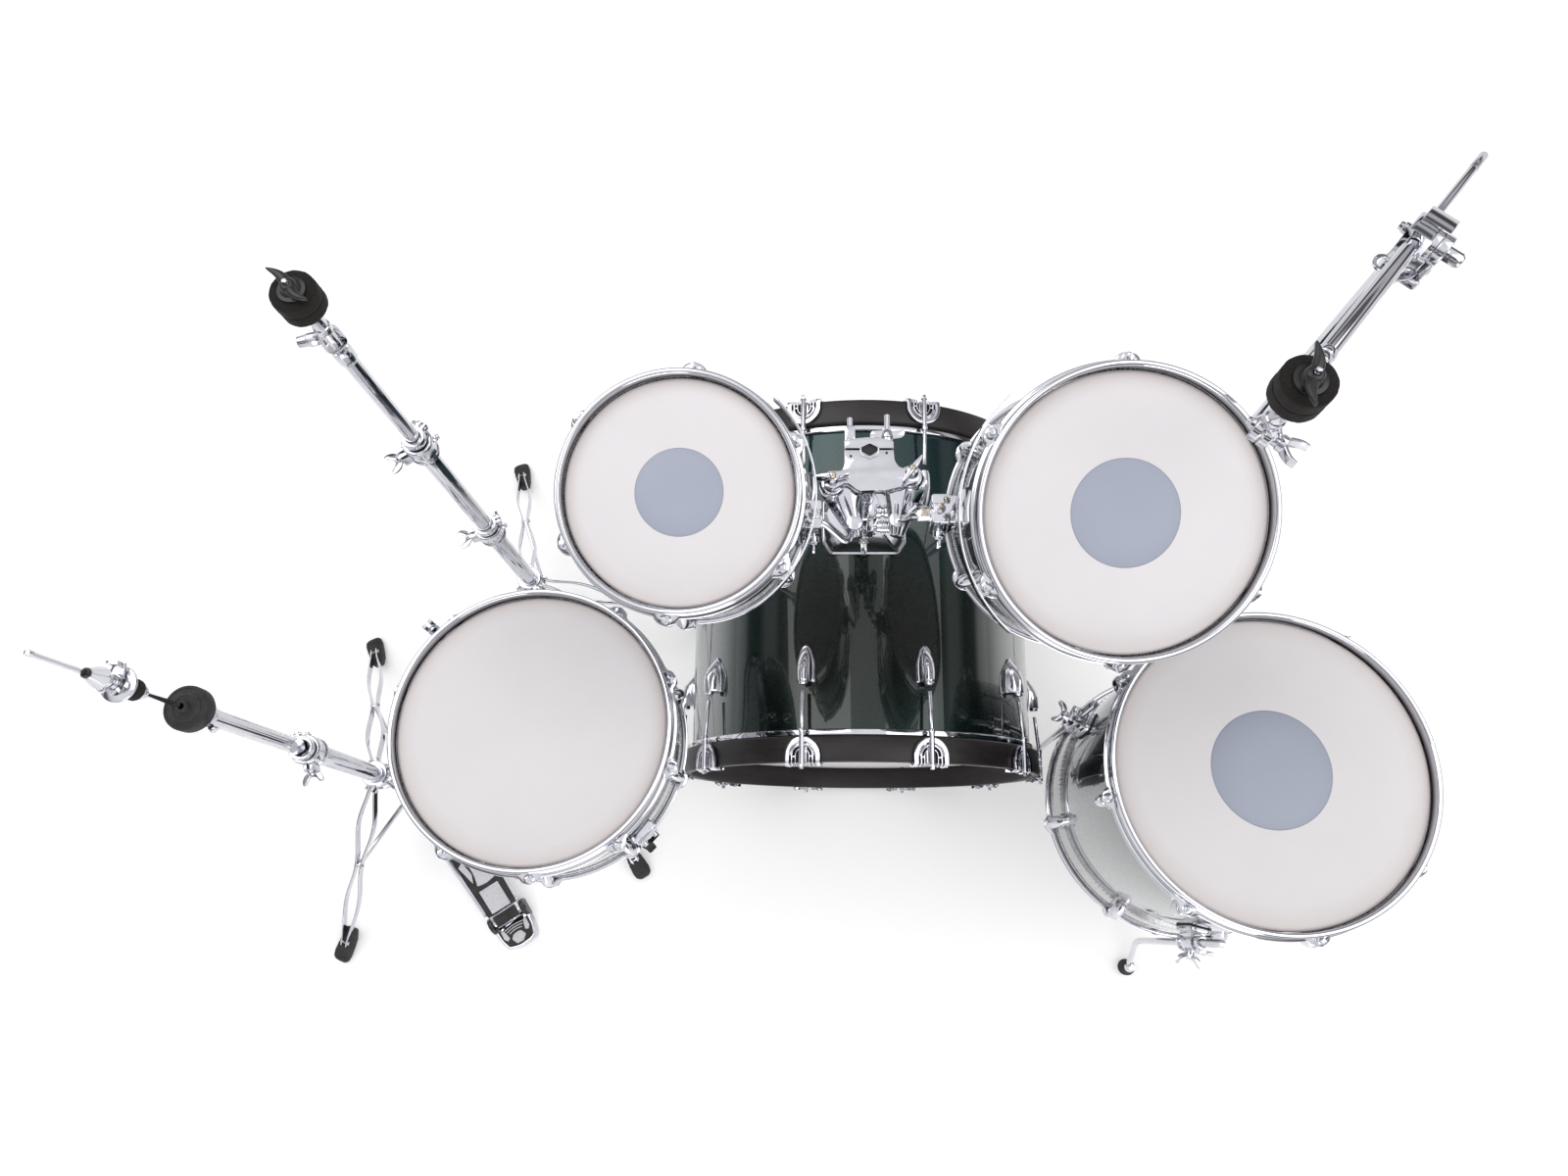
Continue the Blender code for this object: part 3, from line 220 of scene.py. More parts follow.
s = Shader("grey_inset", (0.70, 0.68, 0.72), 0.42, 0.0, Specular_IOR_Level=0.4)
s.to("Base Color", s.ramp(s.noise(240, 3.0).outputs["Fac"], [(0.3, (0.47, 0.46, 0.49)), (0.7, (0.57, 0.56, 0.59))]))
s.to("Roughness", s.span(s.noise(700, 2.0).outputs["Fac"], 0.3, 0.7, 0.34, 0.52))
s.bump((s.noise(1500, 2.0).outputs["Fac"], 0.10, 0.0001))

# pressed wool felt: matted fibres, fuzzy and dull
s = Shader("black_felt", (0.010, 0.009, 0.009), 0.95, 0.0, Sheen_Weight=0.06, Sheen_Roughness=0.5, Specular_IOR_Level=0.10)
fib = s.noise(900, 6.0, 0.75)
s.to("Base Color", s.ramp(fib.outputs["Fac"], [(0.30, (0.007, 0.007, 0.007)), (0.55, (0.019, 0.017, 0.016)), (0.78, (0.052, 0.043, 0.037))]))
s.bump((s.noise(160, 4.0).outputs["Fac"], 0.30, 0.0008), (fib.outputs["Fac"], 0.7, 0.0006))

# ---------------------------------------------------------------- shapes: each is (points, faces)


def moved(shape, m):
    if m is None:
        return shape
    if not isinstance(m, Matrix):
        m = Matrix.Translation(m)
    return [tuple(m @ Vector(p)) for p in shape[0]], shape[1]


def joined(shapes):
    v, f = [], []
    for sv, sf in shapes:
        n = len(v)
        v.extend(sv)
        f.extend(tuple(i + n for i in face) for face in sf)
    return v, f


def lofted(rings, loop=False, caps=True):
    """A skin over rings of points. loop joins the last ring to the first, caps closes the two ends."""
    n, m = len(rings[0]), len(rings)
    v = [tuple(p) for r in rings for p in r]
    f = []
    for i in range(m if loop else m - 1):
        a, b = i * n, ((i + 1) % m) * n
        for k in range(n):
            q = (k + 1) % n
            f.append((a + k, a + q, b + q, b + k))
    if caps and not loop:
        f.append(tuple(range(n - 1, -1, -1)))
        f.append(tuple((m - 1) * n + k for k in range(n)))
    return v, f


def turned(profile, seg=48, m=None):
    """Turned about Z. A profile that starts and ends on the axis is a solid, any other is a ring."""
    v, f, rings = [], [], []
    for r, z in profile:
        if r < 1e-7:
            rings.append([len(v)])
            v.append((0, 0, z))
        else:
            rings.append(list(range(len(v), len(v) + seg)))
            v.extend((r * math.cos(2 * PI * k / seg), r * math.sin(2 * PI * k / seg), z) for k in range(seg))
    n = len(rings)
    for i in range(n if len(rings[0]) > 1 else n - 1):
        a, b = rings[i], rings[(i + 1) % n]
        for k in range(seg):
            q = (k + 1) % seg
            if len(a) == 1 and len(b) > 1:
                f.append((a[0], b[k], b[q]))
            elif len(b) == 1 and len(a) > 1:
                f.append((a[k], b[0], a[q]))
            elif len(a) > 1:
                f.append((a[k], b[k], b[q], a[q]))
    return moved((v, f), m)


def facing(at, normal, spin=0.0):
    z = Vector(normal).normalized()
    x = Vector((1, 0, 0))
    if abs(z.dot(x)) > 0.95:
        x = Vector((0, 1, 0))
    x = (x - z * x.dot(z)).normalized()
    return Matrix.Translation(at) @ Matrix((x, z.cross(x), z)).transposed().to_4x4() @ Matrix.Rotation(spin, 4, "Z")


def axes(at, x, z):
    """A frame at a point from its Z and the direction nearest to its X."""
    z = Vector(z).normalized()
    x = Vector(x)
    x = (x - z * x.dot(z)).normalized()
    return Matrix.Translation(at) @ Matrix((x, z.cross(x), z)).transposed().to_4x4()


def rod(p, q, r, seg=20, r2=None):
    p, q = Vector(p), Vector(q)
    r2 = r if r2 is None else r2
    return turned([(0, 0), (r, 0), (r2, (q - p).length), (0, (q - p).length)], seg, facing(p, q - p))


def pipe(p, q, r, bore, seg=32):
    p, q = Vector(p), Vector(q)
    n = (q - p).length
    return turned([(r, 0), (r, n), (bore, n), (bore, 0)], seg, facing(p, q - p))


def stepped(p, q, steps, seg=24):
    """A turned bar from p along q: steps are (distance, radius)."""
    p, q = Vector(p), Vector(q)
    prof = [(0, steps[0][0])] + [(r, d) for d, r in steps] + [(0, steps[-1][0])]
    return turned(prof, seg, facing(p, q - p))


def threaded(p, q, r, pitch=0.00125, depth=0.00030, seg=14):
    p, q = Vector(p), Vector(q)
    n = (q - p).length
    prof, z = [(0, 0)], 0.0
    while z < n:
        prof += [(r - depth, z), (r, min(n, z + pitch / 2))]
        z += pitch
    return turned(prof + [(r - depth, n + 0.0002), (0, n + 0.0002)], seg, facing(p, q - p))


def ball(c, r, seg=20, n=10, squash=1.0):
    return turned([(r * math.sin(PI * k / n) if 0 < k < n else 0, -r * math.cos(PI * k / n) * squash) for k in range(n + 1)], seg, Vector(c))


def extruded(outline, t, m=None, low=None):
    """A flat outline with thickness t about Z = 0, or from low upwards."""
    z0 = -t / 2 if low is None else low
    return moved(lofted([[(x, y, z0) for x, y in outline], [(x, y, z0 + t) for x, y in outline]]), m)


def rounded(points, r, n=4):
    """An outline with its corners rounded. r is one radius, or one for each corner."""
    out, m = [], len(points)
    for i in range(m):
        p, a, b = Vector(points[i]), Vector(points[i - 1]), Vector(points[(i + 1) % m])
        ri = r[i] if isinstance(r, (list, tuple)) else r
        da, db = (a - p), (b - p)
        t = min(ri, da.length * 0.45, db.length * 0.45)
        if t < 1e-6:
            out.append(tuple(p))
            continue
        s0, s1 = p + da.normalized() * t, p + db.normalized() * t
        for k in range(n + 1):
            u = k / n
            out.append(tuple(s0 * (1 - u) ** 2 + p * (2 * u * (1 - u)) + s1 * u * u))
    return out


def box_outline(w, h, r=0.0, n=4):
    return rounded([(-w / 2, -h / 2), (w / 2, -h / 2), (w / 2, h / 2), (-w / 2, h / 2)], r, n) if r else [(-w / 2, -h / 2), (w / 2, -h / 2), (w / 2, h / 2), (-w / 2, h / 2)]


def disc_outline(r, n=32, x=0.0, y=0.0):
    return [(x + r * math.cos(2 * PI * k / n), y + r * math.sin(2 * PI * k / n)) for k in range(n)]


def block(at, size, m=None, r=0.0015, top=None):
    """A box with rounded upright edges. top scales its upper face."""
    o = box_outline(size[0], size[1], min(r, size[0] * 0.4, size[1] * 0.4))
    tx, ty = top or (1, 1)
    sh = lofted([[(x, y, -size[2] / 2) for x, y in o], [(x * tx, y * ty, size[2] / 2) for x, y in o]])
    return moved(moved(sh, Vector(at)), m)


def bent(points, r, n=7):
    """A path with its corners rounded."""
    pts = [Vector(p) for p in points]
    out = [pts[0]]
    for i in range(1, len(pts) - 1):
        a, p, b = pts[i - 1], pts[i], pts[i + 1]
        t = min(r, (a - p).length * 0.48, (b - p).length * 0.48)
        s0, s1 = p + (a - p).normalized() * t, p + (b - p).normalized() * t
        for k in range(n + 1):
            u = k / n
            out.append(s0 * (1 - u) ** 2 + p * (2 * u * (1 - u)) + s1 * u * u)
    return out + [pts[-1]]


def spline(points, n=6, closed=False):
    """A smooth curve through points of two or three numbers."""
    pts = [Vector(p) for p in points]
    m, out = len(pts), []
    for i in range(m if closed else m - 1):
        if closed:
            p0, p1, p2, p3 = pts[i - 1], pts[i], pts[(i + 1) % m], pts[(i + 2) % m]
        else:
            p1, p2 = pts[i], pts[i + 1]
            p0 = pts[i - 1] if i else p1 * 2 - p2
            p3 = pts[i + 2] if i + 2 < m else p2 * 2 - p1
        for k in range(n):
            t = k / n
            out.append(0.5 * (p1 * 2 + (p2 - p0) * t + (p0 * 2 - p1 * 5 + p2 * 4 - p3) * t * t + (p1 * 3 - p0 - p2 * 3 + p3) * t ** 3))
    if not closed:
        out.append(pts[-1])
    return out


def swept(path, section, side, sizes=None):
    """A section carried along a path. side is the section's first axis, sizes scales it at each point."""
    path = [Vector(p) for p in path]
    side = Vector(side)
    rings = []
    for i, p in enumerate(path):
        a = (p - path[i - 1]).normalized() if i else (path[1] - path[0]).normalized()
        b = (path[i + 1] - p).normalized() if i < len(path) - 1 else a
        t = (a + b).normalized()
        s_ = (side - t * side.dot(t)).normalized()
        n = t.cross(s_)
        grow = 1 / max(0.5, t.dot(a))
        bend = b - a
        bend = bend.normalized() if bend.length > 1e-6 else n
        k = sizes[i] if sizes else 1.0
        ring = []
        for u, v in section:
            off = (s_ * u + n * v) * k
            off += bend * (off.dot(bend) * (grow - 1))
            ring.append(p + off)
        rings.append(ring)
    return lofted(rings)


def flat(w, t, r=0.0):
    return box_outline(w, t, r, 3)


def round_section(r, seg=14):
    return [(r * math.cos(2 * PI * k / seg), r * math.sin(2 * PI * k / seg)) for k in range(seg)]


def piece(name, body, slot, shapes, replaces=(), m=None, bevel=0.0005, angle=32, steps=2):
    """One visible piece: its shapes joined, edges rounded, riding on its body. The grey insets have no slot of their own in the record."""
    v, f = joined(shapes)
    me = bpy.data.meshes.new(name)
    me.from_pydata(v, [], f)
    bm = bmesh.new()
    bm.from_mesh(me)
    bmesh.ops.recalc_face_normals(bm, faces=bm.faces)
    bm.to_mesh(me)
    bm.free()
    ob = bpy.data.objects.new(name, me)
    scene.collection.objects.link(ob)
    ob.matrix_world = SHIFT @ (m if m is not None else Matrix.Identity(4))
    if bevel:
        mod = ob.modifiers.new("edges", "BEVEL")
        mod.width = bevel
        mod.segments = steps
        mod.limit_method = "ANGLE"
        mod.angle_limit = math.radians(38)
        mod.use_clamp_overlap = True
        bpy.context.view_layer.update()
        done = bpy.data.meshes.new_from_object(ob.evaluated_get(bpy.context.evaluated_depsgraph_get()))
        ob.modifiers.clear()
        ob.data = done
        bpy.data.meshes.remove(me)
        done.name = name
    ob.data.materials.clear()
    ob.data.materials.append(MAT[slot])
    ob.data.shade_smooth()
    ob.data.set_sharp_from_angle(angle=math.radians(angle))
    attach(ob, body)
    if replaces:
        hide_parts(*replaces)
    return ob


def around(m, angle, radius, z=0.0):
    """A frame on a drum's side: X out of the drum, Z along it."""
    return m @ Matrix.Rotation(angle, 4, "Z") @ Matrix.Translation((radius, 0, z))


I4 = Matrix.Identity(4)


def wing_outline(w, h):
    """Half-width w, height h: two rounded ears that rise from a narrow waist."""
    side = [(0.16, 0.0), (0.42, 0.10), (0.80, 0.34), (1.00, 0.72), (0.93, 0.98), (0.72, 0.96), (0.44, 0.66), (0.18, 0.52)]
    pts = [(x * w, y * h) for x, y in side] + [(-x * w, y * h) for x, y in reversed(side)]
    return [tuple(p) for p in spline(pts, 4, True)]


def wing_bolt(at, out, wide, w=0.017, h=0.017, t=0.0034, stem=0.012, r=0.0042):
    """A wing bolt whose stem points along out and whose wings spread along wide."""
    at, out = Vector(at), Vector(out).normalized()
    m = axes(at, wide, out)
    up = m @ Matrix.Translation((0, 0, stem - 0.004)) @ Matrix.Rotation(PI / 2, 4, "X")
    return [stepped(at - out * 0.004, at + out * stem, [(0, r), (stem - 0.003, r), (stem - 0.003, r * 1.7), (stem + 0.004, r * 1.7), (stem + 0.0075, r * 1.15)]),
            extruded(wing_outline(w, h + 0.004), t, up)]


def key_screw(m, r=0.0030, head=0.0056, tall=0.0090, under=0.030):
    """A tension rod at a frame whose Z = 0 is the seat: washer, collar, square head and the rod below it."""
    return [turned([(0, -under), (r, -under), (r, 0.0), (0.0070, 0.0), (0.0070, 0.0013), (0.0050, 0.0017), (0.0050, 0.0036), (0, 0.0036)], 20, m),
            block((0, 0, 0.0036 + tall / 2), (head, head, tall), m @ Matrix.Rotation(0.6, 4, "Z"), 0.0007, (0.94, 0.94))]


def bullet(m, length, width, height, base=0.0022):
    """A cast lug: X out of the drum, its flat end at Z = 0 and its pointed end at -length, on a rimmed base."""
    n, k = 16, 16
    rings = []
    for i in range(n + 1):
        u = i / n
        f = (math.sin(min(1.0, (u + 0.010) / 0.60) * PI / 2)) ** 0.54
        hh = height * (math.sin(min(1.0, (u + 0.015) / 0.75) * PI / 2)) ** 0.80
        w = width / 2 * f * (1 - 0.06 * max(0.0, u - 0.8) / 0.2)
        ring = []
        for j in range(k + 1):
            a = PI * j / k
            ring.append((base + (hh - base) * math.sin(a) ** 0.9, -w * math.cos(a), -length * (1 - u)))
        rings.append(ring)
    body = lofted([[(p[0], p[1], p[2]) for p in r] for r in rings])
    out = []
    for i in range(n + 1):
        u = i / n
        f = (math.sin(min(1.0, (u + 0.015) / 0.60) * PI / 2)) ** 0.54
        out.append((-(width / 2 + 0.0022) * f, -length * (1 - u) - (0.0022 if i < 3 else 0)))
    outline = out + [(-y, z) for y, z in reversed(out)]
    rim = lofted([[(-0.0015, y, z) for y, z in outline], [(base, y, z) for y, z in outline]])
    collar = turned([(0, -0.002), (width * 0.30, -0.002), (width * 0.30, 0.0035), (width * 0.24, 0.0050), (0, 0.0050)], 20, Matrix.Translation((height * 0.62, 0, 0)))
    return [moved(body, m), moved(rim, m), moved(collar, m)]

# ---------------------------------------------------------------- drums
SHELL_T = 0.0060


def ear(a, angles, r, reach=0.0080, half=0.0135):
    """How far the hoop's lower flange stands out at angle a: a rounded ear at each tension rod."""
    d = min(abs((a - b + PI) % (2 * PI) - PI) for b in angles) * r
    if d > half * 1.5:
        return 0.0
    x = d / half
    return reach * max(0.0, 1 - x ** 2) ** 0.55 if x < 1 else 0.0


def hoop(r, angles, seg=360):
    """A triple-flanged pressed hoop, Z = 0 at the film: rolled lip, step, and a lower flange with its ears."""
    rings = []
    for k in range(seg):
        a = 2 * PI * k / seg
        e = ear(a, angles, r + 0.013)
        lift = 0.0006 if e > 0.001 else 0.0
        prof = [(r + 0.0010, 0.0118), (r + 0.0014, 0.0134), (r + 0.0030, 0.0145), (r + 0.0056, 0.0147), (r + 0.0072, 0.0140), (r + 0.0078, 0.0126),
                (r + 0.0070, 0.0114), (r + 0.0050, 0.0106), (r + 0.0034, 0.0090), (r + 0.0031, 0.0050), (r + 0.0034, 0.0022), (r + 0.0050, 0.0002),
                (r + 0.0058, -0.0016), (r + 0.0059, -0.0062), (r + 0.0066, -0.0080), (r + 0.0084, -0.0090 + lift), (r + 0.0108 + e, -0.0095 + lift),
                (r + 0.0118 + e, -0.0103 + lift), (r + 0.0119 + e, -0.0116), (r + 0.0110 + e, -0.0124), (r + 0.0060, -0.0121), (r + 0.0024, -0.0108),
                (r + 0.0012, -0.0080)]
        c, s_ = math.cos(a), math.sin(a)
        rings.append([(p * c, p * s_, z) for p, z in prof])
    return lofted(rings, loop=True)


def drum(name, body, r, depth, at, normal, lugs, phase, dot=0.0, lug_z=0.030, lug_len=0.036, lug_w=0.0170, lug_h=0.0205):
    """Shell, lugs, hoops with their rods, heads. Returns the drum's frame and the angles of its rods."""
    m = facing(at, normal)
    angles = [math.radians(phase + 360 / lugs * k) for k in range(lugs)]
    prof = [(r - 0.0026, -0.0024), (r - 0.0008, -0.0034), (r, -0.0060), (r, -depth + 0.0060), (r - 0.0008, -depth + 0.0034), (r - 0.0026, -depth + 0.0024),
            (r - SHELL_T, -depth + 0.0075), (r - SHELL_T, -0.0075)]
    piece(name + "_lacquered_shell", body, "green_lacquer", [turned(prof, 160)], [name + "_shell"], m, 0)
    cast = []
    for a in angles:
        cast += bullet(around(m, a, r, -lug_z), lug_len, lug_w, lug_h)
        cast += bullet(around(m, a, r, -depth + lug_z) @ Matrix.Rotation(PI, 4, "X"), lug_len, lug_w, lug_h)
    piece(name + "_lugs", body, "chrome", cast, m=I4)
    for end, mm, ang in (("top", m, angles), ("bottom", m @ Matrix.Translation((0, 0, -depth)) @ Matrix.Rotation(PI, 4, "X"), [-a for a in angles])):
        piece(f"{name}_{end}_flanged_hoop", body, "chrome", [hoop(r, ang)], [f"{name}_{end}_hoop"], mm, 0, 50)
        rods = []
        for a in ang:
            rods += key_screw(around(mm, a, r + 0.0130, -0.0092), under=lug_z - 0.0092 + 0.004)
        piece(f"{name}_{end}_tension_rods", body, "chrome", rods)
        ring = turned([(r + 0.0007, -0.0127), (r + 0.0036, -0.0130), (r + 0.0044, -0.0140), (r + 0.0044, -0.0164), (r + 0.0036, -0.0174), (r + 0.0007, -0.0174)], 160)
        piece(f"{name}_{end}_flesh_hoop", body, "spring_steel", [ring], m=mm, bevel=0, angle=40)
        skin = turned([(0, 0)] + [(r * q, 0) for q in (0.2, 0.4, 0.6, 0.8, 0.9)] + [(r - 0.0050, 0), (r - 0.0030, -0.0003), (r - 0.0012, -0.0013), (r - 0.0002, -0.0034),
                      (r - 0.0002, -0.0050), (r - 0.0036, -0.0050), (r - 0.0044, -0.0012), (0, -0.0012)], 160)
        which = "batter" if end == "top" else "bottom"
        piece(f"{name}_{which}_skin", body, "coated_film", [skin], [f"{name}_{which}_head"], mm, 0, 50)
    if dot:
        rd = r * dot
        piece(name + "_dot", body, "dot_film", [turned([(0, 0.00028), (rd * 0.5, 0.00028), (rd - 0.0004, 0.00028), (rd, 0.00008), (rd, -0.0003), (0, -0.0003)], 128)], m=m, bevel=0)
    return m, angles


TOM1_R, TOM2_R, FLOOR_R, SNARE_R = 5 * INCH, 6 * INCH, 8 * INCH, 7 * INCH
TOM1_DEPTH, TOM2_DEPTH, FLOOR_DEPTH, SNARE_DEPTH = 8 * INCH, 9 * INCH, 16 * INCH, 5.5 * INCH
FLOOR_AT = Vector((0.5923, 0.2056, 0.6706))
SNARE_AT = Vector((-0.3748, 0.2461, 0.7205))
TM1, A1 = drum("tom1", "tom1", TOM1_R, TOM1_DEPTH, (-0.1531, 0.4527, 1.0215), (-0.0019, -0.2517, 1), 6, 24, 0.385)
TM2, A2 = drum("tom2", "tom2", TOM2_R, TOM2_DEPTH, (0.3261, 0.4261, 1.0263), (0.0198, -0.3593, 1), 6, 29, 0.385)
FM, AF = drum("floor_tom", "kit", FLOOR_R, FLOOR_DEPTH, FLOOR_AT, (0, 0, 1), 8, 10, 0.385, lug_len=0.044, lug_w=0.020, lug_h=0.022)
SM, AS = drum("snare", "snare", SNARE_R, SNARE_DEPTH, SNARE_AT, (0, 0, 1), 10, 21, lug_z=0.026, lug_len=0.030, lug_w=0.0150, lug_h=0.0190)

# ---------------------------------------------------------------- bass drum
BASS_R, BASS_DEPTH = 11 * INCH, 0.457
BM = Matrix.Translation((0.0677, 0.2884, 0.2946)) @ Matrix.Rotation(PI / 2 + 0.059, 4, "X")
HOOP_R, HOOP_W = BASS_R + 0.013, 0.038
LUG_DEGS = [18 + 36 * k for k in range(10)]


def bass_frame(deg, radius, s_):
    """On the bass drum's side: X out of the drum, Z towards the player. deg is counted from the top, to +X."""
    return BM @ Matrix.Rotation(math.radians(90 - deg), 4, "Z") @ Matrix.Translation((radius, 0, -s_))


prof = [(BASS_R - 0.0020, 0.0058), (BASS_R, 0.0030), (BASS_R, -BASS_DEPTH - 0.0030), (BASS_R - 0.0020, -BASS_DEPTH - 0.0058), (BASS_R - 0.0070, -BASS_DEPTH - 0.0020),
        (BASS_R - 0.0070, 0.0020)]
piece("bass_lacquered_shell", "kit", "green_lacquer", [turned(prof, 256)], ["bass_shell"], BM, 0)

cast = []
for deg in LUG_DEGS:
    cast += bullet(bass_frame(deg, BASS_R, 0.0700), 0.0520, 0.0230, 0.0230, 0.0028)
    cast += bullet(bass_frame(deg, BASS_R, BASS_DEPTH - 0.0700) @ Matrix.Rotation(PI, 4, "X"), 0.0520, 0.0230, 0.0230, 0.0028)
piece("bass_lugs", "kit", "chrome", cast)

for end, mm, sign in (("batter", BM @ Matrix.Translation((0, 0, 0.0084)), 1),
                      ("front", BM @ Matrix.Translation((0, 0, -BASS_DEPTH - 0.0084)) @ Matrix.Rotation(PI, 4, "X"), -1)):
    # the wooden hoop, its edges eased, slightly crowned outside
    o, i_ = HOOP_R, BASS_R + 0.0010
    prof = [(o - 0.0018, 0.0002), (o - 0.0005, 0.0010), (o, 0.0030), (o + 0.0003, HOOP_W / 2), (o, HOOP_W - 0.0030), (o - 0.0005, HOOP_W - 0.0010), (o - 0.0020, HOOP_W),
            (i_ + 0.0020, HOOP_W), (i_ + 0.0005, HOOP_W - 0.0008), (i_, HOOP_W - 0.0026), (i_, 0.0020), (i_ + 0.0008, 0.0002)]
    piece(f"bass_{end}_wooden_hoop", "kit", "black_wood", [turned(prof, 256)], [f"bass_{end}_hoop"], mm, 0, 60)
    # the head's metal rim between hoop and shell
    rim = [(BASS_R + 0.0010, -0.0100), (BASS_R + 0.0048, -0.0100), (BASS_R + 0.0066, -0.0086), (BASS_R + 0.0070, -0.0050), (BASS_R + 0.0066, -0.0016), (BASS_R + 0.0046, -0.0004),
           (BASS_R + 0.0010, -0.0004)]
    piece(f"bass_{end}_head_rim", "kit", "chrome", [turned(rim, 256)], m=mm, bevel=0, angle=45)
    z0 = 0.0
    skin = turned([(0, z0)] + [(BASS_R * q, z0) for q in (0.25, 0.5, 0.75, 0.9)] + [(BASS_R - 0.008, z0), (BASS_R - 0.0040, z0 - 0.0005), (BASS_R - 0.0008, z0 - 0.0024),
                  (BASS_R + 0.0006, z0 - 0.0060), (BASS_R + 0.0002, z0 - 0.0060), (BASS_R - 0.0060, z0 - 0.0014), (0, z0 - 0.0014)], 256)
    piece(f"bass_{end}_skin", "kit", "coated_film", [skin], [f"bass_{end}_head"], mm, 0, 60)
    claws, rods = [], []
    for deg in LUG_DEGS:
        cm = mm @ Matrix.Rotation(math.radians(90 - deg) * sign, 4, "Z")
        # two nested bands, half round towards the shell, that hook over the hoop's outer edge
        zc, tip = 0.0285, HOOP_W + 0.0030
        for w, up, wide, thick in ((0.0232, 0.0034, 0.0072, 0.0054), (0.0158, 0.0036, 0.0026, 0.0046), (0.0104, 0.0028, 0.0016, 0.0036)):
            run = [(HOOP_R + up, w * math.cos(PI + PI * k / 20), zc + w * math.sin(PI + PI * k / 20)) for k in range(21)]
            left = [(HOOP_R - 0.0120, -w, tip - 0.0002), (HOOP_R - 0.0020, -w, tip), (HOOP_R + up, -w, tip - 0.0030), (HOOP_R + up, -w, zc + (tip - zc) * 0.4)]
            right_ = [(x, -y, z) for x, y, z in reversed(left)]
            claws.append(moved(swept(left + run + right_, flat(thick, wide, 0.0012), (1, 0, 0)), cm))
        # webs: an arched sheet between the bands, a narrow strip under the barrel, ribs across the windows
        arch = [(w * math.cos(PI + PI * k / 20), zc + w * math.sin(PI + PI * k / 20)) for w, ks in ((0.0225, range(21)), (0.0162, range(20, -1, -1))) for k in ks]
        sheet_m = cm @ Matrix.Translation((HOOP_R + 0.0012, 0, 0)) @ Matrix(((0, 0, 1, 0), (1, 0, 0, 0), (0, 1, 0, 0), (0, 0, 0, 1)))
        claws.append(extruded(arch, 0.0016, sheet_m))
        claws.append(extruded([(-0.0062, 0.0070), (0.0062, 0.0070), (0.0062, tip - 0.0030), (-0.0062, tip - 0.0030)], 0.0016, sheet_m))
        claws += [block((HOOP_R + 0.0022, sg * 0.0132, 0.0300), (0.0030, 0.0040, 0.0022), cm, 0.0005) for sg in (-1, 1)]
        # the rod's long barrel over the claw, its square head, then the rod down to its lug
        x = HOOP_R + 0.0068
        claws.append(stepped(cm @ Vector((x, 0, tip)), cm @ Vector((x, 0, -0.0100)), [(0, 0.0030), (0.0008, 0.0040), (0.0440, 0.0040), (0.0450, 0.0048), (0.0500, 0.0048), (0.0510, 0.0036)], 20))
        rods += [rod(cm @ Vector((x, 0, -0.0090)), cm @ Vector((BASS_R + 0.0150, 0, -0.0640)), 0.0030, 14)]
        rods += [block((x, 0, tip + 0.0030), (0.0050, 0.0050, 0.0070), cm, 0.0006), stepped(cm @ Vector((x, 0, tip - 0.0006)), cm @ Vector((x, 0, tip + 0.0012)), [(0, 0.0050), (0.0010, 0.0050), (0.0018, 0.0040)], 18)]
    piece(f"bass_{end}_claws", "kit", "chrome", claws, bevel=0.0004)
    piece(f"bass_{end}_rods", "kit", "chrome", rods, bevel=0.0003)

# spurs, each with its socket on the shell
SPUR_S, SPUR_DEG = BASS_DEPTH - 0.1150, 110
for side, sg in (("left", -1), ("right", 1)):
    fm = bass_frame(sg * SPUR_DEG, BASS_R, SPUR_S)
    sock = [extruded(box_outline(0.0440, 0.0500, 0.010), 0.0060, fm @ Matrix.Translation((-0.0010, 0, 0)) @ Matrix.Rotation(PI / 2, 4, "Y") @ Matrix.Rotation(PI / 2, 4, "Z"), low=0),
            turned([(0, 0), (0.0215, 0), (0.0205, 0.0120), (0.0195, 0.0215), (0, 0.0215)], 32, facing(fm @ Vector((0.0045, 0, 0)), fm.to_3x3() @ Vector((1, 0, 0))))]
    sock += [ball(fm @ Vector((0.0052, y, z)), 0.0030, 12, 6) for y in (-0.0165, 0.0165) for z in (-0.0190, 0.0190)]
    piece(f"bass_spur_socket_{side}", "kit", "chrome", sock)
    sm = bass_frame(sg * SPUR_DEG, BASS_R + 0.0281, SPUR_S)
    pivot = sm @ Vector((0.0080, 0, 0))
    x_out = (sm.to_3x3() @ Vector((1, 0, 0))).normalized()
    tip = Vector((pivot.x + sg * 0.1150, pivot.y + 0.0950, 0.0075))
    d = (tip - pivot).normalized()
    hub = turned([(0, 0), (0.0190, 0), (0.0200, 0.0015), (0.0200, 0.0125), (0.0165, 0.0160), (0.0060, 0.0172), (0, 0.0172)], 40, facing(sm @ Vector((0, 0, 0)), x_out))
    end_ = tip - d * 0.030
    spur = [hub, stepped(pivot, end_, [(0, 0.0080), ((end_ - pivot).length * 0.55, 0.0080), ((end_ - pivot).length * 0.55, 0.0068), ((end_ - pivot).length, 0.0068)], 24),
            stepped(pivot + d * ((end_ - pivot).length * 0.52), end_, [(0, 0.0098), (0.0200, 0.0098)], 24)]
    spur += wing_bolt(pivot + x_out * 0.0070, x_out, d, 0.015, 0.012, stem=0.004)
    piece(f"bass_spur_leg_{side}", f"spur_{side}", "chrome", spur, [f"bass_spur_{side}"])
    piece(f"bass_spur_foot_{side}", f"spur_{side}", "black_rubber", [stepped(end_ - d * 0.004, tip - d * 0.0010, [(0, 0.0090), (0.002, 0.0112), (0.006, 0.0112), (0.008, 0.0100), (0.010, 0.0118), (0.0240, 0.0118), (0.0310, 0.0090)], 24)])

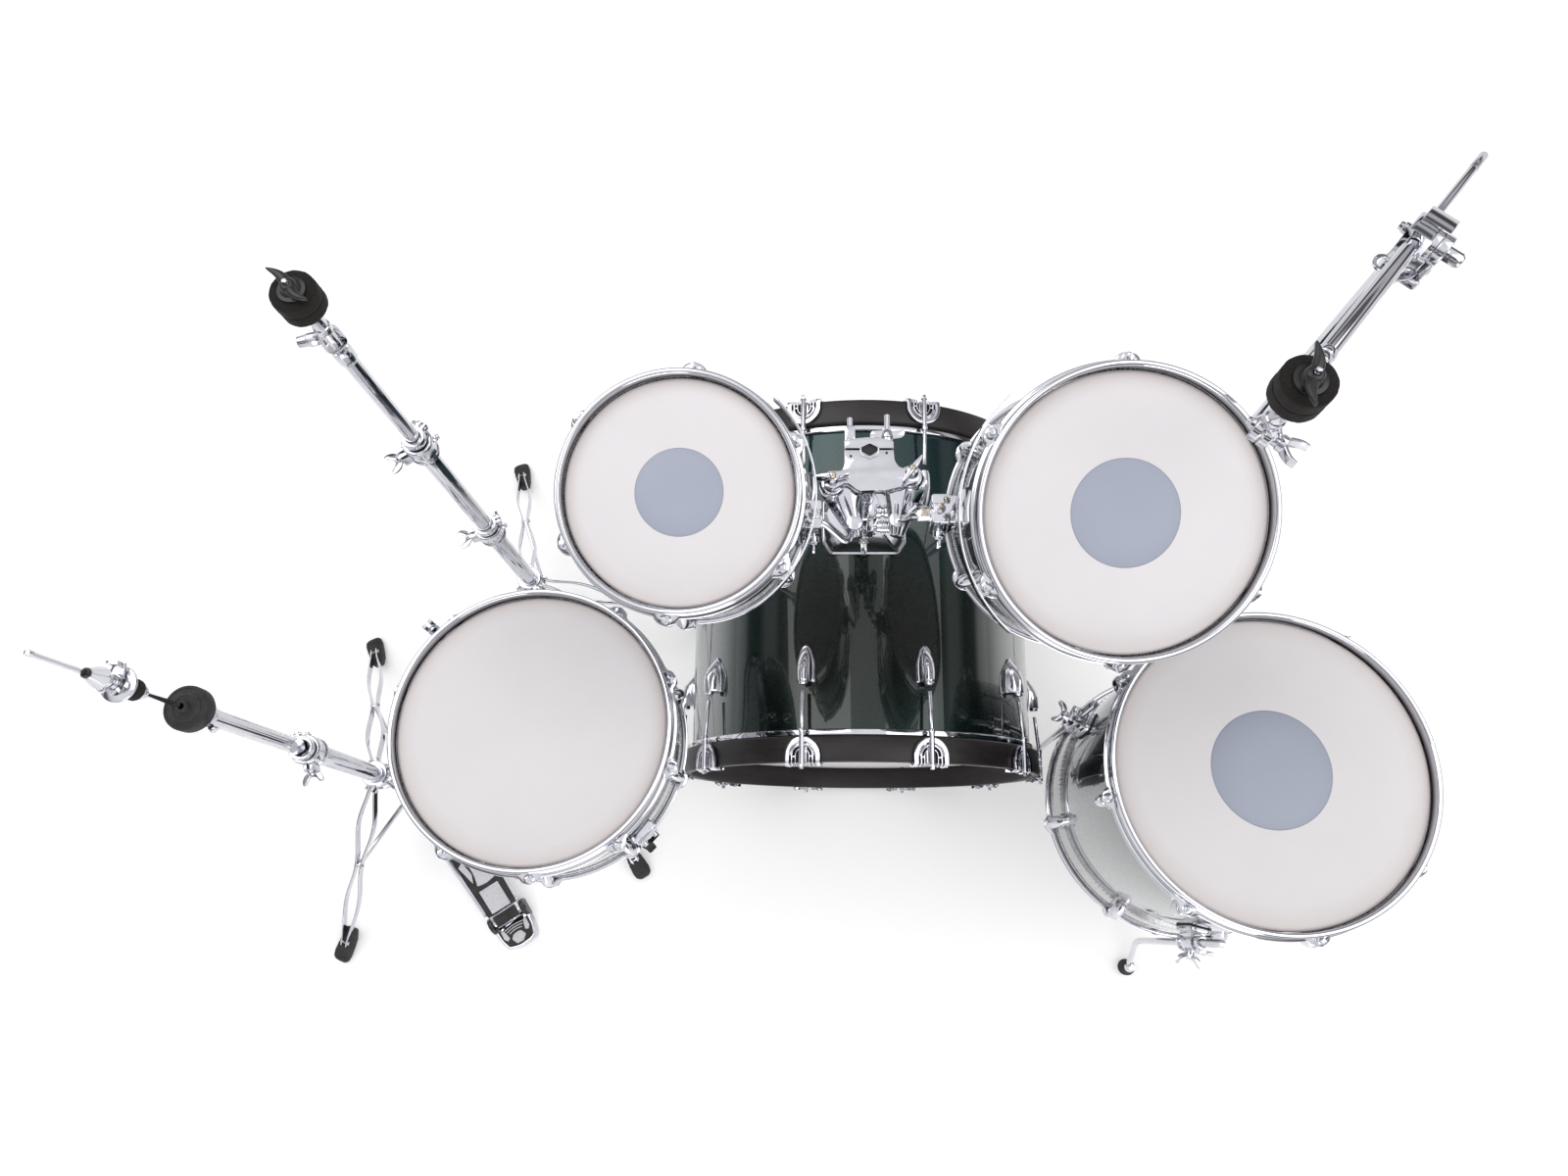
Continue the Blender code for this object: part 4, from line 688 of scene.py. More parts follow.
# ---------------------------------------------------------------- tom holder
PX, PY = 0.0632, 0.5760
BRIDGE_Z = 0.8560
ARM1, ARM2 = (0.0165, 0.5350), (0.1153, 0.5440)


def prism(rings):
    return lofted(rings)


# base block on the shell: a low four-sided roof with cut corners, then the collar with its key bolt
BX, BY = PX + 0.0038, PY + 0.0040
low = rounded([(BX - 0.049, BY - 0.046), (BX + 0.049, BY - 0.046), (BX + 0.060, BY - 0.028), (BX + 0.060, BY + 0.034), (BX + 0.049, BY + 0.044), (BX - 0.049, BY + 0.044),
               (BX - 0.060, BY + 0.034), (BX - 0.060, BY - 0.028)], 0.003, 3)
high = rounded([(BX - 0.0250, BY - 0.0370), (BX + 0.0250, BY - 0.0370), (BX + 0.0290, BY - 0.0330), (BX + 0.0290, BY + 0.024), (BX + 0.025, BY + 0.028), (BX - 0.025, BY + 0.028),
                (BX - 0.029, BY + 0.024), (BX - 0.029, BY - 0.0330)], 0.003, 3)


def on_shell(x, y):
    """Height of the bass drum's side at a place on the floor plan."""
    o, z = BM.translation, BM.to_3x3() @ Vector((0, 0, 1))
    lo, hi = 0.45, 0.75
    for _ in range(30):
        mid = (lo + hi) / 2
        v = Vector((x, y, mid)) - o
        if (v - z * v.dot(z)).length > BASS_R:
            hi = mid
        else:
            lo = mid
    return lo


skirt = [(x, y, on_shell(x, y) - 0.001) for x, y in low]
lip = [(x, y, on_shell(x, y) + 0.0065) for x, y in low]
base = [lofted([skirt, lip, [(x, y, 0.6400) for x, y in high]])]
base += [lofted([[(BX + (x - BX) * f, BY + (y - BY) * f, z + dz) for x, y, z in lip] for f, dz in ((1.00, -0.0075), (1.035, -0.0070), (1.045, -0.0045), (1.035, -0.0020), (1.0, -0.0008))])]
base += [stepped((PX, PY, 0.6360), (PX, PY, 0.6780), [(0, 0.0240), (0.020, 0.0235), (0.0225, 0.0215), (0.0290, 0.0215), (0.0320, 0.0232), (0.0400, 0.0232), (0.0420, 0.0215)], 40)]
jaw = [block((PX - 0.0085, PY - 0.0280, 0.6570), (0.0100, 0.0200, 0.0280), None, 0.002), block((PX + 0.0085, PY - 0.0280, 0.6570), (0.0100, 0.0200, 0.0280), None, 0.002)]
base += jaw
piece("tom_mount_block", "kit", "chrome", base, ["tom_mount_base"], bevel=0.0012, steps=3)
key = [stepped((PX, PY - 0.034, 0.6570), (PX, PY - 0.0520, 0.6570), [(0, 0.0046), (0.0080, 0.0046), (0.0080, 0.0066), (0.0115, 0.0066), (0.0130, 0.0050), (0.018, 0.0048)], 20),
       block((PX, PY - 0.0600, 0.6570), (0.0082, 0.0180, 0.0082), None, 0.0008),
       rod((PX - 0.0200, PY - 0.0285, 0.6570), (PX + 0.0200, PY - 0.0285, 0.6570), 0.0034, 16)]
piece("tom_mount_key_bolt", "kit", "chrome", key)
piece("tom_mount_key_washer", "kit", "brass_screw", [stepped((PX, PY - 0.0500, 0.6570), (PX, PY - 0.0525, 0.6570), [(0, 0.0070), (0.0018, 0.0070), (0.0025, 0.0060)], 20)])

post = [turned([(0.0127, 0.500), (0.0127, 0.8630), (0.0121, 0.8638), (0.0104, 0.8638), (0.0104, 0.500)], 40, Vector((PX, PY, 0)))]
post += [turned([(0.0127, z), (0.0132, z + 0.0006), (0.0132, z + 0.0030), (0.0127, z + 0.0036)], 40, Vector((PX, PY, 0))) for z in (0.700, 0.775)]
piece("tom_post", "tom_holder", "chrome", post, ["tom_mount_post"])

# the cast bridge: an outline with two ears for the arms' bolts, and a clamp bar behind the post
left_edge, right_edge = PX - 0.0315, PX + 0.0300
outline = [(left_edge, PY - 0.0010), (left_edge, PY - 0.0200), (PX - 0.0345, PY - 0.0285), (ARM1[0] + 0.0060, ARM1[1] + 0.0115), (ARM1[0] - 0.0040, ARM1[1] + 0.0120),
           (ARM1[0] - 0.0115, ARM1[1] + 0.0060), (ARM1[0] - 0.0110, ARM1[1] - 0.0070), (ARM1[0] + 0.0010, ARM1[1] - 0.0125), (PX - 0.0290, PY - 0.0440), (PX - 0.0180, PY - 0.0535),
           (PX - 0.0130, PY - 0.0560), (PX + 0.0190, PY - 0.0545), (PX + 0.0290, PY - 0.0530), (PX + 0.0410, PY - 0.0500), (ARM2[0] + 0.0060, ARM2[1] - 0.0120),
           (ARM2[0] + 0.0118, ARM2[1] - 0.0040), (ARM2[0] + 0.0090, ARM2[1] + 0.0070), (ARM2[0] + 0.0010, ARM2[1] + 0.0085), (PX + 0.0440, PY - 0.0265), (PX + 0.0360, PY - 0.0240),
           (right_edge + 0.0008, PY - 0.0150), (right_edge, PY - 0.0010)]
smooth = rounded(outline, [0.0010, 0.004, 0.004, 0.004, 0.004, 0.004, 0.004, 0.004, 0.004, 0.004, 0.003, 0.003, 0.004, 0.004, 0.004, 0.004, 0.004, 0.004, 0.004, 0.005, 0.004, 0.0010], 4)
# the post's V-shaped seat is left out of the plate's back edge
notch = [(PX + 0.0120, PY - 0.0010), (PX + 0.0015, PY - 0.0085), (PX - 0.0015, PY - 0.0085), (PX - 0.0130, PY - 0.0010)]
plate_outline = smooth + notch
bridge = [extruded(plate_outline, 0.0105, low=BRIDGE_Z - 0.0030)]
bar = rounded([(left_edge, PY + 0.0014), (PX - 0.0125, PY + 0.0014), (PX, PY + 0.0080), (PX + 0.0120, PY + 0.0014), (right_edge, PY + 0.0014), (right_edge, PY + 0.0110),
               (PX + 0.0170, PY + 0.0148), (PX, PY + 0.0166), (PX - 0.0190, PY + 0.0148), (left_edge, PY + 0.0110)], [0.001, 0.001, 0.002, 0.001, 0.001, 0.003, 0.006, 0.006, 0.006, 0.003], 4)
bridge += [extruded(bar, 0.0250, low=BRIDGE_Z - 0.0165)]
for sx_ in (-1, 1):
    bridge.append(extruded(rounded([(PX + sx_ * 0.0140, PY - 0.0010), (PX + sx_ * 0.0290, PY - 0.0010), (PX + sx_ * 0.0270, PY - 0.0240), (PX + sx_ * 0.0150, PY - 0.0300)], 0.002, 3), 0.0220, low=BRIDGE_Z - 0.0240))
bridge.append(extruded(rounded([(PX - 0.0250, PY - 0.0150), (PX + 0.0250, PY - 0.0150), (PX + 0.0220, PY - 0.0300), (PX - 0.0220, PY - 0.0300)], 0.003, 3), 0.0200, low=BRIDGE_Z - 0.0230))
# a raised seat round the post, two guide screws
bridge += [lofted([[(x, y, BRIDGE_Z + 0.0075) for x, y in rounded([(PX - 0.0115, PY - 0.0090), (PX, PY - 0.0145), (PX + 0.0115, PY - 0.0090), (PX + 0.0100, PY - 0.0080), (PX, PY - 0.0122), (PX - 0.0100, PY - 0.0080)], 0.0008, 2)],
                   [(x, y, BRIDGE_Z + 0.0084) for x, y in rounded([(PX - 0.0108, PY - 0.0090), (PX, PY - 0.0140), (PX + 0.0108, PY - 0.0090), (PX + 0.0103, PY - 0.0084), (PX, PY - 0.0127), (PX - 0.0103, PY - 0.0084)], 0.0006, 2)]])]
piece("tom_bridge_casting", "tom_holder", "chrome", bridge, ["tom_mount_bridge"], bevel=0.0009, steps=3)
piece("tom_bridge_post_liner", "tom_holder", "black_plastic", [turned([(0.0104, 0.8480), (0.0104, 0.8600), (0, 0.8600), (0, 0.8480)], 32, Vector((PX, PY, 0)))] +
      [rod((PX + x, PY + y, BRIDGE_Z + 0.0060), (PX + x, PY + y, BRIDGE_Z + 0.0079), 0.0017, 16) for x, y in ((-0.0238, -0.0092), (0.0212, -0.0050))], bevel=0)
studs = []
for x, y in ((-0.0245, 0.0470), (0.0228, 0.0510)):
    p = Vector((PX + x, PY + 0.0110, BRIDGE_Z - 0.0010))
    studs.append(threaded(p, (p.x, PY + y, p.z), 0.0036, 0.0012))
studs.append(block((PX - 0.0245, PY + 0.0235, BRIDGE_Z - 0.0010), (0.0128, 0.0210, 0.0128), None, 0.002))
studs.append(stepped((PX - 0.0245, PY + 0.0120, BRIDGE_Z - 0.0010), (PX - 0.0245, PY + 0.0155, BRIDGE_Z - 0.0010), [(0, 0.0075), (0.0030, 0.0075)], 24))
bw = Matrix.Translation((PX + 0.0228, PY + 0.0235, BRIDGE_Z + 0.0000)) @ Matrix.Rotation(-0.05, 4, "Y")
wide = rounded([(-0.0225, -0.0030), (-0.0060, -0.0058), (0.0060, -0.0058), (0.0190, -0.0042), (0.0225, 0.0010), (0.0210, 0.0058), (0.0060, 0.0050), (-0.0060, 0.0050), (-0.0200, 0.0050)], 0.003, 4)
studs.append(extruded(wide, 0.0055, bw @ Matrix.Rotation(0.35, 4, "X")))
studs.append(stepped((PX + 0.0228, PY + 0.0130, BRIDGE_Z - 0.0010), (PX + 0.0228, PY + 0.0330, BRIDGE_Z - 0.0010), [(0, 0.0068), (0.0045, 0.0068), (0.0055, 0.0078), (0.0140, 0.0078), (0.0170, 0.0060)], 24))
piece("tom_bridge_clamp_bolts", "tom_holder", "chrome", studs, bevel=0.0005)


def fluted_arm(name, body, at, top, tip, lean, flutes):
    """A cast arm: a broad ribbed petal that narrows and drops from under the bridge to its tip."""
    top, tip = [Vector(p) for p in top], [Vector(p) for p in tip]
    rows, cols, thick = 12, 25, 0.0130
    rings = []
    for i in range(rows + 1):
        v = i / rows
        w = v * v * (3 - 2 * v) * 0.35 + v * 0.65
        a, b = top[0].lerp(tip[0], w), top[1].lerp(tip[1], v * 0.85 + w * 0.15)
        upper, lower = [], []
        for j in range(cols + 1):
            u = j / cols
            p = a.lerp(b, u)
            crown = 0.0055 * math.sin(PI * u) * (1 - 0.2 * v)
            rib = 0.0022 * (abs(math.sin(PI * flutes * u)) ** 0.7) * min(1.0, v * 2.2) * (1 if 0.02 < u < 0.98 else 0)
            upper.append(p + Vector((0, -0.001 * v, crown + rib)))
            lower.append(p + Vector((0, 0, -thick * (1 - 0.35 * v) * (math.sin(PI * u) ** 0.4 if 0 < u < 1 else 0.15))))
        rings.append(upper + list(reversed(lower)))
    x, y = at
    z = BRIDGE_Z - 0.0045
    hub = turned([(0, 0), (0.0135, 0), (0.0160, -0.0020), (0.0175, -0.0080), (0.0160, -0.0180), (0.0120, -0.0225), (0, -0.0225)], 40, (x, y, z - 0.0010))
    parts = [lofted(rings), hub, turned([(0.0080, -0.0220), (0.0090, -0.0235), (0.0078, -0.0290), (0, -0.0300), (0, -0.0220)], 24, (x, y, z))]
    return piece(name, body, "chrome", parts, bevel=0.0006)


ZP = BRIDGE_Z - 0.0060
fluted_arm("tom1_holder_arm_casting", "tom1_holder_arm", ARM1, [(-0.0020, 0.5300, ZP - 0.010), (0.0530, 0.5320, ZP - 0.004)], [(0.0395, 0.4700, ZP - 0.026), (0.0560, 0.4745, ZP - 0.026)], 0, 2.0)
fluted_arm("tom2_holder_arm_casting", "tom2_holder_arm", ARM2, [(0.0820, 0.5340, ZP - 0.004), (0.1330, 0.5300, ZP - 0.010)], [(0.0890, 0.4760, ZP - 0.026), (0.1060, 0.4730, ZP - 0.026)], 0, 3.0)


def arm_fittings(n, at, wing_deg, tip, pivot, sign):
    """The bolt that locks an arm's swivel, and the rod from the arm's underside into the tom's bracket."""
    x, y = at
    body = f"tom{n}_holder_arm"
    base_z = BRIDGE_Z + 0.0078
    m = Matrix.Translation((x, y, 0)) @ Matrix.Rotation(math.radians(wing_deg), 4, "Z")
    lay = rounded([(-0.0215, -0.0012), (-0.0070, -0.0036), (0.0070, -0.0036), (0.0205, -0.0014), (0.0215, 0.0010), (0.0070, 0.0036), (-0.0070, 0.0036), (-0.0215, 0.0012)], 0.0016, 3)
    bolt = [lofted([[(px_, py_, base_z + 0.0030) for px_, py_ in lay], [(px_, py_ * 0.75, base_z + 0.0160) for px_, py_ in lay]]),
            turned([(0.0040, -0.0300), (0.0040, 0.0), (0.0085, 0.0), (0.0085, 0.0022), (0.0066, 0.0034), (0.0062, 0.0100), (0, 0.0110), (0, -0.0300)], 28, (x, y, base_z))]
    bolt = [moved(moved(bolt[0], m), None), bolt[1]]
    piece(f"tom{n}_arm_wing_bolt", body, "chrome", bolt, bevel=0.0006)
    piece(f"tom{n}_arm_brass_nut", body, "brass_screw", [turned([(0, 0), (0.0050, 0), (0.0050, 0.0045), (0.0038, 0.0062), (0, 0.0062)], 6, (x, y, base_z + 0.0110))], bevel=0.0003)
    px_, py_, pz_ = pivot
    z = ZP - 0.0300
    seat = Vector((tip[0], tip[1] + 0.0080, z + 0.0060))
    start = Vector((px_ - sign * 0.0080, py_, pz_))
    if n == 1:
        path = bent([start, Vector((0.0060, py_ - 0.0005, pz_ - 0.0060)), Vector((0.0342, 0.4594, 0.8400)), seat], 0.010, 8)
    else:
        path = bent([start, Vector((0.1150, py_ + 0.0020, pz_ - 0.0060)), Vector((0.1060, 0.4820, 0.8640)), seat], 0.008, 8)
    parts = [swept(path, round_section(0.0050, 18), (0, 1, 0))]
    if n == 2:
        # a hexagonal stub with a flat bar beside it
        parts += [stepped(Vector((0.1345, py_, pz_)), Vector((0.1180, py_, pz_ - 0.0030)), [(0, 0.0078), (0.0165, 0.0078)], 6),
                  swept([Vector((0.1205, 0.4960, 0.8760)), Vector((0.1400, 0.4815, 0.8860))], flat(0.0036, 0.0060, 0.0010), (0, 0, 1)),
                  swept([Vector((0.1190, 0.4970, 0.8760)), Vector((0.1120, 0.4960, 0.8600)), Vector((0.1080, 0.4900, 0.8500))], flat(0.0036, 0.0060, 0.0010), (0, 1, 0))]
        piece("tom2_arm_brass_cap", body, "brass_screw", [block((0.1262, py_, pz_ + 0.0062), (0.0110, 0.0098, 0.0016), None, 0.0006)], bevel=0.0003)
    # the ball and its two cheeks on the rod, under the arm's tip
    c = Vector((tip[0], tip[1] + 0.0080, z + 0.0020))
    parts += [ball(c, 0.0105, 24, 12), stepped(c + Vector((0, 0, 0.002)), c + Vector((0, 0, 0.0160)), [(0, 0.0085), (0.0140, 0.0100)], 24)]
    piece(f"tom{n}_arm_rod", body, "chrome", parts, [f"tom{n}_arm"], bevel=0.0004)


TOM1_PIVOT, TOM2_PIVOT = (-0.0120, 0.4800, 0.8660), (0.1480, 0.4760, 0.8950)
arm_fittings(1, ARM1, 4, (0.0440, 0.4800), TOM1_PIVOT, 1)
arm_fittings(2, ARM2, 55, (0.0980, 0.4840), TOM2_PIVOT, -1)
# the ribbed side bolt of the second arm, beside the post
bolt = [stepped((0.0885, 0.5080, 0.8240), (0.0700, 0.5080, 0.8240), [(0, 0.0088), (0.0060, 0.0088), (0.0070, 0.0070), (0.0100, 0.0070), (0.0105, 0.0090), (0.0160, 0.0090), (0.0180, 0.0060)], 24)]
bolt += [stepped((0.0780 + 0.0030 * k, 0.4900, 0.8160), (0.0795 + 0.0030 * k, 0.4900, 0.8160), [(0, 0.0082), (0.0015, 0.0082)], 20) for k in range(4)]
bolt += [rod((0.0730, 0.4900, 0.8160), (0.0920, 0.4900, 0.8160), 0.0068, 20)]
piece("tom2_arm_side_bolt", "tom2_holder_arm", "chrome", bolt, bevel=0.0004)


# the brackets on the toms: ribbed chrome castings that grip the rods
def tom_bracket(n, face, pivot, sign):
    x, y, z = pivot
    body = f"tom{n}"
    inner = face - sign * 0.0030
    outer = x + sign * 0.0150
    cx = (inner + outer) / 2
    w = abs(outer - inner)
    parts = []
    # foot on the shell, body, two jaws either side of the rod with a slot between them
    parts.append(block((inner + sign * 0.0040, y, z), (0.0080, 0.0430, 0.0560), None, 0.003))
    parts.append(block((cx - sign * 0.0040, y, z), (w - 0.0080, 0.0330, 0.0400), None, 0.003))
    for dy in (-0.0118, 0.0118):
        parts.append(block((outer - sign * 0.0110, y + dy, z), (0.0220, 0.0120, 0.0430), None, 0.0035))
    parts.append(pipe((outer - sign * 0.0240, y, z), (outer + sign * 0.0012, y, z), 0.0105, 0.0057, 28))
    parts += [block((outer - sign * 0.0075, y, z + sz * 0.0165), (0.0110, 0.0340, 0.0070), None, 0.002) for sz in (-1, 1)]
    # clamp screw across the jaws, its square head on top
    parts += [stepped((outer - sign * 0.0100, y, z + 0.0190), (outer - sign * 0.0100, y, z + 0.0290), [(0, 0.0064), (0.0030, 0.0064), (0.0030, 0.0048), (0.0050, 0.0048)], 20)]
    parts += wing_bolt((outer - sign * 0.0100, y - 0.0170, z - 0.0040), (0, -1, -0.25), (0, 0, 1), 0.013, 0.013, stem=0.010)
    piece(f"tom{n}_bracket_casting", body, "chrome", parts, bevel=0.0007, steps=3)
    piece(f"tom{n}_bracket_gasket", body, "black_rubber", [block((inner - sign * 0.0004, y, z), (0.0030, 0.0460, 0.0590), None, 0.004)])
    piece(f"tom{n}_bracket_screw", body, "brass_screw", [block((outer - sign * 0.0100, y, z + 0.0268), (0.0060, 0.0060, 0.0075), None, 0.0007),
                                                       ball((outer - sign * 0.0170, y + 0.0110, z + 0.0212), 0.0036, 14, 7)])


tom_bracket(1, -0.1528 + TOM1_R, TOM1_PIVOT, 1)
tom_bracket(2, 0.3235 - TOM2_R, TOM2_PIVOT, -1)


def suspension(n, m, angles, r, at_angle, spread, slot_):
    """The steel band that hangs a tom from its hoop's rods, standing off the shell."""
    pts = []
    steps = 30
    for k in range(steps + 1):
        a = at_angle - spread + 2 * spread * k / steps
        pts.append(((r + 0.0225) * math.cos(a), (r + 0.0225) * math.sin(a), -0.0240))
    band = swept(pts, flat(0.0240, 0.0022), (0, 0, 1))
    parts = [moved(band, m)]
    for a in angles:
        d = (a - at_angle + PI) % (2 * PI) - PI
        if abs(d) < spread + 0.05:
            parts.append(block((0, 0, 0), (0.0180, 0.0160, 0.0020), around(m, a, r + 0.0150, -0.0135), 0.004))
            parts.append(block((0, 0, 0), (0.0022, 0.0160, 0.0110), around(m, a, r + 0.0228, -0.0185), 0.001))
    return parts


piece("tom1_suspension_band", "tom1", "chrome", suspension(1, TM1, A1, TOM1_R, math.radians(-5), math.radians(52), 0), bevel=0.0004)
piece("tom2_suspension_band", "tom2", "chrome", suspension(2, TM2, A2, TOM2_R, math.radians(180), math.radians(48), 0), bevel=0.0004)

# ---------------------------------------------------------------- floor tom legs
LEG_R, LEG_OUT = 0.0052, FLOOR_R + 0.0220
LEG_ANGLES = (-104, 152, 24)
FC = Vector((FLOOR_AT.x, FLOOR_AT.y, 0))
cast, gaskets = [], []
for deg in LEG_ANGLES:
    fm = Matrix.Translation(FC) @ Matrix.Rotation(math.radians(deg), 4, "Z")
    side_on = fm @ Matrix.Translation((FLOOR_R, 0, 0.4500)) @ Matrix.Rotation(PI / 2, 4, "Y") @ Matrix.Rotation(PI / 2, 4, "Z")
    cast.append(extruded(box_outline(0.0300, 0.0700, 0.0090, 5), 0.0070, side_on, low=0.0008))
    cast.append(block((FLOOR_R + 0.0103, 0, 0.4500), (0.0110, 0.0220, 0.0460), fm, 0.004))
    cast.append(pipe(fm @ Vector((LEG_OUT, 0, 0.4200)), fm @ Vector((LEG_OUT, 0, 0.4800)), 0.0112, LEG_R + 0.0006, 28))
    cast += [pipe(fm @ Vector((LEG_OUT, 0, z)), fm @ Vector((LEG_OUT, 0, z + 0.0050)), 0.0128, LEG_R + 0.0006, 28) for z in (0.4190, 0.4760)]
    cast += [ball(fm @ Vector((FLOOR_R + 0.0075, 0, z)), 0.0038, 14, 7) for z in (0.4230, 0.4770)]
    cast.append(stepped(fm @ Vector((LEG_OUT + 0.0080, 0, 0.4500)), fm @ Vector((LEG_OUT + 0.0160, 0, 0.4500)), [(0, 0.0080), (0.0050, 0.0080), (0.0060, 0.0064)], 6))
    cast += wing_bolt(fm @ Vector((FLOOR_R + 0.0330, 0, 0.4500)), fm.to_3x3() @ Vector((1, 0, 0)), fm.to_3x3() @ Vector((0, 1, 0.15)), 0.0180, 0.0150, stem=0.0070)
    # memory lock on the rod with its key screw
    cast.append(pipe(fm @ Vector((LEG_OUT, 0, 0.4890)), fm @ Vector((LEG_OUT, 0, 0.5010)), 0.0098, LEG_R + 0.0006, 28))
    cast.append(block((LEG_OUT + 0.0112, 0, 0.4950), (0.0100, 0.0120, 0.0110), fm, 0.002))
    cast.append(block((LEG_OUT + 0.0115, 0.0110, 0.4950), (0.0055, 0.0110, 0.0055), fm, 0.0006))
    gaskets.append(extruded(box_outline(0.0325, 0.0730, 0.0100, 5), 0.0018, side_on, low=-0.0004))
piece("floor_tom_leg_brackets", "kit", "chrome", cast, bevel=0.0006)
piece("floor_tom_bracket_gaskets", "kit", "black_rubber", gaskets)
for i, deg in enumerate(LEG_ANGLES):
    a = math.radians(deg)
    out = Vector((math.cos(a), math.sin(a), 0))
    top = FC + out * LEG_OUT
    ta = a + math.radians(37 if i == 0 else 30)
    go = Vector((math.cos(ta), math.sin(ta), 0))
    path = bent([top + Vector((0, 0, 0.575)), top + Vector((0, 0, 0.163)), top + go * 0.0440 + Vector((0, 0, 0.044)), top + go * 0.0510 + Vector((0, 0, 0.0240))], 0.030, 9)
    tip = top + go * 0.0510
    leg = [swept(path, round_section(LEG_R, 20), (-math.sin(a), math.cos(a), 0)), stepped(tip + Vector((0, 0, 0.0440)), tip + Vector((0, 0, 0.0260)), [(0, 0.0070), (0.0040, 0.0082), (0.0160, 0.0092)], 24)]
    leg += [turned([(LEG_R, 0), (LEG_R + 0.00035, 0.0004), (LEG_R + 0.00035, 0.0011), (LEG_R, 0.0015)], 20, top + Vector((0, 0, 0.515 + 0.004 * k))) for k in range(12)]
    piece(f"floor_tom_leg_rod_{i + 1}", f"floor_leg_{i + 1}", "chrome", leg, [f"floor_tom_leg_{i + 1}"], bevel=0.0004)
    foot = turned([(0, 0), (0.0092, 0.0), (0.0118, 0.0022), (0.0134, 0.0070), (0.0138, 0.0130), (0.0132, 0.0190), (0.0112, 0.0250), (0.0090, 0.0285), (0, 0.0290)], 32, tip)
    ribs = [turned([(0.0130, z), (0.0141, z + 0.0008), (0.0141, z + 0.0018), (0.0130, z + 0.0026)], 32, tip) for z in (0.0080, 0.0125, 0.0170)]
    piece(f"floor_tom_leg_foot_{i + 1}", f"floor_leg_{i + 1}", "black_rubber", [foot] + ribs, bevel=0)

# ---------------------------------------------------------------- snare: strainer, butt, wires
STR_A, BUTT_A = math.radians(138), math.radians(318)
sm1 = around(SM, STR_A, SNARE_R, -0.0700)
cast = [block((0.0065, 0, 0), (0.0150, 0.0300, 0.0620), sm1, 0.004), block((0.0150, 0, 0.0060), (0.0170, 0.0215, 0.0420), sm1, 0.004)]
cast += [block((0.0280, sg * 0.0111, -0.0150), (0.0200, 0.0040, 0.0170), sm1, 0.001) for sg in (-1, 1)]
cast += [stepped(sm1 @ Vector((0.0150, 0, 0.0260)), sm1 @ Vector((0.0150, 0, 0.0420)), [(0, 0.0072), (0.0110, 0.0072), (0.0130, 0.0060), (0.016, 0.0030)], 12)]
cast += [extruded([((0.0072 + 0.0006 * (k % 2)) * math.cos(PI * k / 15), (0.0072 + 0.0006 * (k % 2)) * math.sin(PI * k / 15)) for k in range(30)], 0.0090, sm1 @ Matrix.Translation((0.0150, 0, 0.0270)), low=0)]
cast += [ball(sm1 @ Vector((0.0142, 0, z)), 0.0034, 14, 7) for z in (-0.0260,)]
cast += [rod(sm1 @ Vector((0.0315, -0.0140, -0.0150)), sm1 @ Vector((0.0315, 0.0140, -0.0150)), 0.0024, 14)]
sm2 = around(SM, BUTT_A, SNARE_R, -0.0850)
cast += [block((0.0060, 0, 0), (0.0180, 0.0360, 0.0400), sm2, 0.005), block((0.0165, 0, -0.0100), (0.0060, 0.0300, 0.0140), sm2, 0.002)]
cast += [stepped(sm2 @ Vector((0.0180, y, -0.0100)), sm2 @ Vector((0.0240, y, -0.0100)), [(0, 0.0050), (0.0025, 0.0050), (0.0028, 0.0034), (0.006, 0.0032)], 16) for y in (-0.0090, 0.0090)]
cast += [stepped(around(SM, math.radians(228), SNARE_R, -0.0700) @ Vector((-0.001, 0, 0)), around(SM, math.radians(228), SNARE_R, -0.0700) @ Vector((0.0030, 0, 0)), [(0, 0.0085), (0.0014, 0.0085), (0.0028, 0.0060)], 28)]
piece("snare_strainer_and_butt", "snare", "chrome", cast, bevel=0.0006)
lm = around(SM, STR_A, SNARE_R + 0.0250, -0.0850)
path = spline([lm @ Vector(p) for p in ((0.0065, 0, -0.006), (0.0075, 0, 0.010), (0.0090, 0, 0.034), (0.0125, 0, 0.050))], 6)
n = len(path)
ly_ = (lm.to_3x3() @ Vector((0, 1, 0))).normalized()
lever = [swept(path, flat(0.0160, 0.0050, 0.0016), ly_, [1.0 - 0.22 * math.sin(PI * min(1, i / n * 1.3)) for i in range(n)]),
         rod(lm @ Vector((0.0065, -0.0086, 0)), lm @ Vector((0.0065, 0.0086, 0)), 0.0050, 24)]
for sg in (-1, 1):
    lever.append(swept(spline([lm @ Vector(p) + ly_ * sg * q for p, q in (((0.0115, 0, 0.046), 0.0036), ((0.0140, 0, 0.0535), 0.0048), ((0.0178, 0, 0.0580), 0.0054), ((0.0200, 0, 0.0590), 0.0050))], 5), flat(0.0052, 0.0044, 0.0012), ly_))
lever += [swept([lm @ Vector((0.0124, y, 0.020)), lm @ Vector((0.0142, y, 0.040))], flat(0.0016, 0.0016, 0.0003), ly_) for y in (-0.0030, 0, 0.0030)]
piece("snare_lever", "throw_off", "chrome", lever, ["snare_throw_off_lever"], bevel=0.0006)
wm = SM @ Matrix.Rotation(STR_A, 4, "Z") @ Matrix.Translation((0, 0, -SNARE_DEPTH - 0.0024))
strands = [threaded(wm @ Vector((-0.1500, -0.0190 + 0.0020 * k, 0)), wm @ Vector((0.1500, -0.0190 + 0.0020 * k, 0)), 0.00085, 0.0022, 0.00030, 6) for k in range(20)]
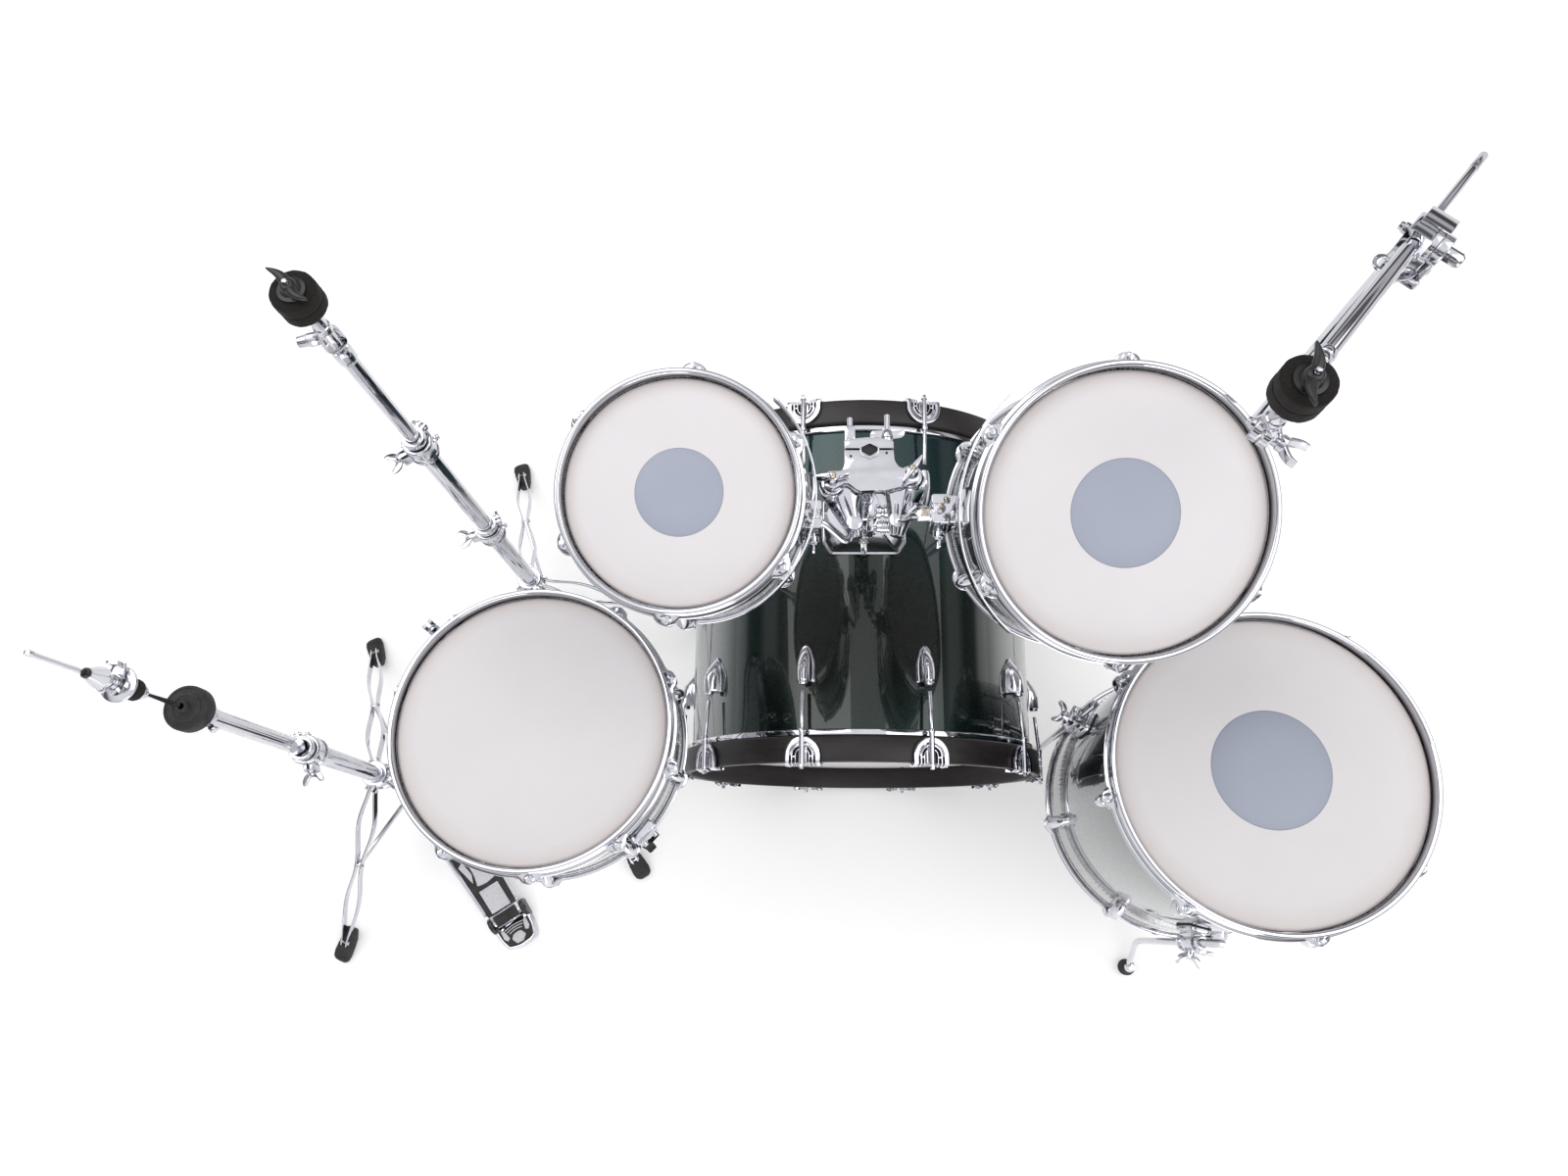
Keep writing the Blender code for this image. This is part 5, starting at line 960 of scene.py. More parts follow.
strands += [extruded(rounded([(-0.0100, -0.0220), (0.0100, -0.0220), (0.0100, 0.0220), (-0.0100, 0.0220)], 0.002, 3), 0.0014, wm @ Matrix.Translation((sg * 0.1560, 0, 0))) for sg in (-1, 1)]
piece("snare_wire_strands", "snare_strands", "spring_steel", strands, ["snare_wires"], bevel=0)
tape = [extruded(rounded([(-0.0180, -0.0110), (0.0180, -0.0110), (0.0180, 0.0110), (-0.0180, 0.0110)], 0.001, 2), 0.0006, wm @ Matrix.Translation((sg * 0.1790, 0, 0.0006))) for sg in (-1, 1)]
piece("snare_straps", "snare_strands", "black_plastic", tape, bevel=0)

# ---------------------------------------------------------------- stands


def strip_gap(t):
    """Half the distance between a leg's two strips: they part twice between their rivets."""
    w0, w1 = 0.0050, 0.0150
    keys = [(0.0, w0), (0.24, w1), (0.49, w0), (0.72, w1 * 0.85), (1.0, w0)]
    for (ta, wa), (tb, wb) in zip(keys, keys[1:]):
        if t <= tb:
            u = (t - ta) / (tb - ta)
            return wa + (wb - wa) * (1 - math.cos(PI * u)) / 2
    return w0


def open_ring(r, bore, z0, z1, angle, half, m):
    """A ring with a slot of half-width half in its side at an angle."""
    n = 40
    g, h = math.asin(half / r), math.asin(half / bore)
    pts = [(r * math.cos(angle + g + (2 * PI - 2 * g) * k / n), r * math.sin(angle + g + (2 * PI - 2 * g) * k / n)) for k in range(n + 1)]
    pts += [(bore * math.cos(angle - h - (2 * PI - 2 * h) * k / n), bore * math.sin(angle - h - (2 * PI - 2 * h) * k / n)) for k in range(n + 1)]
    return moved(extruded(pts, z1 - z0, low=z0), m)


def tripod(name, body, at, angles, reach, collar_z, hub_z, tube_r, bore, tube_top, replaces, wing_deg, extra=(), tube_low=0.030, slot=None):
    """Tube, leg collar, hub, riveted double-strip legs, stays and rubber boots."""
    x, y = at
    p0 = Vector((x, y, 0))
    tube = [turned([(0, tube_low), (tube_r - 0.001, tube_low), (tube_r, tube_low + 0.001), (tube_r, tube_top), (bore, tube_top), (bore, tube_low + 0.012), (0, tube_low + 0.012)], 40, p0)]
    R8 = tube_r + 0.0080
    if slot:
        ang, half, s0, s1 = slot
        tube = [turned([(0, tube_low), (tube_r - 0.001, tube_low), (tube_r, tube_low + 0.001), (tube_r, s0), (bore, s0), (bore, tube_low + 0.012), (0, tube_low + 0.012)], 40, p0),
                turned([(tube_r, s1), (tube_r, tube_top), (bore, tube_top), (bore, s1)], 40, p0), open_ring(tube_r, bore, s0, s1, ang, half, p0)]
    tube.append(turned([(tube_r - 0.001, -0.022), (R8 - 0.0015, -0.022), (R8, -0.0195), (R8, -0.0120), (R8 - 0.0025, -0.0105), (R8 - 0.0025, 0.0085), (R8, 0.0100), (R8, 0.0180), (R8 - 0.0015, 0.020), (tube_r - 0.001, 0.020)], 40, p0 + Vector((0, 0, collar_z))))
    tube.append(open_ring(R8, tube_r - 0.0005, hub_z - 0.014, hub_z + 0.014, slot[0], slot[1], p0) if slot else
                turned([(tube_r - 0.001, -0.014), (R8 - 0.0015, -0.014), (R8, -0.012), (R8, 0.012), (R8 - 0.0015, 0.014), (tube_r - 0.001, 0.014)], 40, p0 + Vector((0, 0, hub_z))))
    boots = []
    for deg in angles:
        a = math.radians(deg)
        o, s_ = Vector((math.cos(a), math.sin(a), 0)), Vector((-math.sin(a), math.cos(a), 0))
        z0, z1, d0, d1 = collar_z, 0.024, tube_r + 0.003, reach - 0.030
        d = (o * (d1 - d0) + Vector((0, 0, z1 - z0))).normalized()

        def along(t, off, lift=0.0):
            return p0 + o * (d0 + (d1 - d0) * t) + s_ * off + Vector((0, 0, z0 + (z1 - z0) * t + lift))

        for sg in (1, -1):
            tube.append(swept([along(k / 40, sg * strip_gap(k / 40)) for k in range(41)], flat(0.0120, 0.0024, 0.0006), d.cross(s_)))
        for t in (0.0, 0.49, 0.985):
            w = strip_gap(t) + 0.0012
            tube.append(stepped(along(t, -w - 0.0026), along(t, w + 0.0026), [(0, 0.0026), (0.0012, 0.0042), (0.0026, 0.0042), (0.0026, 0.0030), (2 * w + 0.0026, 0.0030), (2 * w + 0.0026, 0.0042), (2 * w + 0.0040, 0.0042), (2 * w + 0.0052, 0.0026)], 16))
        h0 = p0 + o * (tube_r + 0.0045) + Vector((0, 0, hub_z))
        tube.append(swept([h0, along(0.49, 0)], flat(0.0058, 0.0100, 0.0014), s_))
        tube += [rod(h0 - s_ * 0.0066, h0 + s_ * 0.0066, 0.0030, 14)]
        tube += [block((0, 0, 0), (0.0110, 0.0026, 0.0200), Matrix.Translation(p0 + o * (R8 + 0.0020) + s_ * sg * 0.0064 + Vector((0, 0, z))) @ Matrix.Rotation(a, 4, "Z"), 0.0006) for sg in (-1, 1) for z in (hub_z, collar_z)]
        # boot: a tapered rubber shoe over the strips' ends, ribbed on its back
        fm = Matrix.Translation(p0 + o * (reach - 0.028)) @ Matrix.Rotation(a, 4, "Z")
        rings = []
        for k, (xx, hw, zt) in enumerate(((-0.0340, 0.0085, 0.0380), (-0.0320, 0.0100, 0.0385), (-0.0160, 0.0125, 0.0330), (0.0, 0.0150, 0.0260), (0.0150, 0.0165, 0.0200), (0.0250, 0.0150, 0.0150), (0.0295, 0.0105, 0.0100), (0.0308, 0.0060, 0.0060))):
            zb = max(0.0, 0.0150 - (xx + 0.0340) * 0.9) if xx < -0.016 else 0.0
            mid, hh = (zt + zb) / 2, (zt - zb) / 2
            rings.append([(xx, hw * math.copysign(abs(math.cos(q)) ** 0.55, math.cos(q)), mid + hh * math.copysign(abs(math.sin(q)) ** 0.60, math.sin(q))) for q in (2 * PI * j / 24 for j in range(24))])
        boots.append(moved(lofted(rings), fm))
        for k in range(4):
            xx = -0.0240 + 0.0085 * k
            hw, zt = 0.0118 + 0.0012 * k, 0.0360 - 0.0036 * k
            boots.append(moved(swept([(xx, hw * math.cos(q), zt * 0.52 + zt * 0.50 * math.sin(q)) for q in (PI * (0.08 + 0.84 * j / 12) for j in range(13))], flat(0.0022, 0.0026, 0.0006), (1, 0, 0)), fm))
    w50 = math.radians(wing_deg + 50)
    o = Vector((math.cos(w50), math.sin(w50), 0))
    tube += wing_bolt(p0 + Vector((0, 0, collar_z)) + o * (tube_r + 0.007), o, (0, 0, 1), 0.0150, 0.0150, stem=0.012)
    piece(name + "_metalwork", body, "chrome", tube + list(extra), replaces, bevel=0.0005)
    piece(name + "_boots", body, "black_rubber", boots, bevel=0.0006)


def height_clamp(at, top, r, out_deg, wing=0.017, stem=0.013, tilt=0.2):
    """The die-cast clamp at a tube's mouth: a split collar with two lips, its wing bolt, and a hex stub on the far
    side.
    """
    x, y = at
    z = top - 0.018
    p = Vector((x, y, z))
    a = math.radians(out_deg)
    o, s_ = Vector((math.cos(a), math.sin(a), 0)), Vector((-math.sin(a), math.cos(a), 0))
    R8 = r + 0.0080
    out = [turned([(r - 0.001, -0.018), (R8 - 0.0015, -0.018), (R8, -0.0160), (R8, -0.0110), (R8 - 0.0020, -0.0095), (R8 - 0.0020, 0.0105), (R8, 0.0120), (R8, 0.0165), (R8 - 0.0015, 0.018), (r - 0.0012, 0.018)], 40, p)]
    for sg in (-1, 1):
        out.append(block((0, 0, 0), (0.0130, 0.0052, 0.0260), Matrix.Translation(p + o * (R8 + 0.0035) + s_ * sg * 0.0042) @ Matrix.Rotation(a, 4, "Z"), 0.0016))
    out += wing_bolt(p + o * (r + 0.007), o, s_ * math.cos(tilt) + Vector((0, 0, math.sin(tilt))), wing, 0.0160, stem=stem)
    out.append(stepped(p - o * (r + 0.0060), p - o * (r + 0.0150), [(0, 0.0052), (0.0050, 0.0052), (0.0062, 0.0040), (0.0090, 0.0036)], 6))
    return out


def ferrule(at, top, r):
    """The black plastic bushing that shows in a tube's mouth."""
    return turned([(r, 0.0000), (r + 0.0024, 0.0000), (r + 0.0020, 0.0024), (r + 0.0006, 0.0030), (r, 0.0030)], 36, Vector((at[0], at[1], top)))


def memory_lock(at, z, r, deg):
    x, y = at
    p = Vector((x, y, z))
    a = math.radians(deg)
    o, s_ = Vector((math.cos(a), math.sin(a), 0)), Vector((-math.sin(a), math.cos(a), 0))
    out = [turned([(r + 0.0004, 0), (r + 0.0058, 0), (r + 0.0066, 0.0010), (r + 0.0066, 0.0110), (r + 0.0058, 0.0120), (r + 0.0004, 0.0120)], 36, p)]
    out += [block((0, 0, 0), (0.0100, 0.0044, 0.0115), Matrix.Translation(p + o * (r + 0.0090) + s_ * sg * 0.0036 + Vector((0, 0, 0.0060))) @ Matrix.Rotation(a, 4, "Z"), 0.0010) for sg in (-1, 1)]
    out.append(stepped(p + o * (r + 0.0092) - s_ * 0.0080 + Vector((0, 0, 0.0060)), p + o * (r + 0.0092) + s_ * 0.0150 + Vector((0, 0, 0.0060)), [(0, 0.0032), (0.0140, 0.0032), (0.0140, 0.0044), (0.0165, 0.0044), (0.0165, 0.0028), (0.0230, 0.0028)], 16))
    return out


LEFT_AT, RIGHT_AT, HIHAT_AT, SNARE_STAND_AT = (-0.5335, 0.6097), (0.6240, 0.6950), (-0.7637, 0.2457), (-0.4500, 0.2900)

# left straight stand
tripod("left_stand", "kit", LEFT_AT, (107.4, -5.0, 227.4), 0.340, 0.215, 0.085, 0.0143, 0.0131, 0.500, ["left_stand_base"], 200, height_clamp(LEFT_AT, 0.500, 0.0143, 200) + memory_lock(LEFT_AT, 0.5034, 0.0127, 20))
lx, ly = LEFT_AT
mid = [turned([(0.0127, 0.180), (0.0127, 0.820), (0.0105, 0.820), (0.0105, 0.180)], 40, (lx, ly, 0))] + height_clamp(LEFT_AT, 0.820, 0.0127, 215) + memory_lock(LEFT_AT, 0.8234, 0.0095, 60)
piece("left_stand_middle_tube", "left_middle", "chrome", mid, ["left_stand_middle"], bevel=0.0005)
piece("left_stand_bushings", "kit", "black_plastic", [ferrule(LEFT_AT, 0.5000, 0.0129)], bevel=0)
piece("left_middle_bushing", "left_middle", "black_plastic", [ferrule(LEFT_AT, 0.8200, 0.0097)], bevel=0)


def tilter_fixed(p, ax, neck_path):
    """The tilter's lower half: a toothed disc on the hinge and its neck. Shapes lie on the far side of the hinge plane."""
    out = [turned([(0, -0.0006), (0.0128, -0.0006), (0.0135, -0.0014), (0.0135, -0.0086), (0.0125, -0.0098), (0, -0.0098)], 36, facing(p, ax))]
    out += [swept(neck_path, round_section(0.0075, 20), ax)]
    return out


def tilter_half(p, ax, at, rod_top, cup):
    """The swinging half: toothed disc, boss, threaded rod, seat sleeve and cup."""
    p = Vector(p)
    out = [turned([(0, 0.0006), (0.0128, 0.0006), (0.0135, 0.0014), (0.0135, 0.0090), (0.0122, 0.0104), (0.0070, 0.0112), (0, 0.0112)], 36, facing(p, ax))]
    out += [extruded([((0.0132 + 0.0007 * (k % 2)) * math.cos(PI * k / 24), (0.0132 + 0.0007 * (k % 2)) * math.sin(PI * k / 24)) for k in range(48)], 0.0022, facing(p, ax) @ Matrix.Translation((0, 0, 0.0007)), low=0)]
    out += [swept([p + ax * 0.0070 + Vector((0, 0, -0.002)), p + ax * 0.0066 + Vector((0, 0, 0.010)), p + ax * 0.0020 + Vector((0, 0, 0.0190)), p + Vector((0, 0, 0.0240))], round_section(0.0072, 20), ax)]
    c = Vector((at[0], at[1], p.z))
    out += [stepped(c + Vector((0, 0, 0.0160)), c + Vector((0, 0, cup - 0.002)), [(0, 0.0086), (0.0020, 0.0096), (0.0120, 0.0096), (0.0130, 0.0080), (cup - 0.030, 0.0080), (cup - 0.026, 0.0096), (cup - 0.018, 0.0104)], 28)]
    out += [turned([(0, cup - 0.0060), (0.0150, cup - 0.0060), (0.0170, cup - 0.0044), (0.0172, cup - 0.0014), (0.0160, cup - 0.0002), (0, cup)], 40, c)]
    out += [threaded(c + Vector((0, 0, 0.040)), (at[0], at[1], rod_top - 0.0040), 0.0030, 0.0012), stepped((at[0], at[1], rod_top - 0.0046), (at[0], at[1], rod_top), [(0, 0.0030), (0.0036, 0.0030), (0.0046, 0.0022)], 6)]
    return out


def felt_stack(name, body, at, z0, h, r, replaces, n=2):
    """Pressed felt washers, one on the other, their edges a little uneven."""
    sh, each = [], h / n
    for k in range(n):
        rings = []
        z = z0 + each * k
        bore = 0.0036
        seg = 72
        prof = [(bore, z + each - 0.0004), (r * 0.30, z + each), (r * 0.965, z + each - 0.0001), (r * 0.992, z + each - 0.0007), (r, z + each * 0.80), (r * 1.0, z + each * 0.22), (r * 0.992, z + 0.0008), (r * 0.97, z + 0.0001), (bore, z + 0.0001)]
        for j in range(seg):
            a = 2 * PI * j / seg
            wob = 1 + 0.010 * math.sin(3 * a + 1.3 * k) + 0.006 * math.sin(11 * a + 2.0 * k) + 0.004 * math.sin(23 * a + 0.7)
            rings.append([(at[0] + (rr * wob if rr > bore * 1.5 else rr) * math.cos(a), at[1] + (rr * wob if rr > bore * 1.5 else rr) * math.sin(a), zz) for rr, zz in prof])
        sh.append(lofted(rings, loop=True))
    return piece(name, body, "black_felt", sh, replaces, bevel=0, angle=70)


def moulded_wing_nut(name, body, at, z0, deg, replaces):
    """A long S-shaped moulded wing nut: a domed hub and two swept blades that rise to their tips."""
    m = Matrix.Translation((at[0], at[1], z0)) @ Matrix.Rotation(math.radians(deg), 4, "Z")
    hub = turned([(0.0036, 0), (0.0142, 0), (0.0150, 0.0008), (0.0146, 0.0022), (0.0108, 0.0030), (0.0092, 0.0070), (0.0080, 0.0112), (0.0062, 0.0134), (0.0036, 0.0136)], 40, m)
    sh = [hub]
    for sg in (1, -1):
        rings = []
        for k in range(17):
            u = k / 16
            xx = sg * (0.0020 + 0.0270 * u)
            yy = sg * (0.0042 * u * u - 0.0020 * math.sin(PI * u))
            half = 0.0068 * (1 - u) ** 0.8 * (0.85 + 0.35 * u) + 0.0007
            zb, zt = 0.0030 + 0.0060 * u, 0.0118 + 0.0020 * math.sin(PI * 0.5 * u)
            mid, hh = (zb + zt) / 2, (zt - zb) / 2
            ring = []
            for j in range(20):
                q = 2 * PI * j / 20
                c_, s_ = math.cos(q), math.sin(q)
                ridge = 0.0012 * max(0.0, 1 - abs(c_) * 2.2) * (1 if s_ > 0 else 0) * (1 - u)
                ring.append((xx, yy + half * math.copysign(abs(c_) ** 0.6, c_), mid + hh * math.copysign(abs(s_) ** 0.75, s_) + ridge))
            rings.append(ring)
        sh.append(moved(lofted(rings), m))
    return piece(name, body, "black_plastic", sh, replaces, bevel=0, angle=50)


TAX = Vector((0.66, -0.75, 0)).normalized()
LT = Vector((lx, ly, 1.0800))
top = [turned([(0.0095, 0.480), (0.0095, 1.056), (0.0090, 1.060), (0, 1.060), (0, 1.056), (0.0078, 1.052), (0.0078, 0.480)], 36, (lx, ly, 0))]
top += tilter_fixed(LT, TAX, [Vector((lx, ly, 1.050)), Vector((lx, ly, 1.058)) - TAX * 0.0030, LT - TAX * 0.0085 + Vector((0, 0, -0.0090)), LT - TAX * 0.0085])
top += [turned([(0, 1.036), (0.0110, 1.036), (0.0118, 1.038), (0.0118, 1.054), (0.0100, 1.061), (0, 1.062)], 36, (lx, ly, 0))]
KD = Vector((-0.97, -0.24, 0)).normalized()
k0 = LT - TAX * 0.0055 + KD * 0.0050
top += [stepped(k0, k0 + KD * 0.0290, [(0, 0.0060), (0.0070, 0.0060), (0.0075, 0.0078), (0.0180, 0.0078), (0.0185, 0.0070), (0.0290, 0.0066)], 28),
        extruded([((0.0074 + 0.0008 * (k % 2)) * math.cos(PI * k / 9), (0.0074 + 0.0008 * (k % 2)) * math.sin(PI * k / 9)) for k in range(18)], 0.0090, facing(k0 + KD * 0.0082, KD), low=0)]
piece("left_stand_upper_tube", "left_top", "chrome", top, ["left_stand_top_tube"], bevel=0.0005)
piece("left_tilter_and_rod", "left_tilt", "chrome", tilter_half(LT, TAX, LEFT_AT, 1.1930, 0.0640), ["left_tilter"], bevel=0.0004)
felt_stack("left_felt_washers", "left_tilt", LEFT_AT, 1.1444, 0.0300, 0.0245, ["left_felts"])
moulded_wing_nut("left_moulded_wing_nut", "left_nut", LEFT_AT, 1.1748, -46, ["left_wing_nut"])

# right boom stand
tripod("right_stand", "kit", RIGHT_AT, (80, 200, 320), 0.330, 0.215, 0.085, 0.0143, 0.0131, 0.560, ["right_stand_base"], 320, height_clamp(RIGHT_AT, 0.560, 0.0143, 320) + memory_lock(RIGHT_AT, 0.5634, 0.0127, 140))
piece("right_stand_bushing", "kit", "black_plastic", [ferrule(RIGHT_AT, 0.5600, 0.0129)], bevel=0)
rx, ry = RIGHT_AT
PIV, RT = Vector((0.6240, 0.6950, 1.1270)), Vector((0.4060, 0.4380, 1.2000))
BOOM = (RT - PIV).normalized()
BAX = Vector((-BOOM.y, BOOM.x, 0)).normalized()
UP = BOOM.cross(BAX) * -1 if (BOOM.cross(BAX)).z < 0 else BOOM.cross(BAX)
col = [turned([(0.0127, 0.260), (0.0127, 1.083), (0.0120, 1.085), (0, 1.085), (0, 1.080), (0.0105, 1.078), (0.0105, 0.260)], 40, (rx, ry, 0))]
bz = math.atan2(BAX.y, BAX.x)
neck = Matrix.Translation(PIV + BAX * 0.0255 + Vector((0, 0, -0.027))) @ Matrix.Rotation(bz, 4, "Z")
col += [block((0, 0, 0), (0.0110, 0.0240, 0.0500), neck, 0.003), block((0, 0, 0), (0.0460, 0.0260, 0.0140), Matrix.Translation(Vector((rx, ry, 1.080)) + BAX * 0.0100) @ Matrix.Rotation(bz, 4, "Z"), 0.005),
        turned([(0, 0), (0.0160, 0), (0.0170, 0.0010), (0.0170, 0.0100), (0.0160, 0.0112), (0, 0.0112)], 36, facing(PIV + BAX * 0.0200, BAX)),
        turned([(0, 1.060), (0.0140, 1.060), (0.0150, 1.062), (0.0150, 1.078), (0.0135, 1.084), (0, 1.084)], 36, (rx, ry, 0))]
k1 = PIV + BAX * 0.0240
col += [stepped(k1, k1 + BAX * 0.0260, [(0, 0.0060), (0.0050, 0.0060), (0.0050, 0.0072), (0.0240, 0.0072), (0.0260, 0.0060)], 28),
        extruded([((0.0073 + 0.0011 * (k % 2)) * math.cos(PI * k / 10), (0.0073 + 0.0011 * (k % 2)) * math.sin(PI * k / 10)) for k in range(20)], 0.0160, facing(k1 + BAX * 0.0070, BAX), low=0)]
piece("right_stand_upper_tube", "right_column", "chrome", col, ["right_stand_tube"], bevel=0.0006)
cm = Matrix.Translation(PIV) @ Matrix((BAX, UP, BAX.cross(UP))).transposed().to_4x4()
blk = [block((0, 0, 0), (0.0270, 0.0300, 0.0340), cm, 0.004), turned([(0, 0), (0.0160, 0), (0.0170, 0.0010), (0.0170, 0.0072), (0.0160, 0.0080), (0, 0.0080)], 36, facing(PIV + BAX * 0.0115, BAX))]
lid = Matrix.Translation(PIV + BAX * 0.0060 - BOOM * 0.0120 + UP * 0.0170) @ Matrix((BAX, UP, BAX.cross(UP))).transposed().to_4x4()
blk += [block((0.0010, 0.0004, -0.0010), (0.0320, 0.0050, 0.0250), lid, 0.0016)]
k1 = PIV - BAX * 0.0130
blk += [stepped(k1, k1 - BAX * 0.0100, [(0, 0.0066), (0.0050, 0.0066), (0.0062, 0.0052), (0.0100, 0.0046)], 6)]
blk += [block((0, 0, 0), (0.0200, 0.0080, 0.0300), Matrix.Translation(PIV + BOOM * 0.0240 - UP * 0.0160) @ Matrix((BAX, UP, BAX.cross(UP))).transposed().to_4x4(), 0.003)]
blk += [stepped(PIV + BOOM * 0.0320 - UP * 0.0170, PIV + BOOM * 0.0320 - UP * 0.0262, [(0, 0.0052), (0.0070, 0.0052), (0.0092, 0.0040)], 24)]
loop = [PIV + BOOM * (0.0340 + 0.0110 * math.cos(PI * k / 12)) + BAX * (-0.0125 + 0.0075 * math.sin(PI * k / 12)) - UP * 0.0225 for k in range(-1, 25)]
blk += [swept(loop, flat(0.0026, 0.0044, 0.0008), UP)]
loop = spline([PIV + BOOM * a + BAX * b - UP * 0.0225 for a, b in ((0.0300, 0.0030), (0.0200, 0.0120), (0.0200, 0.0190), (0.0260, 0.0195), (0.0400, 0.0130), (0.0480, 0.0075), (0.0470, 0.0050), (0.0360, 0.0050), (0.0290, 0.0034))], 5)
blk += [swept(loop, flat(0.0026, 0.0044, 0.0008), UP)]
piece("boom_clamp_block", "boom_block", "chrome", blk, ["boom_clamp"], bevel=0.0006)
TAIL, END = PIV - BOOM * 0.1760, RT - BOOM * 0.0150
arm = [stepped(TAIL, PIV + BOOM * 0.0240, [(0, 0.0036), (0.0014, 0.0048), (0.0330, 0.0048), (0.200, 0.0048)], 24),
       stepped(PIV + BOOM * 0.0195, END, [(0, 0.0078), (0.0015, 0.0088), ((END - PIV).length - 0.0215, 0.0088), ((END - PIV).length - 0.0195, 0.0078)], 32)]
arm += [extruded([((0.0047 + 0.00035 * (k % 2)) * math.cos(PI * k / 20), (0.0047 + 0.00035 * (k % 2)) * math.sin(PI * k / 20)) for k in range(40)], 0.0320, facing(TAIL + BOOM * 0.002, BOOM), low=0)]
for d_ in (0.215,):
    arm += [stepped(PIV + BOOM * d_, PIV + BOOM * (d_ + 0.0200), [(0, 0.0094), (0.0010, 0.0102), (0.0085, 0.0102), (0.0090, 0.0094), (0.0110, 0.0094), (0.0115, 0.0102), (0.0190, 0.0102), (0.0200, 0.0094)], 32)]
arm += tilter_fixed(RT, BAX, [END - BOOM * 0.0060, RT - BAX * 0.0060 - BOOM * 0.0080, RT - BAX * 0.0082])
arm += [stepped(END - BOOM * 0.0220, END + BOOM * 0.0020, [(0, 0.0100), (0.0020, 0.0112), (0.0200, 0.0112), (0.0240, 0.0085)], 32)]
k2 = RT - BAX * 0.0095
arm += [stepped(k2, k2 - BAX * 0.0090, [(0, 0.0064), (0.0045, 0.0064), (0.0056, 0.0050), (0.0090, 0.0044)], 6)]
piece("boom_arm_tubes", "boom", "chrome", arm, ["boom_arm"], bevel=0.0005)
# the two-pronged bolt on the tilter's open side
half = tilter_half(RT, BAX, RT[:2], 1.3160, 0.0660)
k2 = RT + BAX * 0.0105
half += [stepped(k2, k2 + BAX * 0.0130, [(0, 0.0070), (0.0045, 0.0070), (0.0055, 0.0085), (0.0115, 0.0085), (0.0130, 0.0066)], 28)]
for sg in (-1, 1):
    prong = spline([k2 + BAX * 0.0080, k2 + BAX * 0.0140 + BOOM * sg * 0.0070, k2 + BAX * 0.0220 + BOOM * sg * 0.0120, k2 + BAX * 0.0290 + BOOM * sg * 0.0130], 6)
    half.append(swept(prong, flat(0.0132, 0.0044, 0.0014), UP, [1.0 - 0.02 * k for k in range(len(prong))]))
piece("right_tilter_and_rod", "right_tilt", "chrome", half, ["right_tilter"], bevel=0.0004)
felt_stack("right_felt_washers", "right_tilt", RT[:2], 1.2664, 0.0300, 0.0245, ["right_felts"])
moulded_wing_nut("right_moulded_wing_nut", "right_nut", RT[:2], 1.2968, 74, ["right_wing_nut"])

# snare stand
tripod("snare_stand", "kit", SNARE_STAND_AT, (-58.6, 61.4, 181.4), 0.232, 0.185, 0.075, 0.0137, 0.0121, 0.330, ["snare_stand_base"], 130, height_clamp(SNARE_STAND_AT, 0.330, 0.0137, 130) + memory_lock(SNARE_STAND_AT, 0.3334, 0.0117, 310))
piece("snare_stand_bushing", "kit", "black_plastic", [ferrule(SNARE_STAND_AT, 0.3300, 0.0119)], bevel=0)
sx, sy = SNARE_STAND_AT
cx, cy = SNARE_AT.x, SNARE_AT.y
SA = Vector((cx - sx, cy - sy, 0)).normalized()
SAX = Vector((-SA.y, SA.x, 0))
SP = Vector((sx, sy, 0.4680)) + SA * 0.0250
col = [turned([(0, 0.4580), (0.0110, 0.4580), (0.0117, 0.4572), (0.0117, 0.110), (0.0095, 0.110), (0.0095, 0.450), (0, 0.450)], 36, (sx, sy, 0))]
az = math.atan2(SA.y, SA.x)
col += [block((0, 0, 0), (0.0300, 0.0140, 0.0240), Matrix.Translation(Vector((sx, sy, 0.4570)) + SA * 0.0070 - SAX * 0.0080) @ Matrix.Rotation(az, 4, "Z"), 0.003),
        turned([(0, -0.0006), (0.0142, -0.0006), (0.0150, -0.0014), (0.0150, -0.0086), (0.0140, -0.0096), (0, -0.0096)], 36, facing(SP, SAX))]
col += wing_bolt(SP - SAX * 0.0090, -SAX, (0, 0, 1), 0.0170, 0.0150, stem=0.0120)
piece("snare_stand_column", "snare_column", "chrome", col, ["snare_stand_tube"], bevel=0.0005)
HUB = Vector((cx, cy, 0.4900))
HOOP_LOW = SNARE_AT.z - SNARE_DEPTH - 0.0140
bas = [turned([(0, 0.0006), (0.0142, 0.0006), (0.0150, 0.0014), (0.0150, 0.0086), (0.0140, 0.0096), (0, 0.0096)], 36, facing(SP, SAX)),
       swept(spline([SP + SAX * 0.0075, SP + SAX * 0.0075 + Vector((0, 0, 0.012)), HUB + Vector((0, 0, 0.010)) - SA * 0.012, HUB + Vector((0, 0, 0.012))], 5), round_section(0.0070, 20), SAX),
       turned([(0, 0), (0.0150, 0), (0.0190, 0.0030), (0.0200, 0.0070), (0.0200, 0.0270), (0.0185, 0.0320), (0.0120, 0.0340), (0, 0.0345)], 40, HUB),
       stepped(HUB - Vector((0, 0, 0.0060)), HUB, [(0, 0.0080), (0.0060, 0.0100)], 6)]
tips = []
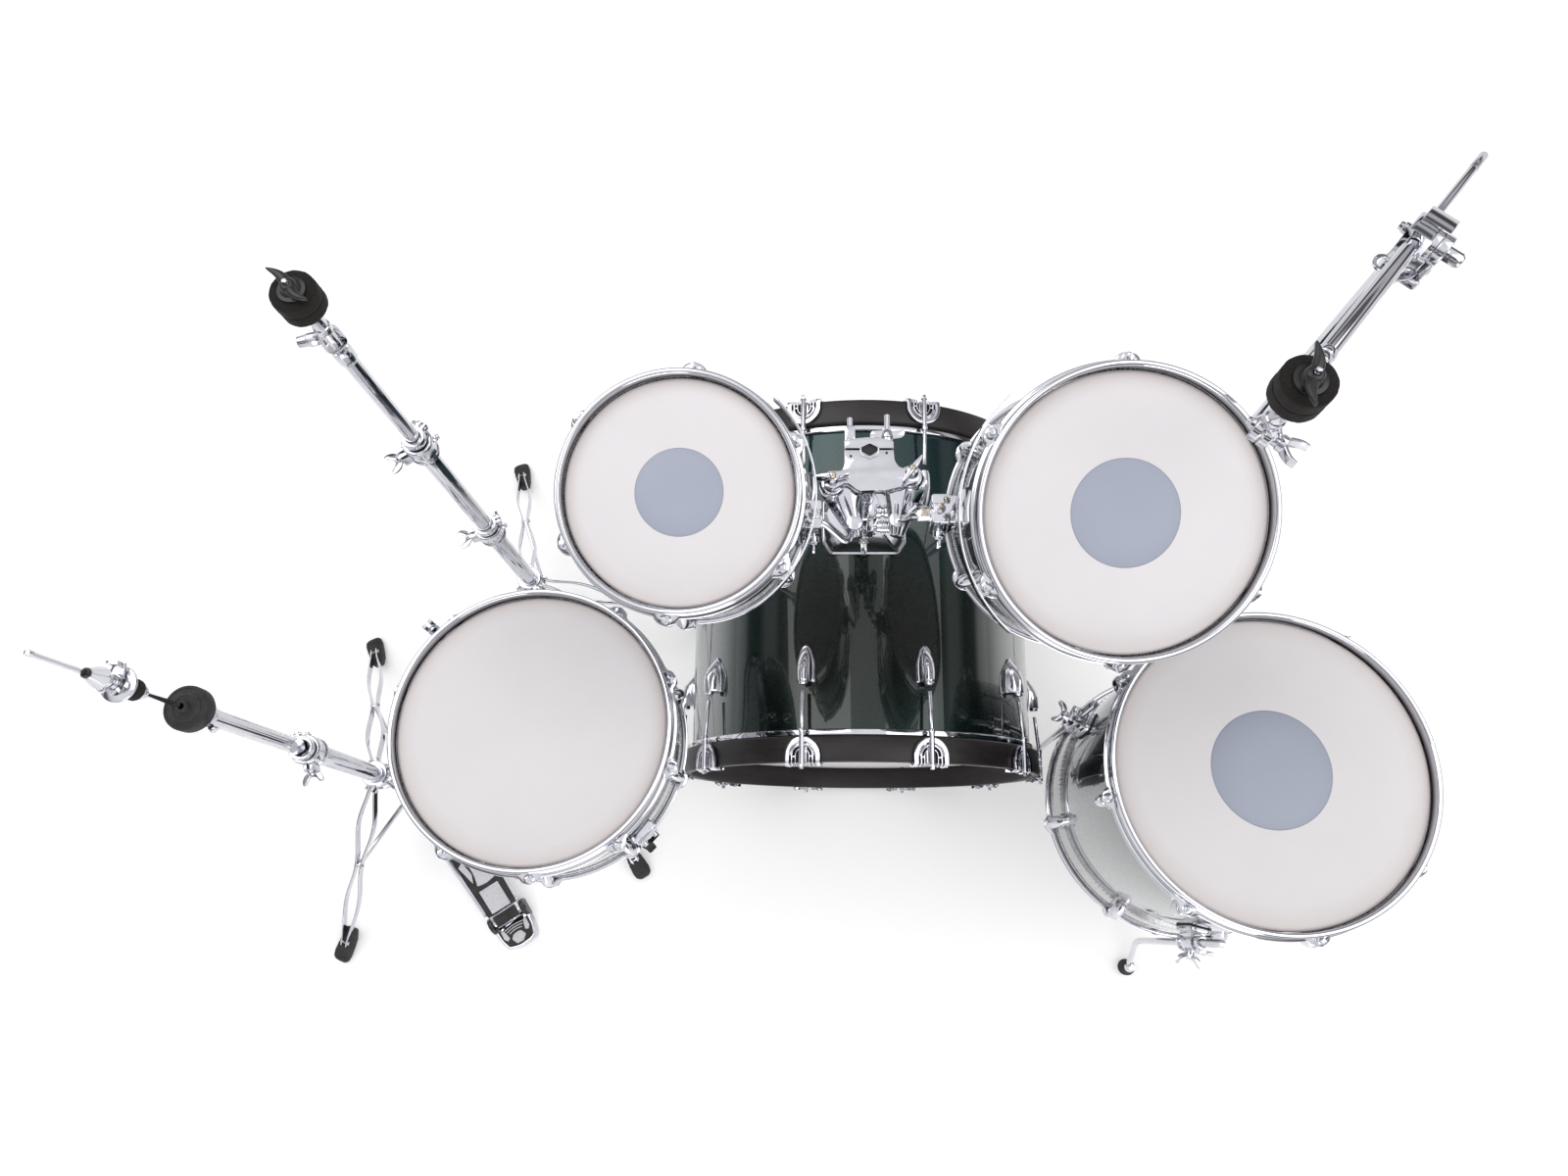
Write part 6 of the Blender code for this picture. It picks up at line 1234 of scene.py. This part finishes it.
for deg in (75, 195, 315):
    a = math.radians(deg)
    o, s_ = Vector((math.cos(a), math.sin(a), 0)), Vector((-math.sin(a), math.cos(a), 0))
    rr = SNARE_R + 0.0120
    c0 = Vector((cx, cy, 0))
    pts = [HUB + o * 0.014 + Vector((0, 0, 0.016)), c0 + o * (rr * 0.45) + Vector((0, 0, HOOP_LOW - 0.034)), c0 + o * (rr - 0.030) + Vector((0, 0, HOOP_LOW - 0.028)), c0 + o * (rr + 0.002) + Vector((0, 0, HOOP_LOW - 0.0125))]
    for sg in (-1, 1):
        bas.append(swept([p + s_ * sg * 0.0045 for p in spline(pts, 6)], flat(0.0026, 0.0100, 0.0006), s_))
    bas += [rod(pts[1] - s_ * 0.0068, pts[1] + s_ * 0.0068, 0.0030, 14), rod(pts[2] - s_ * 0.0068, pts[2] + s_ * 0.0068, 0.0030, 14)]
    fm = Matrix.Translation(Vector((cx, cy, HOOP_LOW)) + o * (rr + 0.0052)) @ Matrix.Rotation(a, 4, "Z")
    bas.append(block((-0.0072, 0, -0.0075), (0.0250, 0.0130, 0.0050), fm, 0.001))
    tips.append(block((0, 0, 0.0120), (0.0088, 0.0118, 0.0460), fm, 0.0026))
    tips.append(block((-0.0072, 0, -0.0033), (0.0310, 0.0128, 0.0055), fm, 0.0024))
    tips += [block((0.0046, 0, 0.0050 + 0.0070 * k), (0.0012, 0.0104, 0.0022), fm, 0.0004) for k in range(4)]
piece("snare_basket_arms", "snare", "chrome", bas, ["snare_basket"], bevel=0.0005)
piece("snare_basket_tips", "snare", "black_rubber", tips, bevel=0.0008)

# ---------------------------------------------------------------- hi-hat
hx, hy = HIHAT_AT
HP = Vector((hx, hy, 0))
HG = Vector((-0.5770, 0.0155, 0.0300))
PEDAL_DIR = math.radians(-57)
PD = Vector((math.cos(PEDAL_DIR), math.sin(PEDAL_DIR), 0))
PS = Vector((-PD.y, PD.x, 0))
HG0 = Vector((HG.x, HG.y, 0))
near = HG0 - PD * 0.250 + Vector((0, 0, 0.008))
extra = [swept(bent([HP + Vector((0, 0, 0.008)), near, HG0 - PD * 0.012 + Vector((0, 0, 0.008))], 0.020, 6), flat(0.0300, 0.0060, 0.0016), PS)]
extra += [swept([near + PS * sg * 0.0120 + Vector((0, 0, 0.0040)), HG0 - PD * 0.034 + PS * sg * 0.0120 + Vector((0, 0, 0.0120))], flat(0.0026, 0.0046, 0.0008), PS) for sg in (-1, 1)]
extra += [turned([(0, 0.004), (0.0180, 0.004), (0.0190, 0.006), (0.0190, 0.046), (0.0175, 0.050), (0, 0.050)], 40, HP)]
YOKE = HG0 - PD * 0.2460
yd = (YOKE - HP).normalized()
extra += height_clamp(HIHAT_AT, 0.530, 0.0143, 285) + memory_lock(HIHAT_AT, 0.5334, 0.0117, 120)
tripod("hihat_stand", "kit", HIHAT_AT, (-112, 115, 20), 0.335, 0.245, 0.075, 0.0143, 0.0121, 0.530, ["hihat_base"], 285, extra, slot=(math.atan2(yd.y, yd.x), 0.0055, 0.0540, 0.1170))
piece("hihat_bushing", "kit", "black_plastic", [ferrule(HIHAT_AT, 0.5300, 0.0119)], bevel=0)
tube = [turned([(0.0117, 0.300), (0.0117, 0.796), (0.0150, 0.797), (0.0154, 0.800), (0.0154, 0.8165), (0.0145, 0.8200), (0.0100, 0.8200), (0.0100, 0.300)], 40, HP)]
tube += [extruded([((0.0153 + 0.0006 * (k % 2)) * math.cos(PI * k / 30), (0.0153 + 0.0006 * (k % 2)) * math.sin(PI * k / 30)) for k in range(60)], 0.0090, Matrix.Translation(HP + Vector((0, 0, 0.8030))), low=0)]
piece("hihat_upper_tube", "hihat_column", "chrome", tube, ["hihat_tube"], bevel=0.0005)
seat = turned([(0.0042, 0.8204), (0.0135, 0.8204), (0.0200, 0.8225), (0.0262, 0.8262), (0.0278, 0.8300), (0.0280, 0.8430), (0.0274, 0.8460), (0.0258, 0.8474), (0.0242, 0.8476), (0.0238, 0.8466), (0.0192, 0.8468), (0.0188, 0.8476),
               (0.0150, 0.8478), (0.0146, 0.8468), (0.0104, 0.8470), (0.0100, 0.8478), (0.0042, 0.8480)], 72, HP)
sleeve = turned([(0.0040, 0.8470), (0.0086, 0.8470), (0.0074, 0.8490), (0.0064, 0.8560), (0.0056, 0.8572), (0.0040, 0.8572)], 28, HP)
piece("hihat_seat_cup", "hihat_column", "black_rubber", [seat, sleeve], ["hihat_seat"], bevel=0)
a = math.radians(-38)
o = Vector((math.cos(a), math.sin(a), 0))
ss = HP + o * 0.0200 + Vector((0, 0, 0.8290))
screw = [stepped(ss, ss + o * 0.0120, [(0, 0.0024), (0.0120, 0.0024)], 16)] + [stepped(ss + o * (0.0030 + 0.0022 * k), ss + o * (0.0044 + 0.0022 * k), [(0, 0.0036), (0.0014, 0.0036)], 16) for k in range(4)]
screw += [stepped(ss + o * 0.0125, ss + o * 0.0200, [(0, 0.0050), (0.0060, 0.0054), (0.0075, 0.0044)], 12)]
piece("hihat_seat_screw", "hihat_column", "chrome", screw, bevel=0.0003)
prod = [stepped(HP + Vector((0, 0, 0.0965)), HP + Vector((0, 0, 1.1218)), [(0, 0.0030), (1.0175, 0.0030), (1.0175, 0.0036), (1.0235, 0.0036), (1.0251, 0.0030)], 20), swept([HP + Vector((0, 0, 0.1115)), YOKE + Vector((0, 0, 0.1115))], flat(0.0080, 0.0060, 0.0012), (0, 0, 1)),
        turned([(0, 0.1060), (0.0052, 0.1060), (0.0060, 0.1070), (0.0060, 0.1160), (0.0050, 0.1170), (0, 0.1170)], 24, HP)]
ym = Matrix.Translation(YOKE + Vector((0, 0, 0.1115))) @ Matrix.Rotation(PEDAL_DIR, 4, "Z")
prod += [block((0, 0, 0), (0.0090, 0.0220, 0.0070), ym, 0.002)]
piece("hihat_pull_rod", "pull_rod", "chrome", prod, ["hihat_pull_rod"], bevel=0.0004)

# clutch: faceted cone nut above, winged flange disc, one felt, lower nut
facets = []
for z, r, k in ((1.0070, 0.0096, 1.0), (1.0080, 0.0118, 1.0), (1.0100, 0.0124, 1.0), (1.0135, 0.0120, 0.90), (1.0290, 0.0070, 0.88), (1.0315, 0.0058, 1.0)):
    facets.append([(r * (k if j % 2 else 1.0) * math.cos(2 * PI * j / 16), r * (k if j % 2 else 1.0) * math.sin(2 * PI * j / 16), z) for j in range(16)])
cl = [moved(lofted(facets), HP)]
cl += [turned([(0.0034, 0.9840), (0.0086, 0.9850), (0.0086, 0.9920), (0.0074, 0.9930), (0.0074, 0.9965), (0.0086, 0.9975), (0.0086, 1.0040), (0.0070, 1.0055), (0.0066, 1.0080), (0.0034, 1.0080)], 32, HP)]
cl += [turned([(0.0034, 0.9746), (0.0190, 0.9748), (0.0204, 0.9758), (0.0206, 0.9772), (0.0200, 0.9790), (0.0130, 0.9802), (0.0100, 0.9830), (0.0086, 0.9856), (0.0034, 0.9856)], 56, HP)]
cl += [turned([(0.0034, 0.9330), (0.0074, 0.9330), (0.0084, 0.9338), (0.0086, 0.9420), (0.0034, 0.9420)], 8, HP), turned([(0.0034, 0.9420), (0.0104, 0.9422), (0.0114, 0.9434), (0.0110, 0.9466), (0.0034, 0.9472)], 36, HP),
       threaded(HP + Vector((0, 0, 0.9466)), HP + Vector((0, 0, 0.9760)), 0.0050, 0.0012)]
ca = math.radians(85)
co = Vector((math.cos(ca), math.sin(ca), 0))
cl += [extruded(rounded([(0.0050, -0.0065), (0.0150, -0.0075), (0.0235, -0.0065), (0.0235, 0.0065), (0.0150, 0.0075), (0.0050, 0.0065)], 0.0015, 3), 0.0030, Matrix.Translation(HP + Vector((0, 0, 0.9830))) @ Matrix.Rotation(ca, 4, "Z"), low=0),
       block((0.0200, 0, 0.0085), (0.0050, 0.0130, 0.0140), Matrix.Translation(HP + Vector((0, 0, 0.9830))) @ Matrix.Rotation(ca, 4, "Z"), 0.0012)]
ca = math.radians(235)
co = Vector((math.cos(ca), math.sin(ca), 0))
cl += [stepped(HP + co * 0.0050 + Vector((0, 0, 0.9950)), HP + co * 0.0140 + Vector((0, 0, 0.9950)), [(0, 0.0034), (0.0040, 0.0034), (0.0040, 0.0050), (0.0080, 0.0050), (0.0090, 0.0040)], 20)]
piece("hihat_clutch_metalwork", "clutch", "chrome", cl, ["hihat_clutch"], bevel=0.0005)
felt_stack("clutch_felts", "clutch", HIHAT_AT, 0.9474, 0.0270, 0.0125, [], n=2)
piece("clutch_ring", "clutch", "black_plastic", [turned([(0.0034, 1.0310), (0.0052, 1.0310), (0.0057, 1.0318), (0.0057, 1.0338), (0.0050, 1.0348), (0.0034, 1.0350)], 36, HP)], bevel=0)

# footboard: silver frame, black rubber pad with ribs
TOE = math.atan2(0.1060 - 0.002 - HG.z, 0.262)
board_m = Matrix.Translation(HG) @ Matrix((-PD, -PS, Vector((0, 0, 1)))).transposed().to_4x4() @ Matrix.Rotation(-TOE, 4, "Y")
plate = rounded([(0.004, -0.0280), (0.0190, -0.0280), (0.0200, -0.0345), (0.170, -0.041), (0.235, -0.036), (0.262, -0.016), (0.262, 0.016), (0.235, 0.036), (0.170, 0.041), (0.0200, 0.0345), (0.0190, 0.0280), (0.004, 0.0280)],
                [0.002, 0.001, 0.002, 0.05, 0.03, 0.012, 0.012, 0.03, 0.05, 0.002, 0.001, 0.002], 5)
fb = [extruded(plate, 0.0066, board_m, low=-0.0010), rod(HG - PS * 0.0280, HG + PS * 0.0280, 0.0070, 28)]
fb += [moved(rod((0.2480, -0.0140, 0.0058), (0.2480, 0.0140, 0.0058), 0.0022, 14), board_m)]
for sg in (-1, 1):
    # a raised rail along each side, and a bright strip beside the hinge
    rail = spline([(0.0210, sg * 0.0322, 0.0060), (0.0900, sg * 0.0354, 0.0060), (0.1600, sg * 0.0380, 0.0060), (0.2150, sg * 0.0350, 0.0060), (0.2450, sg * 0.0240, 0.0060)], 8)
    fb.append(moved(swept(rail, flat(0.0052, 0.0040, 0.0008), (0, 0, 1)), board_m))
fb += [moved(rod((x, -0.0225, 0.0079), (x, 0.0225, 0.0079), 0.0009, 10), board_m) for x in (0.0145, -0.0085)]
piece("footboard_plate", "footboard", "chrome", fb, ["hihat_footboard"], bevel=0.0008)
pad = rounded([(0.016, -0.0290), (0.168, -0.0345), (0.226, -0.0300), (0.246, -0.0130), (0.246, 0.0130), (0.226, 0.0300), (0.168, 0.0345), (0.016, 0.0290)], [0.002, 0.05, 0.02, 0.01, 0.01, 0.02, 0.05, 0.002], 5)
pads = [extruded(pad, 0.0018, board_m, low=0.0054), extruded(rounded([(-0.0095, -0.0230), (0.0135, -0.0230), (0.0135, 0.0230), (-0.0095, 0.0230)], 0.002, 3), 0.0014, board_m, low=0.0062)]
for k in range(9):
    x = 0.1440 + 0.0105 * k
    hw = 0.0270 - max(0.0, x - 0.175) * 0.24
    pads.append(moved(swept([(x + 0.005 * (1 - (2 * j / 14 - 1) ** 2), hw * (2 * j / 14 - 1), 0.0074) for j in range(15)], flat(0.0034, 0.0016, 0.0004), (1, 0, 0)), board_m))
piece("footboard_pad", "footboard", "black_rubber", pads, bevel=0.0004)
ins = [extruded(rounded([(0.0190, -0.0190), (0.0665, -0.0190), (0.0665, 0.0190), (0.0190, 0.0190)], 0.0008, 3), 0.0009, board_m, low=0.0070)]
ins += [extruded(rounded([(0.0770, -0.0190), (0.0740, 0.0), (0.0770, 0.0160), (0.1020, 0.0100), (0.1280, 0.0125), (0.1330, 0.0), (0.1280, -0.0190)], [0.002, 0.015, 0.002, 0.02, 0.003, 0.012, 0.003], 5), 0.0009, board_m, low=0.0070)]
ins += [extruded(rounded([(0.0850, 0.0200), (0.1240, 0.0285), (0.1300, 0.0180), (0.1020, 0.0138)], 0.0012, 3), 0.0009, board_m, low=0.0070)]
piece("footboard_insets", "footboard", "grey_inset", ins, bevel=0.0003)

heel_m = Matrix.Translation(HG0) @ Matrix((-PD, -PS, Vector((0, 0, 1)))).transposed().to_4x4()
heel = rounded([(-0.014, -0.0350), (-0.014, 0.0350), (-0.034, 0.0335), (-0.0530, 0.0272), (-0.0606, 0.0060), (-0.0590, -0.0190), (-0.0546, -0.0290), (-0.034, -0.0350)], [0.003, 0.003, 0.02, 0.0020, 0.03, 0.008, 0.006, 0.02], 5)
hp = [extruded(heel, 0.0206, heel_m, low=0.0)]
ears = [moved(extruded(rounded([(-0.0160, 0), (0.0160, 0), (0.0160, 0.0240), (0.0090, 0.0380), (-0.0090, 0.0380), (-0.0160, 0.0240)], 0.004, 3), 0.0076), heel_m @ Matrix.Translation((0, y, 0)) @ Matrix.Rotation(PI / 2, 4, "X")) for y in (-0.0330, 0.0330)]
hp += [block((-0.0092, 0, 0.0050), (0.0416, 0.0720, 0.0100), heel_m, 0.003)]
ears += [moved(rod((0, y, 0.0300), (0, y + sg * 0.0016, 0.0300), 0.0050, 6), heel_m) for y, sg in ((-0.0366, -1), (0.0366, 1))]
piece("heel_plate_hinge_ears", "kit", "black_plastic", ears, bevel=0.0006)
# the raised rim round the pad
rim = [(x, y, 0.0206) for x, y in rounded([(-0.0150, -0.0318), (-0.034, -0.0318), (-0.0530, -0.0262), (-0.0566, -0.0180), (-0.0582, 0.0055), (-0.0512, 0.0250), (-0.034, 0.0310), (-0.0150, 0.0325)], [0.001, 0.02, 0.005, 0.008, 0.03, 0.002, 0.02, 0.001], 5)]
hp += [moved(swept(rim, flat(0.0030, 0.0034, 0.0006), (0, 0, 1)), heel_m)]
piece("heel_plate_casting", "kit", "chrome", hp, ["hihat_heel_plate"], bevel=0.0008)
hpad = rounded([(-0.0165, -0.0300), (-0.0165, 0.0305), (-0.034, 0.0295), (-0.0500, 0.0240), (-0.0562, 0.0055), (-0.0546, -0.0175), (-0.0515, -0.0250), (-0.034, -0.0302)], [0.001, 0.001, 0.02, 0.002, 0.03, 0.008, 0.004, 0.02], 5)
piece("heel_plate_pad", "kit", "black_rubber", [extruded(hpad, 0.0016, heel_m, low=0.0202)], bevel=0.0004)
hi = [extruded(rounded([(-0.0335, -0.0080), (-0.0320, 0.0), (-0.0335, 0.0080), (-0.0400, 0.0135), (-0.0512, 0.0080), (-0.0520, -0.0040), (-0.0440, -0.0135)], [0.001, 0.01, 0.001, 0.002, 0.001, 0.001, 0.002], 3), 0.0008, heel_m, low=0.0215)]
hi += [extruded(rounded([(-0.0175, sg * 0.0205), (-0.0175, sg * 0.0262), (-0.0330, sg * 0.0262), (-0.0390, sg * 0.0215), (-0.0360, sg * 0.0160), (-0.0260, sg * 0.0180)], 0.0008, 2), 0.0008, heel_m, low=0.0215) for sg in (-1, 1)]
hi += [moved(swept([(x + 0.0022 * (1 - (2 * j / 8 - 1) ** 2), hw * (2 * j / 8 - 1), 0.0221) for j in range(9)], flat(0.0016, 0.0012, 0.0003), (1, 0, 0)), heel_m) for x, hw in ((-0.0200, 0.0185), (-0.0245, 0.0165), (-0.0290, 0.0130))]
piece("heel_plate_insets", "kit", "grey_inset", hi, bevel=0.0002)

# ---------------------------------------------------------------- studio: pale floor, soft light
floor_mat = bpy.data.materials.new("studio_floor")
floor_mat.use_nodes = True
fb_ = floor_mat.node_tree.nodes["Principled BSDF"]
fb_.inputs["Base Color"].default_value = (0.80, 0.80, 0.80, 1)
fb_.inputs["Roughness"].default_value = 0.85
fb_.inputs["Specular IOR Level"].default_value = 0.1
fb_.inputs["Emission Color"].default_value = (1, 1, 1, 1)
fb_.inputs["Emission Strength"].default_value = 0.26
me = bpy.data.meshes.new("studio_floor")
me.from_pydata([(-14, -14, -0.0002), (14, -14, -0.0002), (14, 14, -0.0002), (-14, 14, -0.0002)], [], [(0, 1, 2, 3)])
me.materials.append(floor_mat)
floor = bpy.data.objects.new("studio_floor", me)
scene.collection.objects.link(floor)

world = bpy.data.worlds.new("studio")
scene.world = world
world.use_nodes = True
wn = world.node_tree
wn.nodes.clear()
tc = wn.nodes.new("ShaderNodeTexCoord")
sep = wn.nodes.new("ShaderNodeSeparateXYZ")
ramp = wn.nodes.new("ShaderNodeValToRGB")
bg = wn.nodes.new("ShaderNodeBackground")
out = wn.nodes.new("ShaderNodeOutputWorld")
wn.links.new(tc.outputs["Generated"], sep.inputs["Vector"])
wn.links.new(sep.outputs["Z"], ramp.inputs["Fac"])
wn.links.new(ramp.outputs["Color"], bg.inputs["Color"])
# the backdrop itself is plain and pale; the bands are only what the chrome and lacquer reflect
plain = wn.nodes.new("ShaderNodeBackground")
plain.inputs["Color"].default_value = (0.93, 0.93, 0.935, 1)
seen = wn.nodes.new("ShaderNodeLightPath")
either = wn.nodes.new("ShaderNodeMixShader")
wn.links.new(seen.outputs["Is Camera Ray"], either.inputs["Fac"])
wn.links.new(bg.outputs["Background"], either.inputs[1])
wn.links.new(plain.outputs["Background"], either.inputs[2])
wn.links.new(either.outputs["Shader"], out.inputs["Surface"])
# brightness against the height of the direction: 0 is level, 1 is straight up
stops = [(0.0, 1.05), (0.10, 1.00), (0.17, 0.10), (0.31, 0.07), (0.40, 0.60), (0.50, 0.62), (0.56, 0.12), (0.63, 0.14), (0.73, 0.88), (0.88, 1.12), (1.0, 1.08)]
e = ramp.color_ramp.elements
while len(e) < len(stops):
    e.new(0.5)
for el, (pos, v) in zip(e, stops):
    el.position = pos
    el.color = (v, v, v * 1.01, 1)
bg.inputs["Strength"].default_value = 1.0


def area(name, at, aim, size, power, size_y=None):
    d = bpy.data.lights.new(name, "AREA")
    d.energy = power
    d.size = size
    if size_y:
        d.shape = "RECTANGLE"
        d.size_y = size_y
    ob = bpy.data.objects.new(name, d)
    scene.collection.objects.link(ob)
    at, aim = Vector(at), Vector(aim)
    ob.matrix_world = axes(at, (1, 0.02, 0), at - aim)
    ob.visible_camera = False
    return ob


area("key", (-1.6, 0.9, 3.4), (0, 0, 0.3), 2.6, 42)
area("fill", (2.0, -0.2, 3.2), (0.2, 0, 0.3), 2.4, 34)
area("low front", (0.1, -2.7, 0.9), (0, 0, 0.35), 1.7, 26)
scene.view_settings.view_transform = "Standard"
scene.view_settings.look = "None"
scene.view_settings.exposure = 0.0
scene.cycles.use_denoising = True
scene.cycles.max_bounces = 8
